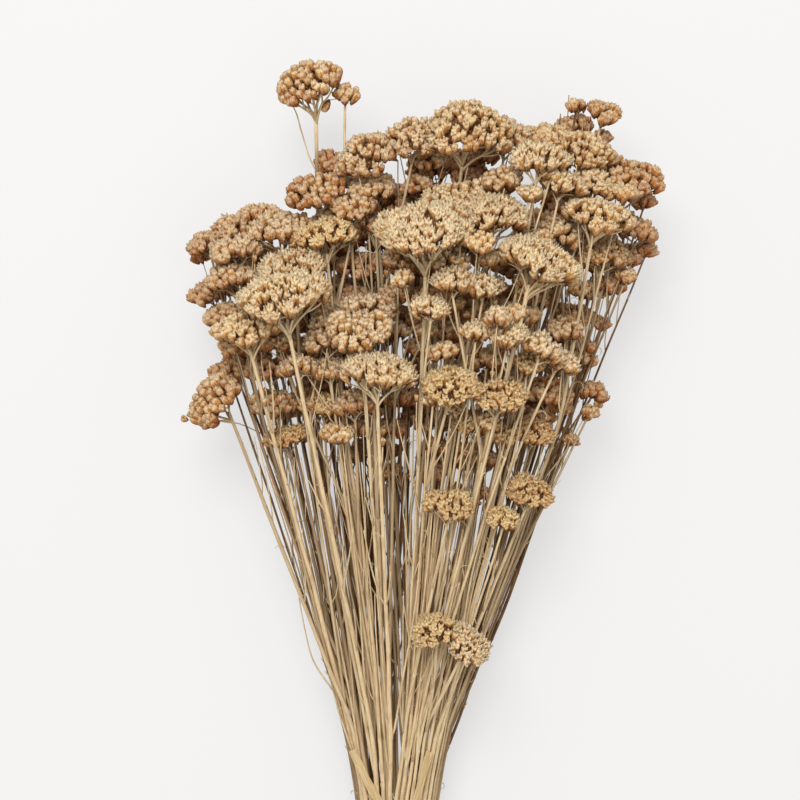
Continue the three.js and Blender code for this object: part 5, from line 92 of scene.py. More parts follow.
[[[-10.65,-268.11,28.78,1.41],[-9.1,-251.97,30.28,1.41],[-6.65,-226.97,32.52,1.39],[-4.22,-201.97,34.83,1.37],[-1.42,-176.97,38.72,1.35],[1.94,-151.97,42.89,1.32],[6.09,-126.97,47.09,1.29],[11.16,-101.97,51.59,1.28],[16.95,-76.97,56.42,1.25],[23.04,-51.97,60.84,1.21],[29.29,-26.97,65.18,1.18],[35.71,-1.97,69.4,1.14],[42.28,23.03,73.47,1.1],[48.96,48.03,77.38,1.05],[55.93,73.03,81.25,1.01],[62.4,98.03,84.92,0.96],[67.92,123.03,88.27,0.92],[73.39,148.03,91.51,0.87],[77.17,165.51,93.74,0.83]],[[7.77,-118.69,48.58,1.1],[13.12,-91.26,50.2,1.07],[19.12,-63.82,53.05,1.03],[25.6,-36.39,56.82,0.99],[32.13,-8.95,60.51,0.96],[38.7,18.48,64.12,0.92],[45.31,45.92,67.67,0.89],[51.97,73.36,71.17,0.85],[58.84,100.79,73.59,0.81],[64.23,128.23,72.66,0.78]],[[65.44,111.79,86.76,0.81],[62.96,140.84,86.72,0.72],[60.44,169.88,86.61,0.62]]],
[[[-2.74,-263.9,21.88,1.39],[-2.04,-251.97,22.99,1.39],[-0.55,-226.97,25.23,1.38],[0.91,-201.97,27.36,1.36],[3.77,-176.97,30.91,1.34],[8.1,-151.97,34.71,1.33],[12.85,-126.97,38.78,1.31],[17.65,-101.97,43.23,1.3],[22.52,-76.97,47.67,1.28],[27.46,-51.97,52.08,1.25],[32.48,-26.97,56.45,1.23],[37.6,-1.97,60.75,1.2],[42.83,23.03,64.96,1.17],[48.47,48.03,70.09,1.14],[54.35,73.03,75.8,1.1],[63.39,98.03,78.6,1.07],[72.3,123.03,81.33,1.04],[79.9,148.03,82.99,1],[86.61,173.03,83.92,0.96],[91.69,198.03,85.2,0.93],[91.58,212.4,85.18,0.9]],[[78.41,143.14,82.67,0.87],[73.72,169.27,78.58,0.85],[70.14,195.39,75.24,0.83],[71.66,221.52,75.27,0.82]]],
[[[3.26,-262.03,11.41,1.61],[3.01,-251.97,12.41,1.61],[2.22,-226.97,14.61,1.58],[1.88,-201.97,17.47,1.55],[4.74,-176.97,20.74,1.51],[8.55,-151.97,23.86,1.47],[13.21,-126.97,26.63,1.43],[20.61,-101.97,27.97,1.4],[28.08,-76.97,28.56,1.34],[35.85,-51.97,28.49,1.29],[43.62,-26.97,28.45,1.23],[51.72,-1.97,28.21,1.16],[60.25,23.03,27.74,1.1],[68.76,48.03,27.29,1.03],[77.28,73.03,26.86,0.95],[85.15,96.14,26.46,0.89]],[[9.14,-148.79,24.21,0.99],[14.52,-122.09,28.15,0.95],[22.83,-95.39,33.81,0.91],[32.21,-68.69,39.37,0.88],[41.36,-41.99,44.89,0.84],[50.51,-15.29,50.42,0.8],[59.65,11.41,56.02,0.77],[68.83,38.11,61.75,0.73],[77.47,64.82,67.55,0.69]],[[48.1,-13.16,28.32,0.96],[63.98,15.61,39.67,0.86],[81.49,44.38,50.13,0.77],[99.81,73.15,60.14,0.67]]],
[[[5.49,-265.02,13.86,1.3],[5.12,-251.97,15.18,1.3],[4.28,-226.97,17.44,1.28],[3.66,-201.97,20.29,1.26],[6.46,-176.97,23.59,1.24],[10.3,-151.97,26.75,1.21],[15.04,-126.97,29.62,1.18],[24.95,-101.97,32.04,1.17],[32.98,-76.97,35.47,1.13],[40.34,-51.97,38.82,1.1],[47.76,-26.97,42.21,1.06],[55.04,-1.97,45.55,1.02],[62.19,23.03,48.89,0.98],[69.21,48.03,52.22,0.93],[76.11,73.03,55.55,0.89],[82.89,98.03,58.86,0.84],[87.89,116.66,61.28,0.8]],[[16.87,-122.35,30.06,0.99],[25.45,-94.44,32.88,0.96],[32.01,-66.54,35.95,0.93],[38.99,-38.63,39.43,0.9],[45.6,-10.73,42.52,0.87],[52.12,17.18,45.6,0.84],[58.86,45.08,49.04,0.81],[65.56,72.98,52.37,0.78],[72.53,100.89,55.77,0.75],[79.48,128.79,59.11,0.72],[86.37,156.7,62.38,0.69]]],
[[[-2.44,-265.95,28.12,1.45],[-1.52,-251.97,28.42,1.44],[0.37,-226.97,28.79,1.41],[0.27,-201.97,30.59,1.37],[3.03,-176.97,34.08,1.33],[7.87,-151.97,37.87,1.28],[13.38,-126.97,41.88,1.22],[19.68,-101.97,46.19,1.18],[30.44,-76.97,50.02,1.12],[42.29,-51.97,53.99,1.05],[54.19,-26.97,58.09,0.98],[66.14,-1.97,62.24,0.91],[78.16,23.03,66.4,0.83],[90.22,48.03,70.56,0.75],[97.73,63.57,73.14,0.69]],[[17.54,-110.45,44.73,0.88],[28.22,-84.37,47.19,0.83],[40.48,-58.3,49.85,0.79],[52.04,-32.22,53.84,0.75],[63.65,-6.14,57.81,0.7],[75.26,19.93,61.79,0.66],[86.87,46.01,65.77,0.62]]],
[[[5.65,-265.92,26.29,1.12],[5,-251.97,27.91,1.12],[3.86,-226.97,30.77,1.11],[2.75,-201.97,32.33,1.11],[5.43,-176.97,35.93,1.11],[9.46,-151.97,40.35,1.1],[14.89,-126.97,44.3,1.09],[23.9,-101.97,49.18,1.1],[31.91,-76.97,54.92,1.1],[40.11,-51.97,60.72,1.09],[48.63,-26.97,66.64,1.08],[57.59,-1.97,72.6,1.07],[66.83,23.03,78.43,1.06],[75.94,48.03,84.35,1.05],[81.67,73.03,90.24,1.04],[85.76,98.03,94.75,1.03],[89.77,123.03,99.24,1.02],[93.74,148.03,103.71,1.01],[97.11,169.41,107.53,1]],[[8.84,-155.8,39.67,0.96],[13.03,-129.02,44.82,0.95],[17.83,-102.23,49.78,0.93],[24.22,-75.44,54.16,0.92],[30.45,-48.66,58.58,0.91],[36.58,-21.87,63.02,0.9],[42.63,4.92,67.45,0.88],[48.62,31.7,71.86,0.87],[54.54,58.49,76.28,0.86],[61.46,85.28,79.98,0.84],[71.11,112.06,82.96,0.83],[80.73,138.85,86.09,0.82],[89.3,165.64,90.31,0.8],[96.96,192.42,94.78,0.79]],[[84.44,89.99,93.3,0.89],[82.42,113.77,90.73,0.84],[80.33,137.55,88.16,0.79],[79.19,161.34,84.42,0.74],[79.24,185.12,80.97,0.69]],[[9.01,-154.73,39.86,0.88],[13.76,-128.16,46.22,0.86],[23.58,-101.58,52.36,0.84],[33.62,-75.01,57.69,0.82],[43.41,-48.44,62.78,0.8],[52.89,-21.86,67.75,0.78],[61.95,4.71,72.73,0.76],[70.78,31.28,77.79,0.74],[79.58,57.85,82.84,0.72],[87.68,84.43,87.54,0.7],[94.44,111,91.54,0.68],[101.18,137.57,95.52,0.66],[107.91,164.15,99.4,0.64],[114.54,190.72,102.49,0.62]]],
[[[1.62,-270.01,16.66,1.32],[1.62,-251.97,18.58,1.31],[1.65,-226.97,21.31,1.3],[1.6,-201.97,24.12,1.28],[4.34,-176.97,26.71,1.26],[8.28,-151.97,29.16,1.24],[12.91,-126.97,31.68,1.22],[18.01,-101.97,33.67,1.21],[23.48,-76.97,35.47,1.18],[29.38,-51.97,37.76,1.16],[35.19,-26.97,40,1.13],[40.94,-1.97,42.2,1.09],[46.6,23.03,44.35,1.06],[52.17,48.03,46.44,1.03],[57.64,73.03,48.5,0.99],[62.97,98.03,50.53,0.95],[68.12,123.03,52.56,0.92],[73.16,148.03,54.57,0.88],[78.11,173.03,56.54,0.84],[82.99,198.03,58.48,0.8],[89.95,233.99,61.26,0.73]],[[11.99,-131.98,31.17,0.98],[18.8,-105.43,34.93,0.96],[26.31,-78.89,38.04,0.94],[34.05,-52.34,40.72,0.92],[41.69,-25.79,43.36,0.9],[49.22,0.75,45.82,0.88],[56.51,27.3,47.99,0.86],[63.45,53.85,49.66,0.84],[68.99,80.39,54.65,0.82],[73.7,106.94,61.48,0.79],[78.89,133.49,68.04,0.77],[85.18,160.03,74.16,0.75],[91.77,186.58,76.22,0.73],[98.53,213.13,75.79,0.71],[105.24,239.67,75.33,0.69]],[[16.52,-109.27,33.08,0.88],[24.22,-83.18,35.17,0.86],[31.75,-57.09,37.1,0.84],[38.96,-31,38.94,0.82],[46.34,-4.91,40.95,0.8],[53.88,21.18,43.1,0.78],[61.37,47.27,45.11,0.76],[68.81,73.36,47,0.74],[76.19,99.46,48.75,0.72],[83.52,125.55,50.39,0.7],[90.79,151.64,51.94,0.68],[96.37,177.73,55.97,0.66],[101.51,203.82,60.56,0.64],[106.63,229.91,65.13,0.62]],[[16.07,-111.49,32.91,0.88],[22.97,-83.87,36.89,0.86],[29.69,-56.26,40.19,0.84],[36.3,-28.64,43.11,0.82],[42.89,-1.03,45.97,0.8],[49.43,26.59,48.79,0.78],[55.93,54.2,51.58,0.76],[62.35,81.82,54.33,0.74],[67.47,109.43,57.43,0.72],[71.89,137.05,60.68,0.7],[76.21,164.66,63.91,0.68],[80.87,192.28,67.07,0.66],[85.6,219.89,70.2,0.64],[90.31,247.51,73.31,0.62]]],
[[[1.23,-266.96,8.15,1.28],[0.91,-251.97,9.61,1.28],[0.16,-226.97,11.85,1.26],[0.02,-201.97,14.68,1.25],[2.97,-176.97,17.94,1.24],[6.82,-151.97,21.1,1.22],[11.4,-126.97,23.78,1.2],[20.96,-101.97,24.7,1.2],[30.38,-76.97,26.29,1.18],[39.44,-51.97,28.5,1.15],[48.47,-26.97,30.67,1.13],[57.45,-1.97,32.78,1.1],[65.62,23.03,35.3,1.07],[73.38,48.03,37.96,1.05],[81.1,73.03,40.56,1.02],[88.79,98.03,43.11,0.99],[96.44,123.03,45.64,0.96],[104.12,148.18,48.17,0.92]],[[82.25,76.77,40.94,0.87],[88.69,106.29,42.31,0.85],[95.11,135.82,43.64,0.83],[101.52,165.34,44.93,0.81]]],
[[[6.8,-266.78,16.42,1.17],[6.3,-251.97,17.98,1.17],[5.39,-226.97,20.33,1.16],[4.51,-201.97,23.05,1.15],[7.28,-176.97,26.4,1.14],[11.21,-151.97,29.58,1.13],[16.01,-126.97,32.32,1.11],[27.49,-101.97,33.79,1.11],[39.99,-76.97,37.94,1.09],[50.04,-51.97,42.66,1.07],[58.43,-26.97,47.37,1.05],[66.68,-1.97,51.83,1.03],[75.02,23.03,56.18,1.01],[83.37,48.03,60.4,0.99],[90.39,73.03,65,0.96],[94.52,98.03,70.58,0.94],[98.66,123.03,76.03,0.91],[103.31,151.1,82.06,0.88]],[[12.07,-147.46,30.07,0.98],[21.72,-121.14,33.88,0.96],[30.18,-94.81,37.48,0.94],[38.2,-68.48,40.83,0.92],[46.57,-42.16,44.78,0.9],[55.39,-15.83,48.93,0.88],[64.8,10.5,53.2,0.86],[74.63,36.83,57.21,0.84],[84.75,63.15,60.78,0.82],[94.88,89.48,64.3,0.8],[105.16,115.81,67.77,0.78],[115.53,142.13,71.21,0.75],[125.95,168.46,74.64,0.73]],[[15.91,-127.51,32.26,0.88],[23.52,-100.35,35.19,0.85],[33.6,-73.19,40.59,0.83],[43.61,-46.03,45.75,0.8],[54.15,-18.87,50.83,0.77],[65.16,8.29,55.83,0.75],[76.2,35.45,60.69,0.72],[87.33,62.61,65.41,0.7],[97.38,89.77,70.04,0.67],[108.24,116.94,73.76,0.64],[119.08,144.1,77.48,0.62]]],
[[[6.98,-266.69,19.74,1.58],[6.37,-251.97,21.31,1.57],[5.33,-226.97,23.75,1.56],[4.23,-201.97,26.21,1.54],[6.99,-176.97,29.62,1.52],[11.08,-151.97,33.06,1.5],[16.06,-126.97,37,1.47],[24.33,-101.97,40.19,1.47],[33.3,-76.97,43.73,1.44],[43.77,-51.97,46.49,1.41],[53.73,-26.97,49.06,1.38],[63.1,-1.97,51.37,1.34],[71.73,23.03,53.64,1.31],[79.8,48.03,56.23,1.27],[87.42,73.03,59.29,1.23],[94.99,98.03,62.38,1.19],[102.51,123.03,65.48,1.15],[108.53,148.03,68.25,1.1],[114.17,173.03,71.68,1.06],[118.57,194.62,75.52,1.02]],[[10.77,-153.84,32.8,0.99],[16.95,-125.67,35.03,0.96],[26.95,-97.51,36.27,0.93],[37.33,-69.34,37.95,0.91],[48.52,-41.17,40.31,0.88],[59.65,-13.01,42.62,0.86],[70.78,15.16,44.88,0.83],[81.47,43.33,47.3,0.8],[91.16,71.49,50.2,0.78],[100.94,99.66,53.06,0.75],[110.77,127.83,55.89,0.72],[120.63,155.99,58.71,0.7]],[[16.6,-125.31,37.22,0.88],[27.65,-99.13,39.72,0.86],[37.97,-72.95,42.25,0.83],[47.96,-46.77,44.03,0.81],[58.12,-20.58,45.38,0.79],[68.32,5.6,46.74,0.77],[78.6,31.78,48.14,0.75],[87.87,57.96,50.35,0.73],[96.49,84.15,53.37,0.7],[105.22,110.33,56.37,0.68],[114,136.51,59.34,0.66],[122.79,162.69,62.3,0.64],[131.59,188.88,65.26,0.62]],[[10.12,-157.84,32.25,0.88],[15.67,-131.28,34.25,0.86],[27.58,-104.72,38.56,0.83],[37.76,-78.16,40.67,0.81],[47.7,-51.61,42.35,0.79],[58.28,-25.05,44.12,0.77],[69.08,1.51,45.99,0.75],[79.86,28.07,47.89,0.73],[90.6,54.63,49.83,0.7],[101.3,81.18,51.81,0.68],[112,107.74,54.77,0.66],[122.68,134.3,57.94,0.64],[133.34,160.86,61.13,0.62]]]
]
# Each stem's flower heads, one per strand in the same order:
# [x, y, z of the middle, x, y, z of the axis, radius, tone from 0 pale to 1 brown, number].
HEADS = [
[[-127.98,75.42,84, -0.704,0.679,0.208, 16.22,0.46,81]],
[[-112.23,102.74,36, -0.237,0.949,-0.208, 12.01,0.6,145],[-131.75,140.74,68, -0.304,0.937,0.174, 11.14,0.68,93],[-119.69,92.32,68.77, -0.241,0.965,0.105, 9.94,0.6,82],[-126.79,125.99,73.65, -0.207,0.974,0.087, 7,0.58,94]],
[[-87.86,176.34,91.8, -0.136,0.969,0.208, 17.28,0.42,99],[-101.67,185.24,76.03, -0.138,0.981,0.139, 12.8,0.5,98],[-132.4,169.2,81.34, -0.339,0.931,0.139, 11.01,0.52,96],[-116.85,176.81,87.22, -0.206,0.969,0.139, 10.41,0.5,97]],
[[-115.87,147.61,98.02, -0.235,0.941,0.242, 14.35,0.5,92],[-114.08,164.36,102, -0.17,0.963,0.208, 13.72,0.4,95],[-90.1,123.59,76.24, -0.138,0.985,0.105, 8.76,0.62,123],[-104.48,137.93,73.48, -0.173,0.981,0.087, 8.74,0.66,101]],
[[-93.63,158.2,36.54, -0.202,0.949,-0.242, 16.16,0.55,131],[-109.73,163.57,55.46, -0.207,0.973,-0.105, 13.05,0.62,157]],
[[-104.87,116.75,116, -0.102,0.973,0.208, 16.4,0.16,30],[-75.73,95.29,111.02, -0.104,0.985,0.139, 9.66,0.34,88]],
[[-92.78,73.63,76.23, -0.202,0.949,0.242, 12.22,0.48,83],[-95.91,94.57,79.94, -0.138,0.985,0.105, 12.19,0.66,90],[-83.99,52.57,75.27, -0.17,0.963,0.208, 11.67,0.5,84],[-61.99,71.84,88.58, -0.103,0.979,0.174, 10.99,0.46,85]],
[[-83.4,134.44,137.34, -0.132,0.942,0.309, 21.71,0.12,29],[-79.35,152.8,107.38, -0.1,0.956,0.276, 18.77,0.2,28]],
[[-67.84,82.72,66.17, -0.069,0.992,0.105, 11.74,0.72,116],[-78.41,73.03,53.95, -0.104,0.989,0.105, 10.04,0.7,127]],
[[-69.99,262.69,86.06, -0.233,0.935,0.269, 20.25,0.42,1]],
[[-53.18,101.62,81.46, -0.069,0.994,0.087, 10.98,0.6,59],[-87.41,109.79,94, -0.104,0.989,0.105, 10.93,0.52,91],[-70.44,105.79,84.69, -0.069,0.988,0.139, 9.82,0.5,115],[-63.32,131.99,88, -0.069,0.988,0.139, 8.66,0.46,114]],
[[-80.94,123.23,14.96, -0.131,0.931,-0.342, 17.04,0.58,137],[-62.43,78.05,14.16, -0.098,0.935,-0.342, 15.81,0.58,142]],
[[-59.89,172.17,102.06, -0.068,0.976,0.208, 15.45,0.34,100],[-43.56,189.05,98.9, -0.102,0.973,0.208, 12.06,0.52,16]],
[[-73.63,138.9,56, -0.138,0.985,-0.105, 14.79,0.62,149],[-38.56,156.21,72.19, -0.069,0.994,0.087, 14.03,0.82,58],[-48.51,103.49,52.42, -0.104,0.992,-0.07, 13,0.64,154],[-42.18,136.22,71.84, -0.069,0.992,0.105, 11.67,0.66,113]],
[[-29.1,197.38,66.81, -0.104,0.985,0.139, 16.98,0.85,15],[-67.66,199.26,88.72, -0.405,0.909,0.105, 14.51,0.66,17],[-55.26,184.8,78.4, -0.104,0.989,0.105, 10.49,0.7,106],[-48.25,207.44,71.88, -0.173,0.979,0.105, 8.77,0.8,104]],
[[-33.67,128.42,100.01, -0.034,0.984,0.174, 15.43,0.36,31],[-59.21,110.51,110.46, -0.102,0.973,0.208, 11.36,0.3,34],[-57.43,93.04,104.01, -0.034,0.984,0.174, 10.27,0.38,89],[-57.04,122.45,107.03, -0.069,0.982,0.174, 9.7,0.18,33]],
[[-47.95,257.88,81.94, 0.091,0.869,0.486, 7.54,0.4,2]],
[[-42.42,73.03,103.54, -0.034,0.978,0.208, 11.43,0.44,86],[-42.24,58.7,81.35, 0,0.99,0.139, 7.53,0.5,87]],
[[-62.02,176.34,16.83, -0.066,0.949,-0.309, 18.22,0.58,132],[-36.94,139.88,35.8, -0.065,0.925,-0.375, 18.01,0.55,138],[-24.64,175.95,46.21, -0.035,0.994,-0.105, 15.45,0.64,152]],
[[-28.84,91.91,140, 0,0.978,0.208, 18.31,0.16,35],[-39.65,116.04,124.44, 0,0.97,0.242, 17.47,0.24,32]],
[[-36.17,219.08,95.12, -0.295,0.731,0.616, 16.12,0.42,3],[-9.03,227.52,99.44, -0.107,0.759,0.643, 14.35,0.4,4],[-32.09,199.88,91.66, -0.103,0.979,0.174, 12.71,0.5,129],[-34.67,179.19,89.22, -0.069,0.988,0.139, 8.68,0.6,105]],
[[-34.78,44.48,27.65, -0.066,0.937,-0.342, 13.25,0.58,147],[-23.94,30.4,58.04, 0,0.996,0.087, 10.04,0.7,80],[-29.06,71.83,66.04, 0,0.995,0.105, 8.8,0.66,117]],
[[-16.62,157.75,103.96, 0,0.978,0.208, 9.13,0.5,57],[-1.25,154.51,80.21, 0,0.995,0.105, 8.72,0.7,126],[26.19,168.15,82, 0,0.995,0.105, 8.7,0.68,125],[-19.36,138.24,94.07, -0.104,0.985,0.139, 8.63,0.56,56]],
[[-15.69,188.86,17.6, 0.033,0.939,-0.342, 19.43,0.55,133],[9.4,144.51,16.82, 0.032,0.927,-0.375, 18.25,0.55,139]],
[[-9.78,90.6,15.39, 0,0.914,-0.407, 17.04,0.55,143],[9.72,40.62,22.27, 0.066,0.937,-0.342, 13.3,0.55,146]],
[[-0.08,-21.13,68.51, 0.069,0.988,0.139, 8.2,0.66,77]],
[[-1.93,173.31,138, -0.051,0.965,0.259, 25.01,0.14,23],[1.94,127.61,148, 0,0.94,0.342, 9.93,0.06,41]],
[[8.78,219.63,53.66, 0,0.998,-0.07, 15.4,0.6,148],[-0.97,201.38,63.6, 0,0.996,0.087, 10.57,0.8,18],[1.68,219.44,78.34, 0,0.99,0.139, 10.48,0.62,103],[-4.54,203.04,80.48, 0,0.985,0.174, 9.88,0.6,130]],
[[13.02,116.64,85.49, 0,0.996,0.087, 9.27,0.7,54],[-3.62,106.79,74.14, 0,0.995,0.105, 8.77,0.74,124],[20.26,123.36,80, 0,0.995,0.105, 8.14,0.7,118],[-18.15,116.57,83.86, 0,0.94,0.342, 8.1,0.58,55]],
[[13.3,112.62,60, 0.035,0.997,-0.07, 14.18,0.62,150],[0.65,63.86,51.62, 0,0.998,-0.07, 13.05,0.62,153]],
[[13.08,13.98,115.68, 0.066,0.949,0.309, 13.61,0.38,76]],
[[13.6,82.78,138.83, 0.121,0.858,0.5, 15.01,0.34,36],[28.57,60.72,100.84, 0,0.99,0.139, 11.38,0.4,71],[2.64,75.33,135.03, -0.103,0.979,0.174, 6.13,0.1,46],[15.73,70.13,118.02, 0.342,0.94,0, 5.65,0.22,47]],
[[24.5,-70.58,98, 0.366,0.821,0.438, 12.61,0.12,79],[3.79,-62.1,100, -0.256,0.891,0.375, 11.45,0.3,78]],
[[64.13,155.68,136.13, 0.332,0.912,0.242, 21.15,0.1,25],[14.2,144.31,134, 0,0.985,0.174, 11.15,0.18,42],[32.82,141.18,128, 0.068,0.976,0.208, 10.64,0.2,43],[12.7,157.03,124, 0.068,0.976,0.208, 10.11,0.26,45]],
[[35.23,99,100.97, 0,0.985,0.174, 9.16,0.56,51],[23.17,94.97,91.86, 0,0.996,0.087, 5.75,0.6,52]],
[[37.61,182.52,124, 0.058,0.827,0.559, 18.54,0.24,24],[11.25,191.33,110, -0.064,0.911,0.407, 13.63,0.26,102],[44.54,204.01,112, 0,0.978,0.208, 10.78,0.46,10]],
[[22.36,232.36,101.63, 0,0.719,0.695, 20.61,0.38,5],[47.68,233.71,85.58, 0.065,0.925,0.375, 14.48,0.44,6],[27.35,212.08,64.2, 0,0.995,0.105, 11.19,0.85,109],[33.81,222.73,70, 0,0.985,0.174, 9.95,0.72,7]],
[[30.51,41.69,69.4, 0.035,0.99,0.139, 11.69,0.58,121],[44.89,54.07,94.93, 0.104,0.985,0.139, 9.2,0.46,70]],
[[30.07,82.94,34.35, 0.098,0.935,-0.342, 16.21,0.58,144],[50.12,90.09,59.25, 0.104,0.992,-0.07, 13,0.62,155]],
[[45.47,128.25,92, 0,0.985,0.174, 9.21,0.6,50],[40.36,157.75,99.03, -0.069,0.982,0.174, 8.56,0.62,48]],
[[41.97,77.07,130, 0.095,0.909,0.407, 12.3,0.36,37],[67.6,105.43,126, 0.3,0.923,0.242, 11.22,0.16,39],[46.98,112.76,134.46, 0.098,0.935,0.342, 10.61,0.2,38],[27.96,114.99,134.04, 0,0.985,0.174, 8.36,0.22,44]],
[[61.49,20.71,90.75, 0.135,0.961,0.242, 12.11,0.56,72],[45.54,5.17,100.87, 0.069,0.982,0.174, 9.16,0.34,73]],
[[27.5,193.19,40.55, 0.066,0.949,-0.309, 18.53,0.58,134],[74.67,184.72,15.25, 0.134,0.952,-0.276, 17.65,0.55,135]],
[[51.51,134.66,40.93, 0.131,0.931,-0.342, 17.33,0.58,140],[59.05,160.02,50, 0.104,0.989,-0.105, 14.86,0.62,151]],
[[63.96,66.99,65.81, 0.138,0.981,0.139, 12.31,0.74,120],[74.09,80.21,80.27, 0.138,0.981,0.139, 12.19,0.72,53],[63.69,55.74,85.79, 0.17,0.963,0.208, 12.15,0.52,69],[48.71,86.2,81.31, 0.069,0.988,0.139, 8.7,0.66,119]],
[[79.04,98.18,112, 0.412,0.845,0.342, 10.21,0.28,40],[59.39,95.91,108, 0.103,0.979,0.174, 8.53,0.34,60]],
[[64.39,215.04,124.68, 0.034,0.961,0.276, 14.11,0.16,26],[79.63,201.37,113.3, 0.235,0.941,0.242, 11.88,0.14,27],[72.68,207.48,120.74, 0.17,0.963,0.208, 7.9,0.12,108],[58.93,195.08,126, 0,0.985,0.174, 6.73,0.1,107]],
[[78.28,176.03,95.6, 0.103,0.979,0.174, 12.63,0.38,62],[65.31,138.53,73.57, 0.104,0.991,0.087, 12.24,0.78,49],[61.15,176.65,87.56, 0.104,0.985,0.139, 8.09,0.6,111]],
[[94.25,223.1,90.56, 0.217,0.872,0.438, 14.44,0.4,9],[73.12,231.92,79.51, 0.129,0.918,0.375, 13.33,0.42,8]],
[[87.95,107.37,24, 0.237,0.949,-0.208, 13.93,0.6,141],[79.21,73.03,68.73, 0.206,0.969,0.139, 9.98,0.58,122],[102.72,80.33,62.22, 0.362,0.896,0.259, 9.44,0.66,67]],
[[89.95,126.39,62.32, 0.207,0.973,0.105, 11.76,0.62,75],[87.54,165.06,63.27, 0.138,0.985,0.105, 9.98,0.8,128]],
[[100.46,67.62,74, 0.551,0.816,0.174, 5.84,0.4,68],[88.83,50.03,66.16, 0.437,0.895,0.087, 5.29,0.4,74]],
[[99.5,182.96,112, 0.165,0.937,0.309, 17.01,0.28,61],[98.73,202.46,98.09, 0.165,0.937,0.309, 12.61,0.34,12],[79.82,193.45,81.85, 0.069,0.992,0.105, 9.88,0.78,110],[115.91,197.17,104.13, 0.202,0.949,0.242, 7.99,0.36,13]],
[[89.36,242.44,62, -0.069,0.994,0.087, 10.01,0.66,21],[107.52,247.63,76.79, 0.271,0.947,0.174, 9.89,0.52,19],[107.82,234.68,66, 0.238,0.956,0.174, 5.87,0.72,22],[89.63,252.37,74, -0.138,0.981,0.139, 5.84,0.5,20]],
[[107.14,160.28,45.97, 0.238,0.956,-0.174, 14.9,0.58,136],[103.45,176.25,43.77, 0.173,0.979,-0.105, 13.11,0.62,156]],
[[104.93,162.63,84.11, 0.137,0.975,0.174, 13.91,0.5,65],[127.56,177.59,76.27, 0.171,0.97,0.174, 11.07,0.54,63],[120.52,149.83,78, 0.241,0.967,0.087, 6.98,0.44,66]],
[[120.11,209.23,77.58, 0.104,0.985,0.139, 17.46,0.58,11],[122.38,164.25,59.89, 0.206,0.969,0.139, 10.03,0.6,112],[132.04,195.33,65.83, 0.069,0.994,0.087, 7.63,0.62,14],[134.97,166.54,62.17, 0.271,0.947,0.174, 7.07,0.66,64]]
]
# The inside of the raffia band, [x, z] round the bundle, its middle, and the loose ends: rows of [x, y, z], and a width.
BAND = [[7.78, 29.27], [6.66, 33.43], [4.43, 37.3], [0.44, 41.29], [-5.63, 44.8], [-13.04, 46.78], [-21.71, 46.78], [-29.18, 44.78], [-35.17, 41.32], [-39.02, 37.47], [-41.57, 33.06], [-42.17, 30.83], [-42.17, 23.78], [-41.43, 21.02], [-39.08, 16.96], [-31.89, 9.77], [-30.98, 9.25], [-30.52, 9.12], [-12.33, 9.12], [0.67, 12.61], [1.04, 12.82], [3.22, 15.0], [6.64, 20.92], [7.78, 25.17]]
BAND_MIDDLE = [-17.49, -196.96, 25.5]
ENDS = [[[[-18.09, -195.77, 47.98], [-22.04, -186.41, 48.28], [-26.34, -177.21, 49.93], [-31.29, -168.34, 50.16], [-36.23, -159.46, 50.03], [-40.66, -150.31, 49.9], [-45.09, -141.16, 50.11]], 5.6], [[[-15.69, -195.77, 47.98], [-11.07, -187.3, 47.95], [-7.39, -178.47, 49.59], [-4.91, -169.16, 51.23], [-2.47, -159.84, 53.14], [-0.08, -150.5, 55.05], [2.31, -141.16, 56.99]], 5.0], [[[-18.69, -198.77, 47.98], [-20.5, -204.89, 45.35], [-22.31, -211.01, 44.71], [-23.93, -217.18, 44.3], [-25.18, -223.44, 43.9], [-26.43, -229.7, 43.64], [-27.69, -235.97, 40.63]], 4.6], [[[-15.09, -198.77, 47.98], [-13.29, -205.73, 45.19], [-11.49, -212.7, 44.38], [-9.39, -219.56, 43.7], [-6.69, -226.23, 43.02], [-3.99, -232.9, 41.78], [-1.29, -239.56, 39.07]], 4.2]]
# The kind of each numbered head: r round closed buds, p and t tan, c cream and open, g golden and fine, b brown.
KINDS = "rrpptpbttbbttbbbrbtbbbccccccctppppcggcppcccctcctbttbbbpppbggtttbttbbgggggctgggcgrtpggppppbtpbbpppppgbtbbbpttbbtppbbppbbpppbbbbppbbbbbbbbbbbbbbbbbbbbbbbbbbbbb"
# bud width, bud length, share of open buds, gold, buds in a tuft, how far a tuft's buds draw together at top and foot
STYLE = {
    "r": (5.3, 7.6, 0.15, 0.25, 4, 0.02, 0.18),
    "p": (4.7, 7.6, 0.45, 0.12, 5, 0.05, 0.40),
    "t": (4.5, 7.4, 0.50, 0.45, 5, 0.05, 0.40),
    "c": (4.0, 8.8, 1.00, 0.35, 8, 0.03, 0.52),
    "g": (3.7, 6.4, 0.75, 0.95, 7, 0.03, 0.45),
    "b": (4.9, 7.2, 0.40, 0.25, 5, 0.04, 0.35),
}


def unit(v):
    return v / np.maximum(np.linalg.norm(v, axis=-1, keepdims=True), 1e-9)


def across(v):
    """A unit vector square to each v."""
    ref = np.where(np.abs(v[..., 2:3]) < 0.8, np.array([0.0, 0.0, 1.0]), np.array([1.0, 0.0, 0.0]))
    return unit(np.cross(v, ref))


# ---------------------------------------------------------------- meshes


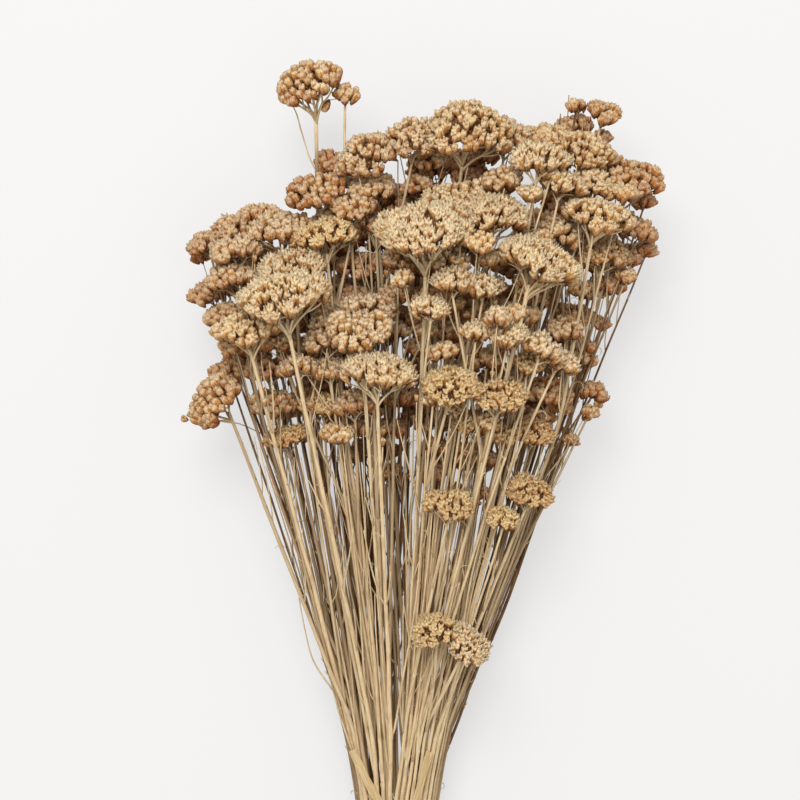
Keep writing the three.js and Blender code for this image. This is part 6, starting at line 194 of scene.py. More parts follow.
class Shape:
    """Points and faces of one piece, with two vectors on each point: where it is on its own part, and how that part looks."""

    def __init__(self):
        self.points, self.place, self.look = [], [], []
        self.quads, self.tris, self.quad_mat, self.tri_mat = [], [], [], []
        self.count = 0
        self.rods = {}
        self.buds = {}

    def add(self, points, place, look, quads, tris, material):
        """points and place are k shells of m points, look one row for each shell, quads and tris index one shell."""
        k, m = points.shape[:2]
        start = self.count + np.arange(k)[:, None, None] * m
        self.points.append(points.reshape(-1, 3))
        self.place.append(place.reshape(-1, 3))
        self.look.append(look.reshape(-1, 3) if look.ndim == 3 else np.repeat(look, m, axis=0))
        if len(quads):
            self.quads.append((quads[None] + start).reshape(-1, 4))
            self.quad_mat.append(np.full(k * len(quads), material))
        if len(tris):
            self.tris.append((tris[None] + start).reshape(-1, 3))
            self.tri_mat.append(np.full(k * len(tris), material))
        self.count += k * m

    def rod(self, rows, radii, sides, look, turn=0.0, ridge=0.0, material=0):
        """A thin round thing along rows, kept until flush() so that those of one size are made together."""
        self.rods.setdefault((len(rows), sides, material), []).append((rows, radii, np.broadcast_to(look, (len(rows), 3)), turn, ridge))

    def bud(self, form, base, axis, width, length, spin, look):
        self.buds.setdefault(form, []).append((base, axis, width, length, spin, look))

    def flush(self):
        for (m, n, material), rods in self.rods.items():
            rows = np.array([r[0] for r in rods], float)
            radii = np.array([r[1] for r in rods], float)
            look = np.array([r[2] for r in rods], float)
            turn = np.array([r[3] for r in rods], float)
            ridge = np.array([r[4] for r in rods], float)
            self.make_rods(rows, radii, look, turn, ridge, n, material)
        for form, buds in self.buds.items():
            cols = list(zip(*buds))
            self.make_buds(form, *[np.array(c, float) for c in cols])
        self.rods, self.buds = {}, {}

    def make_rods(self, rows, radii, look, turn, ridge, n, material):
        k, m = rows.shape[:2]
        along = unit(np.gradient(rows, axis=1))
        mean = unit(rows[:, -1] - rows[:, 0])
        ref = across(mean)[:, None]
        side = unit(np.cross(along, ref))
        up = np.cross(along, side)
        w = 2 * math.pi * np.arange(n) / n + turn[:, None]
        wave = 1 + ridge[:, None] * np.where(np.arange(n) % 2, -1, 1)
        cs, sn = (np.cos(w) * wave)[:, None, :, None], (np.sin(w) * wave)[:, None, :, None]
        r = radii[:, :, None, None]
        ring = rows[:, :, None] + r * (cs * side[:, :, None] + sn * up[:, :, None])
        step = np.linalg.norm(np.diff(rows, axis=1), axis=2)
        s = np.concatenate([np.zeros((k, 1)), np.cumsum(step, axis=1)], axis=1)
        place = np.concatenate([r * cs * np.ones_like(r), r * sn * np.ones_like(r), np.broadcast_to(s[:, :, None, None], ring.shape[:3] + (1,))], axis=3)
        lo = rows[:, 0] - along[:, 0] * radii[:, :1] * 0.25
        hi = rows[:, -1] + along[:, -1] * radii[:, -1:] * 0.35
        zero = np.zeros((k, 1))
        points = np.concatenate([ring.reshape(k, m * n, 3), lo[:, None], hi[:, None]], axis=1)
        place = np.concatenate([place.reshape(k, m * n, 3), np.stack([zero, zero, s[:, :1]], 2), np.stack([zero, zero, s[:, -1:]], 2)], axis=1)
        look = np.concatenate([np.repeat(look, n, axis=1), look[:, :1], look[:, -1:]], axis=1)
        quads, tris = rings_faces(m, n)
        self.add(points, place, look, quads, tris, material)

    def make_buds(self, form, base, axis, width, length, spin, look):
        shape, quads, tris = FORMS[int(form)]
        x = across(axis)
        y = np.cross(axis, x)
        c, s = np.cos(spin)[:, None], np.sin(spin)[:, None]
        x, y = x * c + y * s, y * c - x * s
        local = shape[None].repeat(len(base), 0)
        p = base[:, None] + (local[..., :1] * width[:, None, None]) * x[:, None] + (local[..., 1:2] * width[:, None, None]) * y[:, None]
        p = p + (local[..., 2:] * length[:, None, None]) * axis[:, None]
        self.add(p, local, look, quads, tris, 1)

    def build(self, name, materials):
        self.flush()
        points = np.concatenate(self.points)
        # what would dip under the floor is pressed up onto it
        low = points[:, 2] < 2.4
        points[low, 2] = 0.2 + (np.maximum(points[low, 2], -6.0) + 6.0) * (2.2 / 8.4)
        points /= 1000.0
        quads = np.concatenate(self.quads) if self.quads else np.zeros((0, 4), int)
        tris = np.concatenate(self.tris) if self.tris else np.zeros((0, 3), int)
        me = bpy.data.meshes.new(name)
        me.vertices.add(len(points))
        me.vertices.foreach_set("co", points.astype(np.float32).ravel())
        loops = np.concatenate([quads.ravel(), tris.ravel()]).astype(np.int32)
        me.loops.add(len(loops))
        me.loops.foreach_set("vertex_index", loops)
        starts = np.concatenate([np.arange(len(quads)) * 4, len(quads) * 4 + np.arange(len(tris)) * 3]).astype(np.int32)
        me.polygons.add(len(starts))
        me.polygons.foreach_set("loop_start", starts)
        me.polygons.foreach_set("material_index", np.concatenate(self.quad_mat + self.tri_mat).astype(np.int32))
        me.polygons.foreach_set("use_smooth", np.ones(len(starts), bool))
        for key, rows in (("place", self.place), ("look", self.look)):
            a = me.attributes.new(key, "FLOAT_VECTOR", "POINT")
            a.data.foreach_set("vector", np.concatenate(rows).astype(np.float32).ravel())
        for m in materials:
            me.materials.append(m)
        me.update(calc_edges=True)
        me.validate()
        ob = bpy.data.objects.new(name, me)
        bpy.context.scene.collection.objects.link(ob)
        return ob


def rings_faces(m, n):
    """Faces of m rings of n points with a fan at both ends; the end points come after the rings, low one first."""
    i = np.arange(n)
    j = (i + 1) % n
    quads = np.concatenate([np.stack([k * n + i, k * n + j, (k + 1) * n + j, (k + 1) * n + i], 1) for k in range(m - 1)])
    lo, hi = m * n, m * n + 1
    tris = np.concatenate([np.stack([np.full(n, lo), j, i], 1), np.stack([np.full(n, hi), (m - 1) * n + i, (m - 1) * n + j], 1)])
    return quads, tris


def bud_form(rng, n, rings, middle):
    """A dry bud of overlapping bracts, one unit wide and one long: rings of [height, radius, ridge, tip, turned by half]."""
    points = []
    for z, r, ridge, tip, half in rings:
        for i in range(n):
            up = 1 if (i + half) % 2 == 0 else -1
            w = 2 * math.pi * (i + rng.uniform(-0.12, 0.12)) / n
            rr = r * (1 + ridge * up + rng.uniform(-0.04, 0.04))
            points.append((rr * math.cos(w), rr * math.sin(w), z + tip * up * rng.uniform(0.5, 1.5)))
    points += [(0, 0, rings[0][0]), (0, 0, middle)]
    quads, tris = rings_faces(len(rings), n)
    return np.array(points), quads, tris


rng = np.random.default_rng(11)
CLOSED = [(0.0, 0.13, 0, 0, 0), (0.22, 0.37, 0.05, 0.01, 0), (0.60, 0.50, 0.08, 0.03, 0), (0.88, 0.38, 0.11, 0.05, 0), (1.0, 0.17, 0.14, 0.05, 0)]
OPEN = [(0.0, 0.12, 0, 0, 0), (0.30, 0.30, 0.06, 0.01, 0), (0.70, 0.47, 0.09, 0.02, 0), (0.93, 0.46, 0.12, 0.065, 0), (1.02, 0.24, 0.20, 0.09, 0)]
MIDDLE = [(0.0, 0.14, 0, 0, 0), (0.36, 0.38, 0.06, 0.01, 0), (0.80, 0.50, 0.10, 0.04, 0), (0.99, 0.26, 0.18, 0.06, 0)]
PLAIN = [(0.0, 0.15, 0, 0, 0), (0.36, 0.38, 0.06, 0, 0), (0.78, 0.50, 0.09, 0.03, 0), (0.98, 0.29, 0.18, 0.06, 0)]
NARROW = [(0.0, 0.12, 0, 0, 0), (0.42, 0.30, 0.05, 0, 0), (0.82, 0.50, 0.12, 0.05, 0), (1.0, 0.36, 0.26, 0.10, 0)]
FORMS = [bud_form(rng, 8, CLOSED, 0.99) for _ in range(4)] + [bud_form(rng, 8, OPEN, 0.93) for _ in range(4)]
FORMS += [bud_form(rng, 6, MIDDLE, 0.94) for _ in range(4)] + [bud_form(rng, 6, PLAIN, 0.94) for _ in range(4)]
FORMS += [bud_form(rng, 6, NARROW, 0.82) for _ in range(4)]
CORE_TURNS = 12
CORE_QUADS, CORE_TRIS = rings_faces(6, CORE_TURNS)


# ---------------------------------------------------------------- curves


def smooth(rows, step):
    """rows of [x, y, z, radius] drawn again as a smooth curve with about that step."""
    rows = np.array(rows, float)
    d = np.linalg.norm(np.diff(rows[:, :3], axis=0), axis=1)
    t = np.concatenate([[0], np.cumsum(d)])
    slope = np.zeros_like(rows)
    sec = np.diff(rows, axis=0) / d[:, None]
    slope[1:-1] = (sec[:-1] * d[1:, None] + sec[1:] * d[:-1, None]) / (d[:-1] + d[1:])[:, None]
    slope[0], slope[-1] = sec[0], sec[-1]
    n = max(3, int(round(t[-1] / step)) + 1)
    return at(rows, t, slope, np.linspace(0, t[-1], n)), t[-1]


def at(rows, t, slope, s):
    k = np.clip(np.searchsorted(t, s, side="right") - 1, 0, len(t) - 2)
    h = (t[k + 1] - t[k])[:, None]
    u = ((s - t[k]) / h[:, 0])[:, None]
    return (2 * u**3 - 3 * u**2 + 1) * rows[k] + (u**3 - 2 * u**2 + u) * h * slope[k] + (3 * u**2 - 2 * u**3) * rows[k + 1] + (u**3 - u**2) * h * slope[k + 1]


def bend(a, b, c, n):
    """n points along the curve from a to c that leaves a towards b."""
    u = np.linspace(0, 1, n)[:, None]
    return (1 - u) ** 2 * a + 2 * u * (1 - u) * b + u**2 * c


CURVES = [[smooth(rows, 9.0)[0] for rows in stem] for stem in STRANDS]
# points on every strand, to keep buds and twigs off the others
SPOTS = []
for k, stem in enumerate(STRANDS):
    for i, rows in enumerate(stem):
        fine = smooth(rows, 2.5)[0]
        SPOTS.append(np.column_stack([fine, np.full(len(fine), k * 10 + i)]))
SPOTS = np.concatenate(SPOTS)
PLACED = []
EYE = np.array([-15.685, 73.035, 1411.0])
# the bunch's lower and upper surface along its length, for the painted shade that darkens what lies deep inside
LEVELS = np.arange(SPOTS[:, 1].min(), SPOTS[:, 1].max(), 12.0)
UNDER, OVER = [], []
for y in LEVELS:
    z = SPOTS[np.abs(SPOTS[:, 1] - y) < 9, 2]
    UNDER.append(np.percentile(z, 3))
    OVER.append(np.percentile(z, 96))


def depth(points):
    """0 on top of the bunch as it lies, 1 at its underside."""
    under, over = np.interp(points[:, 1], LEVELS, UNDER), np.interp(points[:, 1], LEVELS, OVER)
    return np.clip((over - points[:, 2]) / np.maximum(over - under, 6.0), 0, 1)


# where the flower heads are, to keep side shoots out of them
CAPS = np.array([[*row[:3], row[6]] for stem in HEADS for row in stem])


def clusters(rng, p, k):
    """p sorted into k near groups: the group of each."""
    if k <= 1:
        return np.zeros(len(p), int)
    centre = p[rng.permutation(len(p))[:k]].copy()
    for _ in range(8):
        own = np.argmin(((p[:, None] - centre[None]) ** 2).sum(2), axis=1)
        for j in range(k):
            if (own == j).any():
                centre[j] = p[own == j].mean(0)
    return own


def grade(c, number):
    """How finely a head's buds are made: 0 in front, 1 deeper in the bunch, 2 at the back."""
    if number > 130 or c[2] < 52:
        return 2
    return 1 if c[2] < 84 else 0


def head(shape, strand, own_id, row, kind, fine, seed):
    """One flat-topped flower head at the end of a strand: forks, finer twigs, and tufts of buds."""
    c, a, big, tone = np.array(row[:3]), unit(np.array(row[3:6])), row[6], row[7]
    if seed == 501:
        a = unit(a + np.array([-0.22, 0, 0]))
        c, big = c + np.array([-2.6, 1.5, 0]), big * 0.88
    # painted shade: a head lying lower in the bunch is toned browner
    tone = min(1.0, tone + 0.30 * float(np.clip((95 - c[2]) / 60, 0, 1)))
    rng = np.random.default_rng(seed)
    width, length, opened, gold, group, gap, draw = STYLE[kind]
    if fine:
        width, length = width * (1.06 if fine == 1 else 1.20), length * 1.04
    length = min(length, 0.70 * big + 2.4)
    width = min(width, 0.45 * big + 1.9)
    # its near rim hangs a little lower than its far one, as seen from above the middle of the bunch
    tow = unit(EYE - c)
    least = 0.10 if kind == "c" else 0.20
    # the low heads at the front show more of their tops
    if seed in (578, 579):
        least = 0.66
    elif c[1] < 50 and c[2] > 65 and kind in "gtb":
        least = 0.44
    if a @ tow < least:
        a = unit(a + (least + 0.02 - a @ tow) * tow)
    if kind == "c" and a @ tow > 0.24 and seed not in (578, 579):
        a = unit(a + (0.22 - a @ tow) * tow)
    # a head seen from higher up in the picture is a taller dome, tilted less
    tall_r = (0.62 if big > 9 else 0.66) * big
    if seed in (578, 579):
        tall_r *= 1.30
    elif a[2] > 0.38 and least < 0.3:
        tall_r *= 1 + 1.35 * (a[2] - 0.38)
        flat_way = math.hypot(a[0], a[1])
        a = np.array([a[0] / flat_way * 0.925, a[1] / flat_way * 0.925, 0.38])
    x = across(a)
    y = np.cross(a, x)
    wide_r = (0.95 if seed in (576, 570) else 1.0 if kind == "c" or seed == 501 else 1.09) * max(1.15 * (big / 0.97 - 0.30 * width), 0.80 * big)
    last = math.radians(106 if big > 9 else 98)
    n = max(5, int(round(math.pi * 1.40 * wide_r**2 / (0.87 * (width * 0.86) ** 2))))
    u = (np.arange(n) + 0.5) / n
    turn = np.arange(n) * 2.399963 + rng.uniform(0, 6.3) + rng.normal(0, 0.10, n)
    theta = np.arccos(1 - u * (1 - math.cos(last))) + rng.normal(0, 0.16 / math.sqrt(n), n)
    theta = np.clip(theta, 0, last)
    rho = np.sin(theta) * (1 - 0.10 / math.sqrt(n))
    phases = rng.uniform(0, 6.3, 3)

    def lobe(w):
        return 1 + 0.08 * np.sin(2 * w + phases[0]) + 0.07 * np.sin(3 * w + phases[1]) + 0.05 * np.sin(5 * w + phases[2])

    lobes = lobe(turn)
    out = np.column_stack([np.cos(turn), np.sin(turn)])
    p = out * rho[:, None]
    flat = p * (wide_r * lobes)[:, None]
    lean = np.clip(theta * 0.34 + rng.normal(0, 0.08, n), 0, 1.2)
    waves = rng.uniform(0, 6, 2)

    def swell(q, r):
        return 0.075 * big * (np.sin(2.9 * q[:, 0] + waves[0]) + np.sin(3.5 * q[:, 1] + waves[1])) * (0.4 + r)

    rise = tall_r * np.cos(theta) - 0.10 * big + swell(p, rho) + rng.normal(0, min(0.025 * big, 0.35), n)
    # a few rounded lobes with deeper gaps between them
    part = clusters(rng, flat, max(1, int(round(n / 13))))
    for j in range(part.max() + 1):
        m = part == j
        if m.any():
            flat[m] += (flat[m].mean(0) - flat[m]) * 0.05
            rise[m] += rng.normal(0, min(0.05 * big, 0.9))
            edge = np.linalg.norm(flat[m] - flat[m].mean(0), axis=1)
            rise[m] -= 0.6 * (edge / max(edge.max(), 1e-6)) ** 2
    tip = c + flat[:, :1] * x + flat[:, 1:] * y + rise[:, None] * a
    swing = rng.normal(0, 0.09, (n, 3))
    axis = unit(np.cos(lean)[:, None] * a + np.sin(lean)[:, None] * (out[:, :1] * x + out[:, 1:] * y) + swing)
    size = rng.uniform(0.84, 1.12, n) if kind not in "cg" else rng.uniform(0.94, 1.08, n)
    wide, tall = width * size * rng.uniform(0.92, 1.08, n), length * size * rng.uniform(0.93, 1.07, n)
    base = tip - axis * tall[:, None]
    # tufts of a few buds, drawn together at the foot, the middle ones a little higher
    own = clusters(rng, np.column_stack([flat, rise]), max(1, int(round(n / group))))
    between = np.zeros(n)
    for j in range(own.max() + 1):
        m = own == j
        if m.any():
            mid, way = tip[m].mean(0), unit(axis[m].mean(0))
            edge = np.linalg.norm(tip[m] - mid, axis=1)
            tip[m] += (mid - tip[m]) * gap + way * (rng.normal(0, 0.45) - (0.60 if kind == "c" else 0.38 if kind == "g" else 0.24) * width * (edge / max(edge.max(), 1e-6))[:, None] ** 2)
            base[m] += (base[m].mean(0) - base[m]) * draw
            # painted shade between tufts: a tuft's outer buds get a browner tone
            between[m] = (0.24 if kind == "c" else 0.17 if kind == "g" else 0.10) * (edge / max(edge.max(), 1e-6)) ** 2 + rng.normal(-0.06, 0.07)
    axis = unit(tip - base)
    # what would stand in another strand, or in a bud of another head, moves off it or is left out
    keep = np.ones(n, bool)
    near = SPOTS[(np.abs(SPOTS[:, :3] - c).max(1) < big + 14) & (SPOTS[:, 4] != own_id)]
    for _ in range(2):
        for share in (0.35, 0.72):
            mid = base + axis * (tall * share)[:, None]
            if len(near):
                d = mid[:, None] - near[None, :, :3]
                far_off = np.linalg.norm(d, axis=2) - near[None, :, 3] - 0.42 * wide[:, None]
                worst = far_off.argmin(1)
                short = -far_off[np.arange(n), worst]
                push = unit(d[np.arange(n), worst])
                move = np.clip(short, 0, 2.0)[:, None] * push
                tip += move
                base += move * 0.6
                keep &= short < 2.6
                axis = unit(tip - base)
    if PLACED:
        others = np.concatenate(PLACED)
        others = others[np.abs(others[:, :3] - c).max(1) < big + 12]
        if len(others):
            mid = base + axis * (tall * 0.6)[:, None]
            d = np.linalg.norm(mid[:, None] - others[None, :, :3], axis=2)
            keep &= (d > 0.30 * (wide[:, None] + others[None, :, 3])).all(1)
    keep &= (tip[:, 2] > 0.6) & (base[:, 2] > 0.6)
    if keep.sum() < 3:
        keep[:] = True
    theta, tip, base, axis, wide, tall, own, between = theta[keep], tip[keep], base[keep], axis[keep], wide[keep], tall[keep], own[keep], between[keep]
    n = len(theta)
    PLACED.append(np.column_stack([base + axis * (tall * 0.6)[:, None], wide]))
    seeds = rng.uniform(0, 1, n)
    # painted shade: buds round a head's rim and at the edges of each tuft are toned browner
    tones = np.clip(tone - 0.06 + (0.20 if kind in "cg" else 0.30) * np.clip(theta / last, 0, 1) ** 2.5 + between + rng.normal(0, 0.06, n), 0, 1)
    golds = np.clip(gold + rng.normal(0, 0.12, n), 0, 1)
    for j in range(n):
        form = (4 if rng.uniform() < opened else 0) + rng.integers(4) if fine == 0 else (8 if fine == 1 else 12) + rng.integers(4)
        if kind in "cg" or (fine == 0 and kind in "pt" and form >= 4):
            form = 16 + rng.integers(4)
        shape.bud(int(form), base[j], axis[j], wide[j], tall[j], rng.uniform(0, 6.3), (tones[j], golds[j], seeds[j]))
    # the close mass of short stalks and bracts under the buds
    w = np.arange(CORE_TURNS) / CORE_TURNS * 2 * math.pi
    rows = []
    sink = 0.66 if kind in "cg" else 0.72
    for deg, inner in ((28, 1), (56, 1), (76, 1), (79, 0), (56, 0), (28, 0)):
        angle = math.radians(deg)
        q = np.column_stack([np.cos(w), np.sin(w)]) * math.sin(angle)
        lean_ = angle * 0.34
        r = wide_r * lobe(w) * (0.97 - 0.55 * width / wide_r) * rng.uniform(0.92, 1.05, CORE_TURNS)
        up = tall_r * math.cos(angle) - 0.10 * big + swell(q, math.sin(angle)) * 0.8
        sunk = (sink * length + inner * min(2.2 + 0.05 * big, 0.4 * big)) + rng.normal(0, 0.3, CORE_TURNS)
        flat_ = q * r[:, None] - np.column_stack([np.cos(w), np.sin(w)]) * (sunk * math.sin(lean_))[:, None]
        rows.append(c + flat_[:, :1] * x + flat_[:, 1:] * y + (up - sunk * math.cos(lean_))[:, None] * a)
    poles = [c + (tall_r * 0.98 - 0.10 * big - sink * length - min(2.2 + 0.05 * big, 0.4 * big)) * a, c + (tall_r - 0.10 * big - sink * length) * a]
    core = np.concatenate(rows + [np.array(poles)])
    if core[:, 2].min() > 0.8 and big > 6.5:
        local = np.column_stack([core - c, ]) * 0.21
        local[:, 2] = np.concatenate([np.full(3 * CORE_TURNS, 0.12), np.full(3 * CORE_TURNS, 0.04), [0.12, 0.04]]) + rng.uniform(-0.04, 0.06, len(core))
        # the core is toned browner than its buds: partly the brown of the bract bases, partly painted shade under the
        # buds
        shape.add(core[None], local[None], np.array([[min(1, tone + 0.45), float(gold), rng.uniform(0.3, 0.7)]]), CORE_QUADS, CORE_TRIS, 1)
        solid = True
    else:
        solid = False
    # the twigs
    thick = strand[-1, 3]
    fork = strand[-1, :3]
    twig_look = (min(1, tone * 0.8), rng.uniform(), rng.uniform())
    tufts, members = [], []
    for j in np.unique(own):
        m = np.where(own == j)[0]
        mid, way = base[m].mean(0), unit(axis[m].mean(0))
        reach = np.linalg.norm(mid - fork)
        tufts.append(mid + (way * 0.5 if solid else -way * min(0.30 * length, 0.35 * reach) - a * min(0.1 * length, 0.1 * reach)))
        members.append(m)
    tufts = np.array(tufts)
    groups = clusters(rng, tufts, max(1, min(7, int(round(len(tufts) / 3.4)))))
    for g in np.unique(groups):
        mine = np.where(groups == g)[0]
        goal = tufts[mine].mean(0)
        aside = goal - fork
        aside = np.linalg.norm(aside - a * (aside @ a)) / big
        down = 0.5 + big * (0.06 + 0.42 * aside) * rng.uniform(0.55, 1.25)
        start = down_strand(strand, down)
        run = goal - start
        dist = np.linalg.norm(run)
        if len(mine) == 1:
            split, turn_in = start, unit(0.75 * a + 0.5 * unit(run))
            thin = thick * 0.50
        else:
            split = start + run * rng.uniform(0.48, 0.60)
            turn_in = unit(0.30 * a + 0.80 * unit(run))
            rows = bend(start, start + turn_in * dist * 0.28, split, 6 if fine == 0 else 4)
            shape.rod(rows, np.linspace(thick * 0.80, thick * 0.58, len(rows)), 6 if fine == 0 else 5, twig_look, rng.uniform(0, 6))
            turn_in = unit(split - (start + turn_in * dist * 0.28))
            thin = thick * 0.52
        for t in mine:
            far_end = tufts[t]
            gone = np.linalg.norm(far_end - split)
            rows = bend(split - turn_in * 0.4, split + unit(turn_in + 0.25 * rng.normal(0, 1, 3)) * gone * 0.42, far_end, 5 if fine == 0 else 3)
            shape.rod(rows, np.linspace(max(0.36, thin), max(0.30, thin * 0.72), len(rows)), 5 if fine == 0 else 4, twig_look, rng.uniform(0, 6))
            for b in members[t] if not solid or fine == 0 and kind == "r" else ():
                foot = base[b] + axis[b] * tall[b] * 0.06
                way = unit(far_end - rows[-2])
                rod = bend(far_end - way * 0.35, far_end + way * np.linalg.norm(foot - far_end) * 0.45, foot, 3 if fine == 0 and big > 12 else 2)
                shape.rod(rod, (0.27, 0.24, 0.26)[: len(rod)], 3, twig_look, rng.uniform(0, 6))


def grow(rng, start, along, side, long, own_id, open_out=0.45, wander=0.09):
    """A side shoot: points from a stalk outwards and then up beside it, kept clear of the other stalks; None if there is no way."""
    m = max(4, int(long / 7) + 2)
    step = long / (m - 1)
    lane = np.zeros((m, 3))
    lane[0] = start
    waver = rng.normal(0, wander, (m, 3))
    for k in range(1, m):
        lane[k] = lane[k - 1] + unit(along + side * open_out * (1 - 0.75 * k / m) + waver[k]) * step
    near = SPOTS[(np.abs(SPOTS[:, :3] - lane.mean(0)).max(1) < long * 0.6 + 8)]
    near = near[~((near[:, 4] == own_id) & (np.linalg.norm(near[:, :3] - start, axis=1) < 9))]
    for _ in range(14):
        d = lane[1:, None] - near[None, :, :3]
        off = np.linalg.norm(d, axis=2) - near[None, :, 3] - 0.75
        worst = off.argmin(1)
        short = np.clip(-off[np.arange(m - 1), worst], 0, 1.5)
        lane[1:] += unit(d[np.arange(m - 1), worst]) * short[:, None]
        lane[2:-1] += ((lane[1:-2] + lane[3:]) / 2 - lane[2:-1]) * 0.3
    d = lane[1:, None] - near[None, :, :3]
    off = (np.linalg.norm(d, axis=2) - near[None, :, 3]).min(1)
    bad = np.where((off < 0.15) | (lane[1:, 2] < 1.0))[0]
    if len(bad):
        lane = lane[: bad[0] + 1]
    return lane if len(lane) > 3 else None


SHOOTS = []
TOP_Y = max(row[1] for stem in HEADS for row in stem)


def shoots(shape, stem, i, tone, row):
    """Thin side shoots on a strand, some with a small tuft of buds and some bare and broken off."""
    global SPOTS
    rng = np.random.default_rng(20000 + stem * 10 + i)
    curve = CURVES[stem][i]
    total = len(curve)
    top = (TOP_Y - row[1]) / 0.6 < 260
    if int(row[8]) < 3:
        return
    for _ in range(int(rng.integers(4, 10)) if total > 16 and top else int(rng.integers(2, 5)) if total > 16 else int(rng.integers(0, 3))):
        k = int(total * (rng.uniform(0.62, 0.93) if top and rng.uniform() < 0.7 else rng.uniform(0.36, 0.90)))
        if k > total - 4 or k < 2:
            continue
        along = unit(curve[k + 1, :3] - curve[k - 1, :3])
        w = rng.uniform(0, 2 * math.pi)
        first = across(along)
        side = unit(first * math.cos(w) + np.cross(along, first) * math.sin(w) + np.array([0, 0, 0.35]))
        aside = curve[k, 0] - BAND_MIDDLE[0]
        if abs(aside) > 0.55 * np.interp(curve[k, 1], (BAND_MIDDLE[1], TOP_Y - 120), (18, 118)):
            side[0] = -math.copysign(side[0], aside)
        low = (TOP_Y - curve[k, 1]) / 0.6
        across_px = 400 + (curve[k, 0] - EYE[0]) / 0.18 / (1411 - curve[k, 2]) * 400
        inner = 405 < across_px < 505 and 300 < low < 520 and curve[k, 2] < 80
        bare = rng.uniform() < (0.14 if low < 330 else 0.35 if inner else 0.80 if low < 430 else 0.97)
        long = rng.uniform(12, 46) if bare else rng.uniform(24, 66)
        lane = grow(rng, curve[k, :3] + side * curve[k, 3] * 0.6, along, side, long, stem * 10 + i, rng.uniform(0.3, 0.6))
        if lane is None:
            continue
        thick = min(curve[k, 3] * 0.55, rng.uniform(0.42, 0.66))
        radii = np.linspace(thick, thick * (0.5 if bare else 0.75), len(lane))
        # painted shade: a shoot is toned darker the deeper it lies in the bunch
        look = np.column_stack([np.clip(0.15 + 0.75 * depth(lane) ** 1.2 + rng.normal(0, 0.1), 0, 1), np.full(len(lane), rng.uniform()), np.full(len(lane), rng.uniform())])
        big = rng.uniform(4.6, 10.5)
        tip = lane[-1]
        a = unit(0.6 * unit(lane[-1] - lane[-3]) + np.array([0, 0.6, 0.1]))
        c = tip + a * big * 0.85
        if not bare:
            if (np.linalg.norm(CAPS[:, :3] - c, axis=1) < 0.8 * CAPS[:, 3] + big).any():
                bare = True
            elif not ((np.abs(CAPS[:, 0] - c[0]) < 16) & (CAPS[:, 1] > c[1] + 6)).any() or (np.linalg.norm(CAPS[:, :2] - c[:2], axis=1) < 34).sum() < 3:
                bare = True
        shape.rod(np.array(lane), radii, 5, look, rng.uniform(0, 6), 0.0) if len(lane) else None
        if bare and low < 400 and rng.uniform() < 0.35:
            # one bud left on it
            width = rng.uniform(2.6, 3.6)
            shape.bud(8 + int(rng.integers(4)), lane[-1] - unit(lane[-1] - lane[-2]) * 0.3, unit(lane[-1] - lane[-2]), width, width * 1.55, rng.uniform(0, 6.3), (min(1, row[7] + 0.1), 0.4, rng.uniform()))
        if not bare:
            strand = np.column_stack([lane, radii])
            # painted shade: the shoot's head is toned browner when it lies low or inside the bundle's middle
            SHOOTS.append((shape, strand, stem * 10 + i, [*c, *a, big, float(np.clip((0.65 if inner else 0.25) + 0.5 * row[7] + 0.35 * (1 - c[2] / 110) + rng.normal(0, 0.1), 0, 1))], rng.choice(list("ptb")), int(21000 + stem * 100 + i * 10 + len(SHOOTS) % 10)))
        SPOTS = np.concatenate([SPOTS, np.column_stack([lane[1:], radii[1:], np.full(len(lane) - 1, 5000 + len(SHOOTS))])])


def forks():
    """Long thin side stalks that leave a stalk low down and run up inside the bundle."""
    global SPOTS
    rng = np.random.default_rng(4711)
    made = 0
    for _ in range(420):
        k = int(rng.integers(len(CURVES)))
        i = int(rng.integers(len(CURVES[k])))
        curve = CURVES[k][i]
        j = int(rng.integers(2, max(5, int(len(curve) * 0.40))))
        if j > len(curve) - 5 or not BAND_MIDDLE[1] + 16 < curve[j, 1] < BAND_MIDDLE[1] + 120:
            continue
        along = unit(curve[j + 2, :3] - curve[j, :3])
        aside = BAND_MIDDLE[0] - curve[j, 0]
        side = unit(np.array([aside / 40 + rng.normal(0, 0.5), 0.0, rng.normal(0, 0.5)]))
        long = rng.uniform(90, 200)
        lane = grow(rng, curve[j, :3] + side * curve[j, 3] * 0.5, along, side, long, k * 10 + i, rng.uniform(0.06, 0.20), 0.035)
        if lane is None:
            continue
        inside = (np.linalg.norm(lane[:, None] - CAPS[None, :, :3], axis=2) < 0.9 * CAPS[None, :, 3]).any(1) | (lane[:, 1] > TOP_Y - 205)
        if inside.any():
            lane = lane[: int(np.argmax(inside)) + 1]
        if len(lane) < 9:
            continue
        thick = rng.uniform(0.50, 0.82)
        radii = np.linspace(thick, thick * 0.55, len(lane)) * (1 + 0.06 * np.sin(np.arange(len(lane)) * 1.7))
        radii[-1] *= 0.6
        # painted shade: a fork is toned darker the deeper it lies in the bundle
        look = np.column_stack([np.clip(0.12 + 0.80 * depth(lane) ** 1.2 + rng.normal(0, 0.1), 0, 1), np.full(len(lane), rng.uniform()), np.full(len(lane), rng.uniform())])
        SHAPES[k].rod(np.array(lane), radii, 6, look, rng.uniform(0, 6), 0.0)
        SPOTS = np.concatenate([SPOTS, np.column_stack([lane[1:], radii[1:], np.full(len(lane) - 1, 7000 + made)])])
        made += 1
        if made >= 100:
            break


def down_strand(strand, down):
    """The point that far below a strand's upper end."""
    k = len(strand) - 1
    while k > 0:
        d = np.linalg.norm(strand[k, :3] - strand[k - 1, :3])
        if down <= d:
            return strand[k, :3] + (strand[k - 1, :3] - strand[k, :3]) * (down / d)
        down -= d
        k -= 1
    return strand[0, :3]


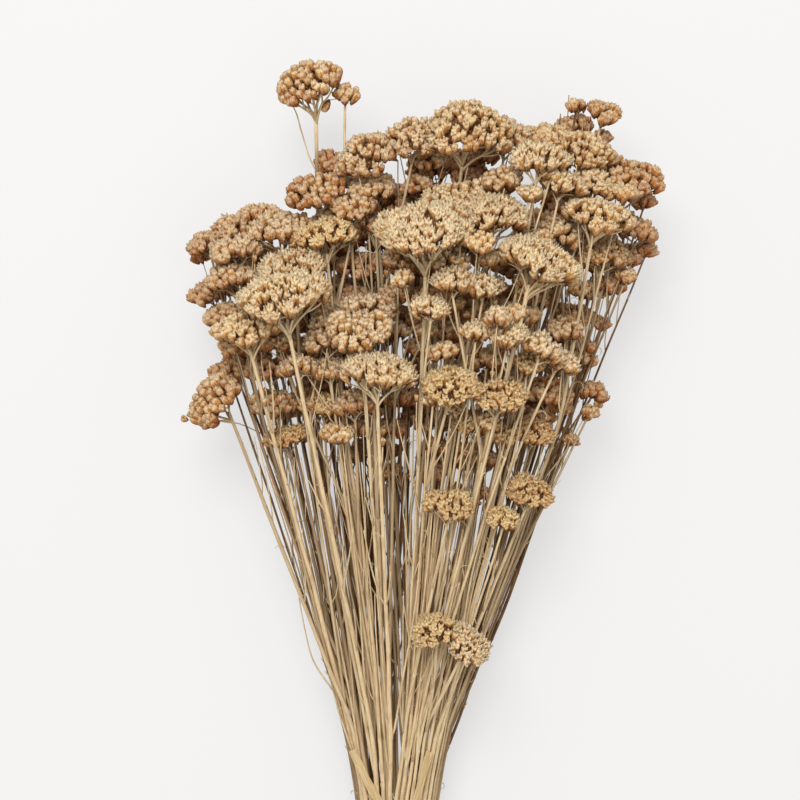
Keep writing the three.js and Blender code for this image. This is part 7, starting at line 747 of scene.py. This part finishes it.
def stalk(shape, stem, i, tone):
    """One strand with its ridges, its nodes and what is left of its leaves."""
    rng = np.random.default_rng(9000 + stem * 10 + i)
    rows = np.array(STRANDS[stem][i], float)
    d = np.linalg.norm(np.diff(rows[:, :3], axis=0), axis=1)
    t = np.concatenate([[0], np.cumsum(d)])
    sec = np.diff(rows, axis=0) / d[:, None]
    slope = np.zeros_like(rows)
    slope[1:-1] = (sec[:-1] * d[1:, None] + sec[1:] * d[:-1, None]) / (d[:-1] + d[1:])[:, None]
    slope[0], slope[-1] = sec[0], sec[-1]
    nodes = []
    s = rng.uniform(14, 34)
    while s < t[-1] - 10:
        nodes.append(s)
        s += rng.uniform(22, 46)
    marks = [0, t[-1]]
    for s in nodes:
        marks += [s - 1.9, s, s + 1.7]
    marks = sorted(marks)
    full = [marks[0]]
    for m in marks[1:]:
        n = int((m - full[-1]) // 15)
        full += list(np.linspace(full[-1], m, n + 2)[1:-1]) + [m] if n > 0 else [m]
    full = np.array([v for v in full if 0 <= v <= t[-1]])
    out = at(rows, t, slope, full)
    radii = out[:, 3] * rng.uniform(0.88, 1.06) * (1 + 0.05 * np.sin(full * 0.035 + rng.uniform(0, 6)))
    for s in nodes:
        radii *= 1 + rng.uniform(0.10, 0.24) * np.exp(-(((full - s) / 1.3) ** 2))
    # a slight bend at each node
    if len(nodes) > 1:
        w = rng.uniform(0, 6.3) + np.arange(len(nodes)) * math.pi + rng.normal(0, 0.6, len(nodes))
        sway = rng.uniform(0.15, 0.5, len(nodes)) * (out[:, 3].mean() / 1.2)
        knots = np.concatenate([[0], nodes, [t[-1]]])
        for axis_, part in ((0, np.cos(w)), (2, np.sin(w))):
            out[:, axis_] += np.interp(full, knots, np.concatenate([[0], sway * part, [0]]))
    look = (tone, rng.uniform(0, 1), rng.uniform(0, 1))
    # painted shade: the stalk is toned darker the deeper it lies in the bunch
    deep = depth(out[:, :3]) ** 0.9
    shade = np.column_stack([np.clip(tone + 1.08 * deep - 0.13, 0, 1), np.full(len(out), look[1]), np.full(len(out), look[2])])
    sides = 8 if radii[0] > 1.25 else 7
    shape.rod(out[:, :3], radii, sides, shade, rng.uniform(0, 6), 0.035)
    for s in nodes:
        if rng.uniform() < 0.13:
            # a curl of dry leaf
            here = at(rows, t, slope, np.array([s, s + 1.0]))
            along = unit(here[1, :3] - here[0, :3])
            first = across(along)
            w = rng.uniform(0, 6.3)
            side = unit(first * math.cos(w) + np.cross(along, first) * math.sin(w))
            q = np.linspace(0, 1, 8)
            bow, turn_ = rng.uniform(2.2, 4.2), rng.uniform(2.6, 4.6)
            rows_ = here[0, :3] + side * here[0, 3] * 0.5 + (side * (bow * (1 - np.cos(q * turn_)) + 0.6 * q)[:, None] + along * (bow * 0.9 * np.sin(q * turn_) + 2.0 * q)[:, None])
            shape.rod(rows_, np.linspace(0.34, 0.16, 8), 4, (min(1.0, tone + 0.1), rng.uniform(), rng.uniform()), rng.uniform(0, 6))
        elif rng.uniform() < 0.55:
            here = at(rows, t, slope, np.array([s, s + 1.0]))
            along = unit(here[1, :3] - here[0, :3])
            side = across(along)
            w = rng.uniform(0, 6.3)
            side = side * math.cos(w) + np.cross(along, side) * math.sin(w)
            r = here[0, 3]
            long = rng.uniform(1.2, 4.5)
            foot = here[0, :3] + side * r * 0.55
            way = unit(side * rng.uniform(0.6, 1.1) + along)
            end = foot + way * long + along * long * 0.3
            rows_ = bend(foot, foot + side * long * 0.45 + along * 0.2 * long, end, 4)
            shape.rod(rows_, np.array([0.42, 0.34, 0.26, 0.12]) * rng.uniform(0.8, 1.2), 5, look, rng.uniform(0, 6))


# ---------------------------------------------------------------- materials


def rgb(hexa):
    v = [int(hexa[i : i + 2], 16) / 255 for i in (0, 2, 4)]
    return tuple(c / 12.92 if c <= 0.04045 else ((c + 0.055) / 1.055) ** 2.4 for c in v) + (1.0,)


class Nodes:
    """A short way to write a node tree."""

    def __init__(self, name):
        self.material = bpy.data.materials.new(name)
        self.material.use_nodes = True
        self.tree = self.material.node_tree
        self.tree.nodes.clear()
        self.out = self.new("ShaderNodeOutputMaterial")
        self.shader = self.new("ShaderNodeBsdfPrincipled")
        self.link(self.shader.outputs[0], self.out.inputs["Surface"])

    def new(self, kind, **settings):
        node = self.tree.nodes.new(kind)
        for k, v in settings.items():
            setattr(node, k, v)
        return node

    def link(self, a, b):
        self.tree.links.new(a, b)

    def put(self, socket, value):
        if isinstance(value, bpy.types.NodeSocket):
            self.link(value, socket)
        elif value is not None:
            socket.default_value = value

    def attribute(self, name):
        return self.new("ShaderNodeAttribute", attribute_name=name).outputs["Vector"]

    def parts(self, vector):
        n = self.new("ShaderNodeSeparateXYZ")
        self.put(n.inputs[0], vector)
        return n.outputs

    def vector(self, x, y, z):
        n = self.new("ShaderNodeCombineXYZ")
        for i, v in enumerate((x, y, z)):
            self.put(n.inputs[i], v)
        return n.outputs[0]

    def math(self, what, a, b=None, c=None, clamp=False):
        n = self.new("ShaderNodeMath", operation=what, use_clamp=clamp)
        for i, v in enumerate((a, b, c)):
            self.put(n.inputs[i], v)
        return n.outputs[0]

    def ramp(self, value, low, high, to_low=0.0, to_high=1.0):
        n = self.new("ShaderNodeMapRange", interpolation_type="SMOOTHSTEP")
        for i, v in enumerate((value, low, high, to_low, to_high)):
            self.put(n.inputs[i], v)
        return n.outputs[0]

    def mix(self, share, a, b, blend="MIX"):
        n = self.new("ShaderNodeMix", data_type="RGBA", blend_type=blend)
        self.put(n.inputs[0], share)
        self.put(n.inputs[6], a)
        self.put(n.inputs[7], b)
        return n.outputs[2]

    def noise(self, vector, scale, detail=2.0, rough=0.5):
        n = self.new("ShaderNodeTexNoise")
        self.put(n.inputs["Vector"], vector)
        n.inputs["Scale"].default_value = scale
        n.inputs["Detail"].default_value = detail
        n.inputs["Roughness"].default_value = rough
        return n.outputs[0]

    def bump(self, height, strength, distance):
        n = self.new("ShaderNodeBump")
        n.inputs["Strength"].default_value = strength
        n.inputs["Distance"].default_value = distance
        self.put(n.inputs["Height"], height)
        self.link(n.outputs[0], self.shader.inputs["Normal"])


def straw():
    """Dry stalk: long fibres, pale and darker streaks, a brown or grey-green cast here and there."""
    n = Nodes("dry_straw")
    place, look = n.attribute("place"), n.parts(n.attribute("look"))
    x, y, s = n.parts(place)
    far = n.math("MULTIPLY", look[2], 97.0)
    fibre = n.noise(n.vector(n.math("ADD", x, far), y, n.math("MULTIPLY", s, 0.035)), 3.4, 3.0, 0.6)
    patch = n.noise(n.vector(n.math("ADD", x, far), y, n.math("MULTIPLY", s, 0.30)), 0.22, 2.0, 0.5)
    grain = n.noise(n.vector(n.math("ADD", x, far), y, n.math("MULTIPLY", s, 0.25)), 5.0, 2.0, 0.6)
    pale = n.mix(look[1], rgb("ebd1a8"), rgb("e1cea7"))
    dark = n.mix(look[1], rgb("512505"), rgb("4a2a07"))
    # the first number of look is the stalk's tone, which also carries painted shade deep in the bunch: it mixes the
    # pale towards the dark brown
    colour = n.mix(n.ramp(look[0], 0.15, 1.0), pale, dark)
    colour = n.mix(n.math("MULTIPLY", n.ramp(fibre, 0.36, 0.62, 1.0, 0.0), 0.42), colour, rgb("906534"))
    colour = n.mix(n.math("MULTIPLY", n.ramp(patch, 0.50, 0.72), 0.45), colour, rgb("9c7f4a"))
    colour = n.mix(n.math("MULTIPLY", n.ramp(grain, 0.60, 0.76), 0.30), colour, rgb("f4dcac"))
    n.put(n.shader.inputs["Base Color"], colour)
    n.put(n.shader.inputs["Roughness"], n.ramp(fibre, 0.3, 0.7, 0.62, 0.80))
    n.shader.inputs["Specular IOR Level"].default_value = 0.35
    n.bump(n.math("ADD", fibre, n.math("MULTIPLY", grain, 0.4)), 0.55, 0.00022)
    return n.material


def papery():
    """Dry buds: narrow bracts side by side, brown at the foot, darker between them, with pale ragged tips."""
    n = Nodes("dry_buds")
    place, look = n.attribute("place"), n.parts(n.attribute("look"))
    x, y, z = n.parts(place)
    seed = n.math("MULTIPLY", look[2], 61.0)
    turn = n.math("ARCTAN2", y, x)
    own = n.vector(n.math("ADD", x, seed), y, z)
    stripe = n.noise(n.vector(n.math("ADD", x, seed), y, n.math("MULTIPLY", z, 0.18)), 4.6, 2.0, 0.6)
    fine = n.noise(n.vector(n.math("ADD", x, seed), y, n.math("MULTIPLY", z, 0.5)), 11.0, 2.0, 0.6)
    blotch = n.noise(own, 2.4, 2.0, 0.5)
    # bracts that overlap like scales, in two crossing spirals
    left = n.math("SINE", n.math("MULTIPLY_ADD", turn, 4.0, n.math("MULTIPLY", z, 11.0)))
    right = n.math("SINE", n.math("MULTIPLY_ADD", turn, 4.0, n.math("MULTIPLY", z, -11.0)))
    scale = n.math("MULTIPLY_ADD", n.math("MULTIPLY", left, right), 0.5, 0.5)
    pale = n.mix(look[1], rgb("d8a96b"), rgb("e4b364"))
    tan = n.mix(look[1], rgb("c08c52"), rgb("d3984b"))
    brown = n.mix(look[1], rgb("ac5b23"), rgb("b2631f"))
    # the first number of look is the bud's tone, which also carries painted shade from where the bud lies: it mixes
    # pale, tan and brown, and holds back the pale tips
    body = n.mix(n.ramp(look[0], 0.0, 0.5), pale, tan)
    body = n.mix(n.ramp(look[0], 0.42, 1.0), body, brown)
    # one bud is a little darker or redder than the next
    body = n.mix(n.math("MULTIPLY", n.ramp(look[2], 0.66, 1.0), 0.45), body, rgb("8f5734"))
    body = n.mix(n.math("MULTIPLY", n.ramp(look[2], 0.32, 0.0), 0.45), body, rgb("ecd0a4"))
    warm = n.mix(n.ramp(look[0], 0.0, 0.8), rgb("a56735"), rgb("643415"))
    colour = n.mix(n.math("MULTIPLY", n.ramp(z, 0.74, 0.16), 0.80), body, warm)
    colour = n.mix(n.math("MULTIPLY", n.ramp(z, 0.30, 0.02), 0.85), colour, rgb("44240f"))
    colour = n.mix(n.math("MULTIPLY", n.ramp(scale, 0.42, 0.05), 0.38), colour, rgb("7a4824"))
    colour = n.mix(n.math("MULTIPLY", n.ramp(stripe, 0.52, 0.36), 0.60), colour, rgb("855429"))
    colour = n.mix(n.math("MULTIPLY", n.ramp(stripe, 0.52, 0.66), 0.45), colour, rgb("f7dbaa"))
    colour = n.mix(n.math("MULTIPLY", n.ramp(fine, 0.50, 0.34), 0.40), colour, rgb("8e5d33"))
    colour = n.mix(n.math("MULTIPLY", n.ramp(blotch, 0.55, 0.75), 0.25), colour, rgb("bb8350"))
    tips = n.math("MULTIPLY", n.ramp(z, 0.74, 0.98), n.ramp(fine, 0.34, 0.56, 0.45, 1.0))
    tips = n.math("MULTIPLY", tips, n.ramp(look[0], 0.0, 0.9, 0.90, 0.34))
    colour = n.mix(tips, colour, n.mix(look[1], rgb("f9e9ca"), rgb("fae5b2")))
    n.put(n.shader.inputs["Base Color"], colour)
    n.shader.inputs["Roughness"].default_value = 0.80
    n.shader.inputs["Specular IOR Level"].default_value = 0.22
    height = n.math("ADD", n.math("MULTIPLY", stripe, 1.2), n.math("MULTIPLY_ADD", scale, 0.40, n.math("MULTIPLY", fine, 0.6)))
    n.bump(height, 0.9, 0.0007)
    return n.material


def raffia():
    """Split palm strip: straight fibres, a faint sheen and some darker strands."""
    n = Nodes("dry_raffia")
    place, look = n.attribute("place"), n.parts(n.attribute("look"))
    x, y, s = n.parts(place)
    far = n.math("MULTIPLY", look[2], 53.0)
    fibre = n.noise(n.vector(n.math("ADD", x, far), n.math("MULTIPLY", y, 0.5), n.math("MULTIPLY", s, 0.02)), 4.2, 4.0, 0.65)
    patch = n.noise(n.vector(n.math("ADD", x, far), y, n.math("MULTIPLY", s, 0.5)), 0.16, 2.0, 0.5)
    colour = n.mix(n.ramp(fibre, 0.30, 0.66), rgb("a98652"), rgb("dcc596"))
    colour = n.mix(n.math("MULTIPLY", n.ramp(patch, 0.45, 0.70), 0.35), colour, rgb("b99a63"))
    n.put(n.shader.inputs["Base Color"], colour)
    n.put(n.shader.inputs["Roughness"], n.ramp(fibre, 0.3, 0.7, 0.66, 0.50))
    n.shader.inputs["Sheen Weight"].default_value = 0.15
    n.bump(fibre, 0.8, 0.0004)
    return n.material


STRAW, BUDS, RAFFIA = straw(), papery(), raffia()

# ---------------------------------------------------------------- stems

# pale outside and in front, with painted shade deep inside: how brown each strand's stalk is comes from its head and,
# as painted shade, from its height in the bunch
SHAPES = []
for k, stem in enumerate(STRANDS):
    shape = Shape()
    SHAPES.append(shape)
    for i, rows in enumerate(stem):
        row = HEADS[k][i]
        mood = np.random.default_rng(300 + k * 10 + i).normal(0, 0.13)
        tone = float(np.clip(0.06 + 0.25 * row[7] + mood, 0.0, 0.8))
        stalk(shape, k, i, tone)
        head(shape, CURVES[k][i], k * 10 + i, row[:8], KINDS[int(row[8]) - 1], grade(row[:3], int(row[8])), 500 + int(row[8]))
forks()
for k, stem in enumerate(STRANDS):
    for i, rows in enumerate(stem):
        shoots(SHAPES[k], k, i, 0.3, HEADS[k][i])
# single twigs that stand out in the picture: which way they run as seen from the camera, in pixels of an 800 x 800 picture,
# thickness at the start and the end, and the width and length of a bud on the end; a width of 0 is no bud, and then the last
# number is how high off the floor it starts, or 0 for in front
TWIGS = [
    ([(329, 190), (318, 172), (303, 137), (295, 110), (289, 99)], 0.50, 0.40, 0, 0),
    ([(337, 96), (332, 99), (329, 100)], 0.34, 0.28, 5.0, 8.2),
    ([(299, 598), (305, 630), (313, 660), (327, 694)], -0.55, 0.34, 0, 0),
    ([(632, 262), (622, 290), (609, 322)], -0.42, 0.34, 0, 0),
    ([(545, 480), (562, 456), (583, 420)], 0.55, 0.34, 5.4, 6.6),
    ([(583, 418), (592, 410), (596, 407)], 0.40, 0.32, 4.6, 5.6),
    ([(548, 470), (560, 450), (571, 440)], 0.40, 0.30, 4.2, 5.4),
    ([(396, 806), (395, 760), (395, 700), (393, 630), (389, 560)], 1.0, 0.6, 0, 26),
    ([(395, 808), (394, 760), (394, 700), (397, 640), (401, 585)], 0.95, 0.6, 0, 14),
    ([(398, 806), (397, 750), (396, 690), (395, 630), (398, 540)], 0.9, 0.5, 0, 38),
    ([(262, 435), (240, 424), (207, 420)], 0.42, 0.28, 4.0, 6.0),
    ([(236, 424), (210, 420), (188, 420)], 0.38, 0.28, 3.8, 5.6),
]


def seen(px, py, z):
    far = 1411.0 - z
    return np.array([EYE[0] + (px - 400) / 400 * 0.18 * far, EYE[1] - (py - 400) / 400 * 0.18 * far, z])


for number, (path, r0, r1, bud_w, bud_l) in enumerate(TWIGS):
    rng = np.random.default_rng(6000 + number)
    # it starts on the stalk, or already made twig, that is nearest to its first point in the picture (or to its last, if r0 < 0)
    if r0 < 0:
        path, r0, r1 = path[::-1], -r0, r1
    far = 1411.0 - SPOTS[:, 2]
    px, py = 400 + (SPOTS[:, 0] - EYE[0]) / 0.18 / far * 400, 400 - (SPOTS[:, 1] - EYE[1]) / 0.18 / far * 400
    d = np.hypot(px - path[0][0], py - path[0][1]) - 0.03 * SPOTS[:, 2]
    if not bud_w and bud_l:
        d = d + 0.5 * np.abs(SPOTS[:, 2] - bud_l)
    hit = SPOTS[int(np.argmin(d))]
    goal = np.array([seen(x_, y_, hit[2] + 1.0 + 0.6 * q) for q, (x_, y_) in enumerate(path)])
    goal[0] = hit[:3]
    rows = smooth(np.column_stack([goal, np.linspace(r0, r1, len(goal))]), 5.0)[0]
    shape = SHAPES[min(int(hit[4]) // 10, len(SHAPES) - 1) if hit[4] < 5000 else 0]
    # twigs that start deep in the bundle are toned darker, as painted shade
    shape.rod(rows[:, :3], rows[:, 3], 6, (0.30 if bud_w or not bud_l else 0.65, rng.uniform(), rng.uniform()), rng.uniform(0, 6))
    SPOTS = np.concatenate([SPOTS, np.column_stack([rows, np.full(len(rows), 8000 + number)])])
    if bud_w:
        way = unit(rows[-1, :3] - rows[-2, :3])
        way = unit(way * 0.4 + np.array([0, -0.8, 0.1])) if number == 1 else unit(way + np.array([0, 0.25, 0.1]))
        for q in range(1 if number == 1 else 3):
            out_ = unit(way + (0 if number == 1 else 0.45) * rng.normal(0, 1, 3))
            shape.bud(int(rng.integers(4)), rows[-1, :3] - out_ * 0.3, out_, bud_w * (1 if number == 1 else 0.72), bud_l * (1 if number == 1 else 0.85), rng.uniform(0, 6.3), (0.55, 0.2, rng.uniform()))
for shape, strand, own_id, row, kind, seed in SHOOTS:
    head(shape, strand, own_id, row, kind, 1 if row[2] > 84 else 2, seed)
for k, shape in enumerate(SHAPES):
    name = f"stem_{k + 1:02d}"
    ob = shape.build("dried_" + name, [STRAW, BUDS])
    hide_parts("flower_" + name)
    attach(ob, "root")

# ---------------------------------------------------------------- the raffia tie


def ribbon(shape, rows, ups, widths, look, rng, thick=0.32, fold=0.5, folds=2.0, close=False):
    """A flat strip along rows, its face towards ups, with lengthwise folds."""
    rows, ups, widths = np.array(rows, float), np.array(ups, float), np.array(widths, float)
    m = len(rows)
    if close:
        along = unit(np.roll(rows, -1, 0) - np.roll(rows, 1, 0))
    else:
        along = unit(np.gradient(rows, axis=0))
    side = unit(np.cross(along, ups))
    up = np.cross(side, along)
    n = 9
    u = np.linspace(-1, 1, n)
    phase = rng.uniform(0, 6.3)
    s = np.concatenate([[0], np.cumsum(np.linalg.norm(np.diff(rows, axis=0), axis=1))])
    section, place = [], []
    for k in range(m):
        wave = fold * np.cos(folds * math.pi * u + phase + 0.35 * math.sin(s[k] * 0.11 + phase)) * (0.75 + 0.25 * math.sin(s[k] * 0.23 + phase))
        edge = 1 - 0.55 * np.abs(u) ** 4
        top = rows[k] + side[k] * (u * widths[k] / 2)[:, None] + up[k] * (wave + thick * edge / 2)[:, None]
        bot = rows[k] + side[k] * (u * widths[k] / 2)[:, None] + up[k] * (wave - thick * edge / 2)[:, None]
        section.append(np.concatenate([top, bot[::-1]]))
        place.append(np.concatenate([np.column_stack([u * widths[k] / 2, np.full(n, 0.3), np.full(n, s[k])]), np.column_stack([u[::-1] * widths[k] / 2, np.full(n, -0.3), np.full(n, s[k])])]))
    section, place = np.array(section), np.array(place)
    c = 2 * n
    i = np.arange(c)
    j = (i + 1) % c
    turns = m if close else m - 1
    quads = np.concatenate([np.stack([k * c + i, k * c + j, ((k + 1) % m) * c + j, ((k + 1) % m) * c + i], 1) for k in range(turns)])
    points, tris = section.reshape(-1, 3), np.zeros((0, 3), int)
    place = place.reshape(-1, 3)
    if not close:
        q = np.arange(n - 1)
        start = np.stack([q, c - 1 - q, c - 2 - q, q + 1], 1)
        end = (m - 1) * c + np.stack([q, q + 1, c - 2 - q, c - 1 - q], 1)
        quads = np.concatenate([quads, start, end])
    # the winding that faces out
    vol = 0.0
    for a, b, cc in ((0, 1, 2), (0, 2, 3)):
        pa, pb, pc = points[quads[:, a]], points[quads[:, b]], points[quads[:, cc]]
        vol += np.einsum("ij,ij->i", pa, np.cross(pb, pc)).sum()
    if vol < 0:
        quads = quads[:, ::-1]
    shape.add(points[None], place[None], np.array([look], float), quads, tris, 0)


shape = Shape()
rng = np.random.default_rng(77)
cx, cy, cz = BAND_MIDDLE
loop = np.array(BAND, float)
m = 72
# the band's inside, drawn smooth and closed
w = np.arange(m) * len(loop) / m
k0 = w.astype(int)
f = (w - k0)[:, None]
P = [loop[(k0 + d) % len(loop)] for d in (-1, 0, 1, 2)]
ring = 0.5 * (2 * P[1] + (P[2] - P[0]) * f + (2 * P[0] - 5 * P[1] + 4 * P[2] - P[3]) * f**2 + (-P[0] + 3 * P[1] - 3 * P[2] + P[3]) * f**3)
outward = unit(ring - np.array([cx, cz]))
for turn in range(3):
    for layer in range(2):
        y0 = (turn - 1) * 4.7 + (0.6 if layer else -0.3) + rng.uniform(-0.3, 0.3)
        ph = rng.uniform(0, 6.3)
        angle = np.arange(m) / m * 2 * math.pi
        lift = 0.35 + 0.5 * layer + 0.12 * np.sin(angle * 3 + ph)
        rows = np.column_stack([ring[:, 0] + outward[:, 0] * lift, cy + y0 + 0.45 * np.sin(angle * 2 + ph) + 0.2 * np.sin(angle * 5 + ph), ring[:, 1] + outward[:, 1] * lift])
        ups = np.column_stack([outward[:, 0], np.zeros(m), outward[:, 1]])
        wide = (4.6 if layer else 5.2) * (1 + 0.10 * np.sin(angle * 4 + ph * 2))
        ribbon(shape, rows, ups, wide, (0.2, 0.5, rng.uniform()), rng, 0.26, 0.18, 2 + layer, close=True)
# the knot: strips that cross over the band and under themselves
top = loop[:, 1].max()
for j, (dx, lean, wide, high) in enumerate(((0.6, 0.25, 6.6, 2.5), (-1.0, -0.35, 5.6, 3.2), (1.8, 0.9, 4.6, 3.7))):
    t = np.linspace(-1, 1, 15)
    rows = np.column_stack([cx + dx + lean * 6 * t, cy + 8.6 * np.sin(t * 1.45), top + 0.4 + high * np.cos(t * 1.5) ** 0.8])
    ups = np.column_stack([np.zeros(15), np.sin(t * 1.3), np.cos(t * 1.3)])
    ribbon(shape, rows, ups, wide * (0.72 + 0.28 * np.abs(t)), (0.2, 0.5, rng.uniform()), rng, 0.45, 0.42, 2.5)
# the loose ends
for rows, wide in ENDS:
    rows = np.column_stack([np.array(rows, float), np.ones(len(rows))])
    fine, _ = smooth(rows, 3.0)
    q = len(fine)
    t = np.linspace(0, 1, q)
    w = wide * (0.62 + 0.38 * np.minimum(1, t * 4)) * (1 - 0.16 * t) * (1 + 0.05 * np.sin(t * 17 + wide))
    lift = fine[:, :3] + np.array([0, 0, 0.45])
    ups = np.tile([0, 0, 1.0], (q, 1)) + 0.18 * np.column_stack([np.sin(t * 5 + wide), np.zeros(q), np.zeros(q)])
    ribbon(shape, lift, ups, w, (0.2, 0.5, rng.uniform()), rng, 0.30, 0.30, 1.6)
tie = shape.build("raffia_tie_strips", [RAFFIA])
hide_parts("raffia_tie")
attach(tie, "root")

# ---------------------------------------------------------------- floor, light, camera

me = bpy.data.meshes.new("floor")
me.from_pydata([(-6, -6, -0.0004), (6, -6, -0.0004), (6, 6, -0.0004), (-6, 6, -0.0004)], [], [(0, 1, 2, 3)])
floor = bpy.data.objects.new("floor", me)
bpy.context.scene.collection.objects.link(floor)
n = Nodes("pale_floor")
n.shader.inputs["Base Color"].default_value = (0.27, 0.27, 0.272, 1)
n.shader.inputs["Emission Color"].default_value = (1, 1, 1, 1)
n.shader.inputs["Emission Strength"].default_value = 0.585
n.shader.inputs["Roughness"].default_value = 0.9
n.shader.inputs["Specular IOR Level"].default_value = 0.1
me.materials.append(n.material)

world = bpy.data.worlds.new("studio")
world.use_nodes = True
world.node_tree.nodes["Background"].inputs[0].default_value = (1, 0.955, 0.885, 1)
world.node_tree.nodes["Background"].inputs[1].default_value = 0.56
bpy.context.scene.world = world


def area(name, at_, to, size, power, colour=(1, 1, 1)):
    lamp = bpy.data.lights.new(name, "AREA")
    lamp.shape = "DISK"
    lamp.size = size
    lamp.energy = power
    lamp.color = colour
    ob = bpy.data.objects.new(name, lamp)
    ob.location = at_
    ob.rotation_euler = (Vector(to) - Vector(at_)).to_track_quat("-Z", "Y").to_euler()
    bpy.context.scene.collection.objects.link(ob)


area("key", (-0.25, 0.75, 1.75), (0, 0.05, 0.05), 0.9, 23)
area("fill", (0.3, -0.3, 1.9), (0, 0.05, 0.05), 1.4, 6)

cam = bpy.data.cameras.new("camera")
cam.lens = 100
cam.sensor_width = 36
camera = bpy.data.objects.new("camera", cam)
camera.location = (-15.685 / 1000, 73.035 / 1000, 1.411)
camera.rotation_euler = (0, 0, 0)
bpy.context.scene.collection.objects.link(camera)
bpy.context.scene.camera = camera
cam.clip_start, cam.clip_end = 0.05, 20

view = bpy.context.scene.view_settings
view.view_transform = "Standard"
view.look = "None"
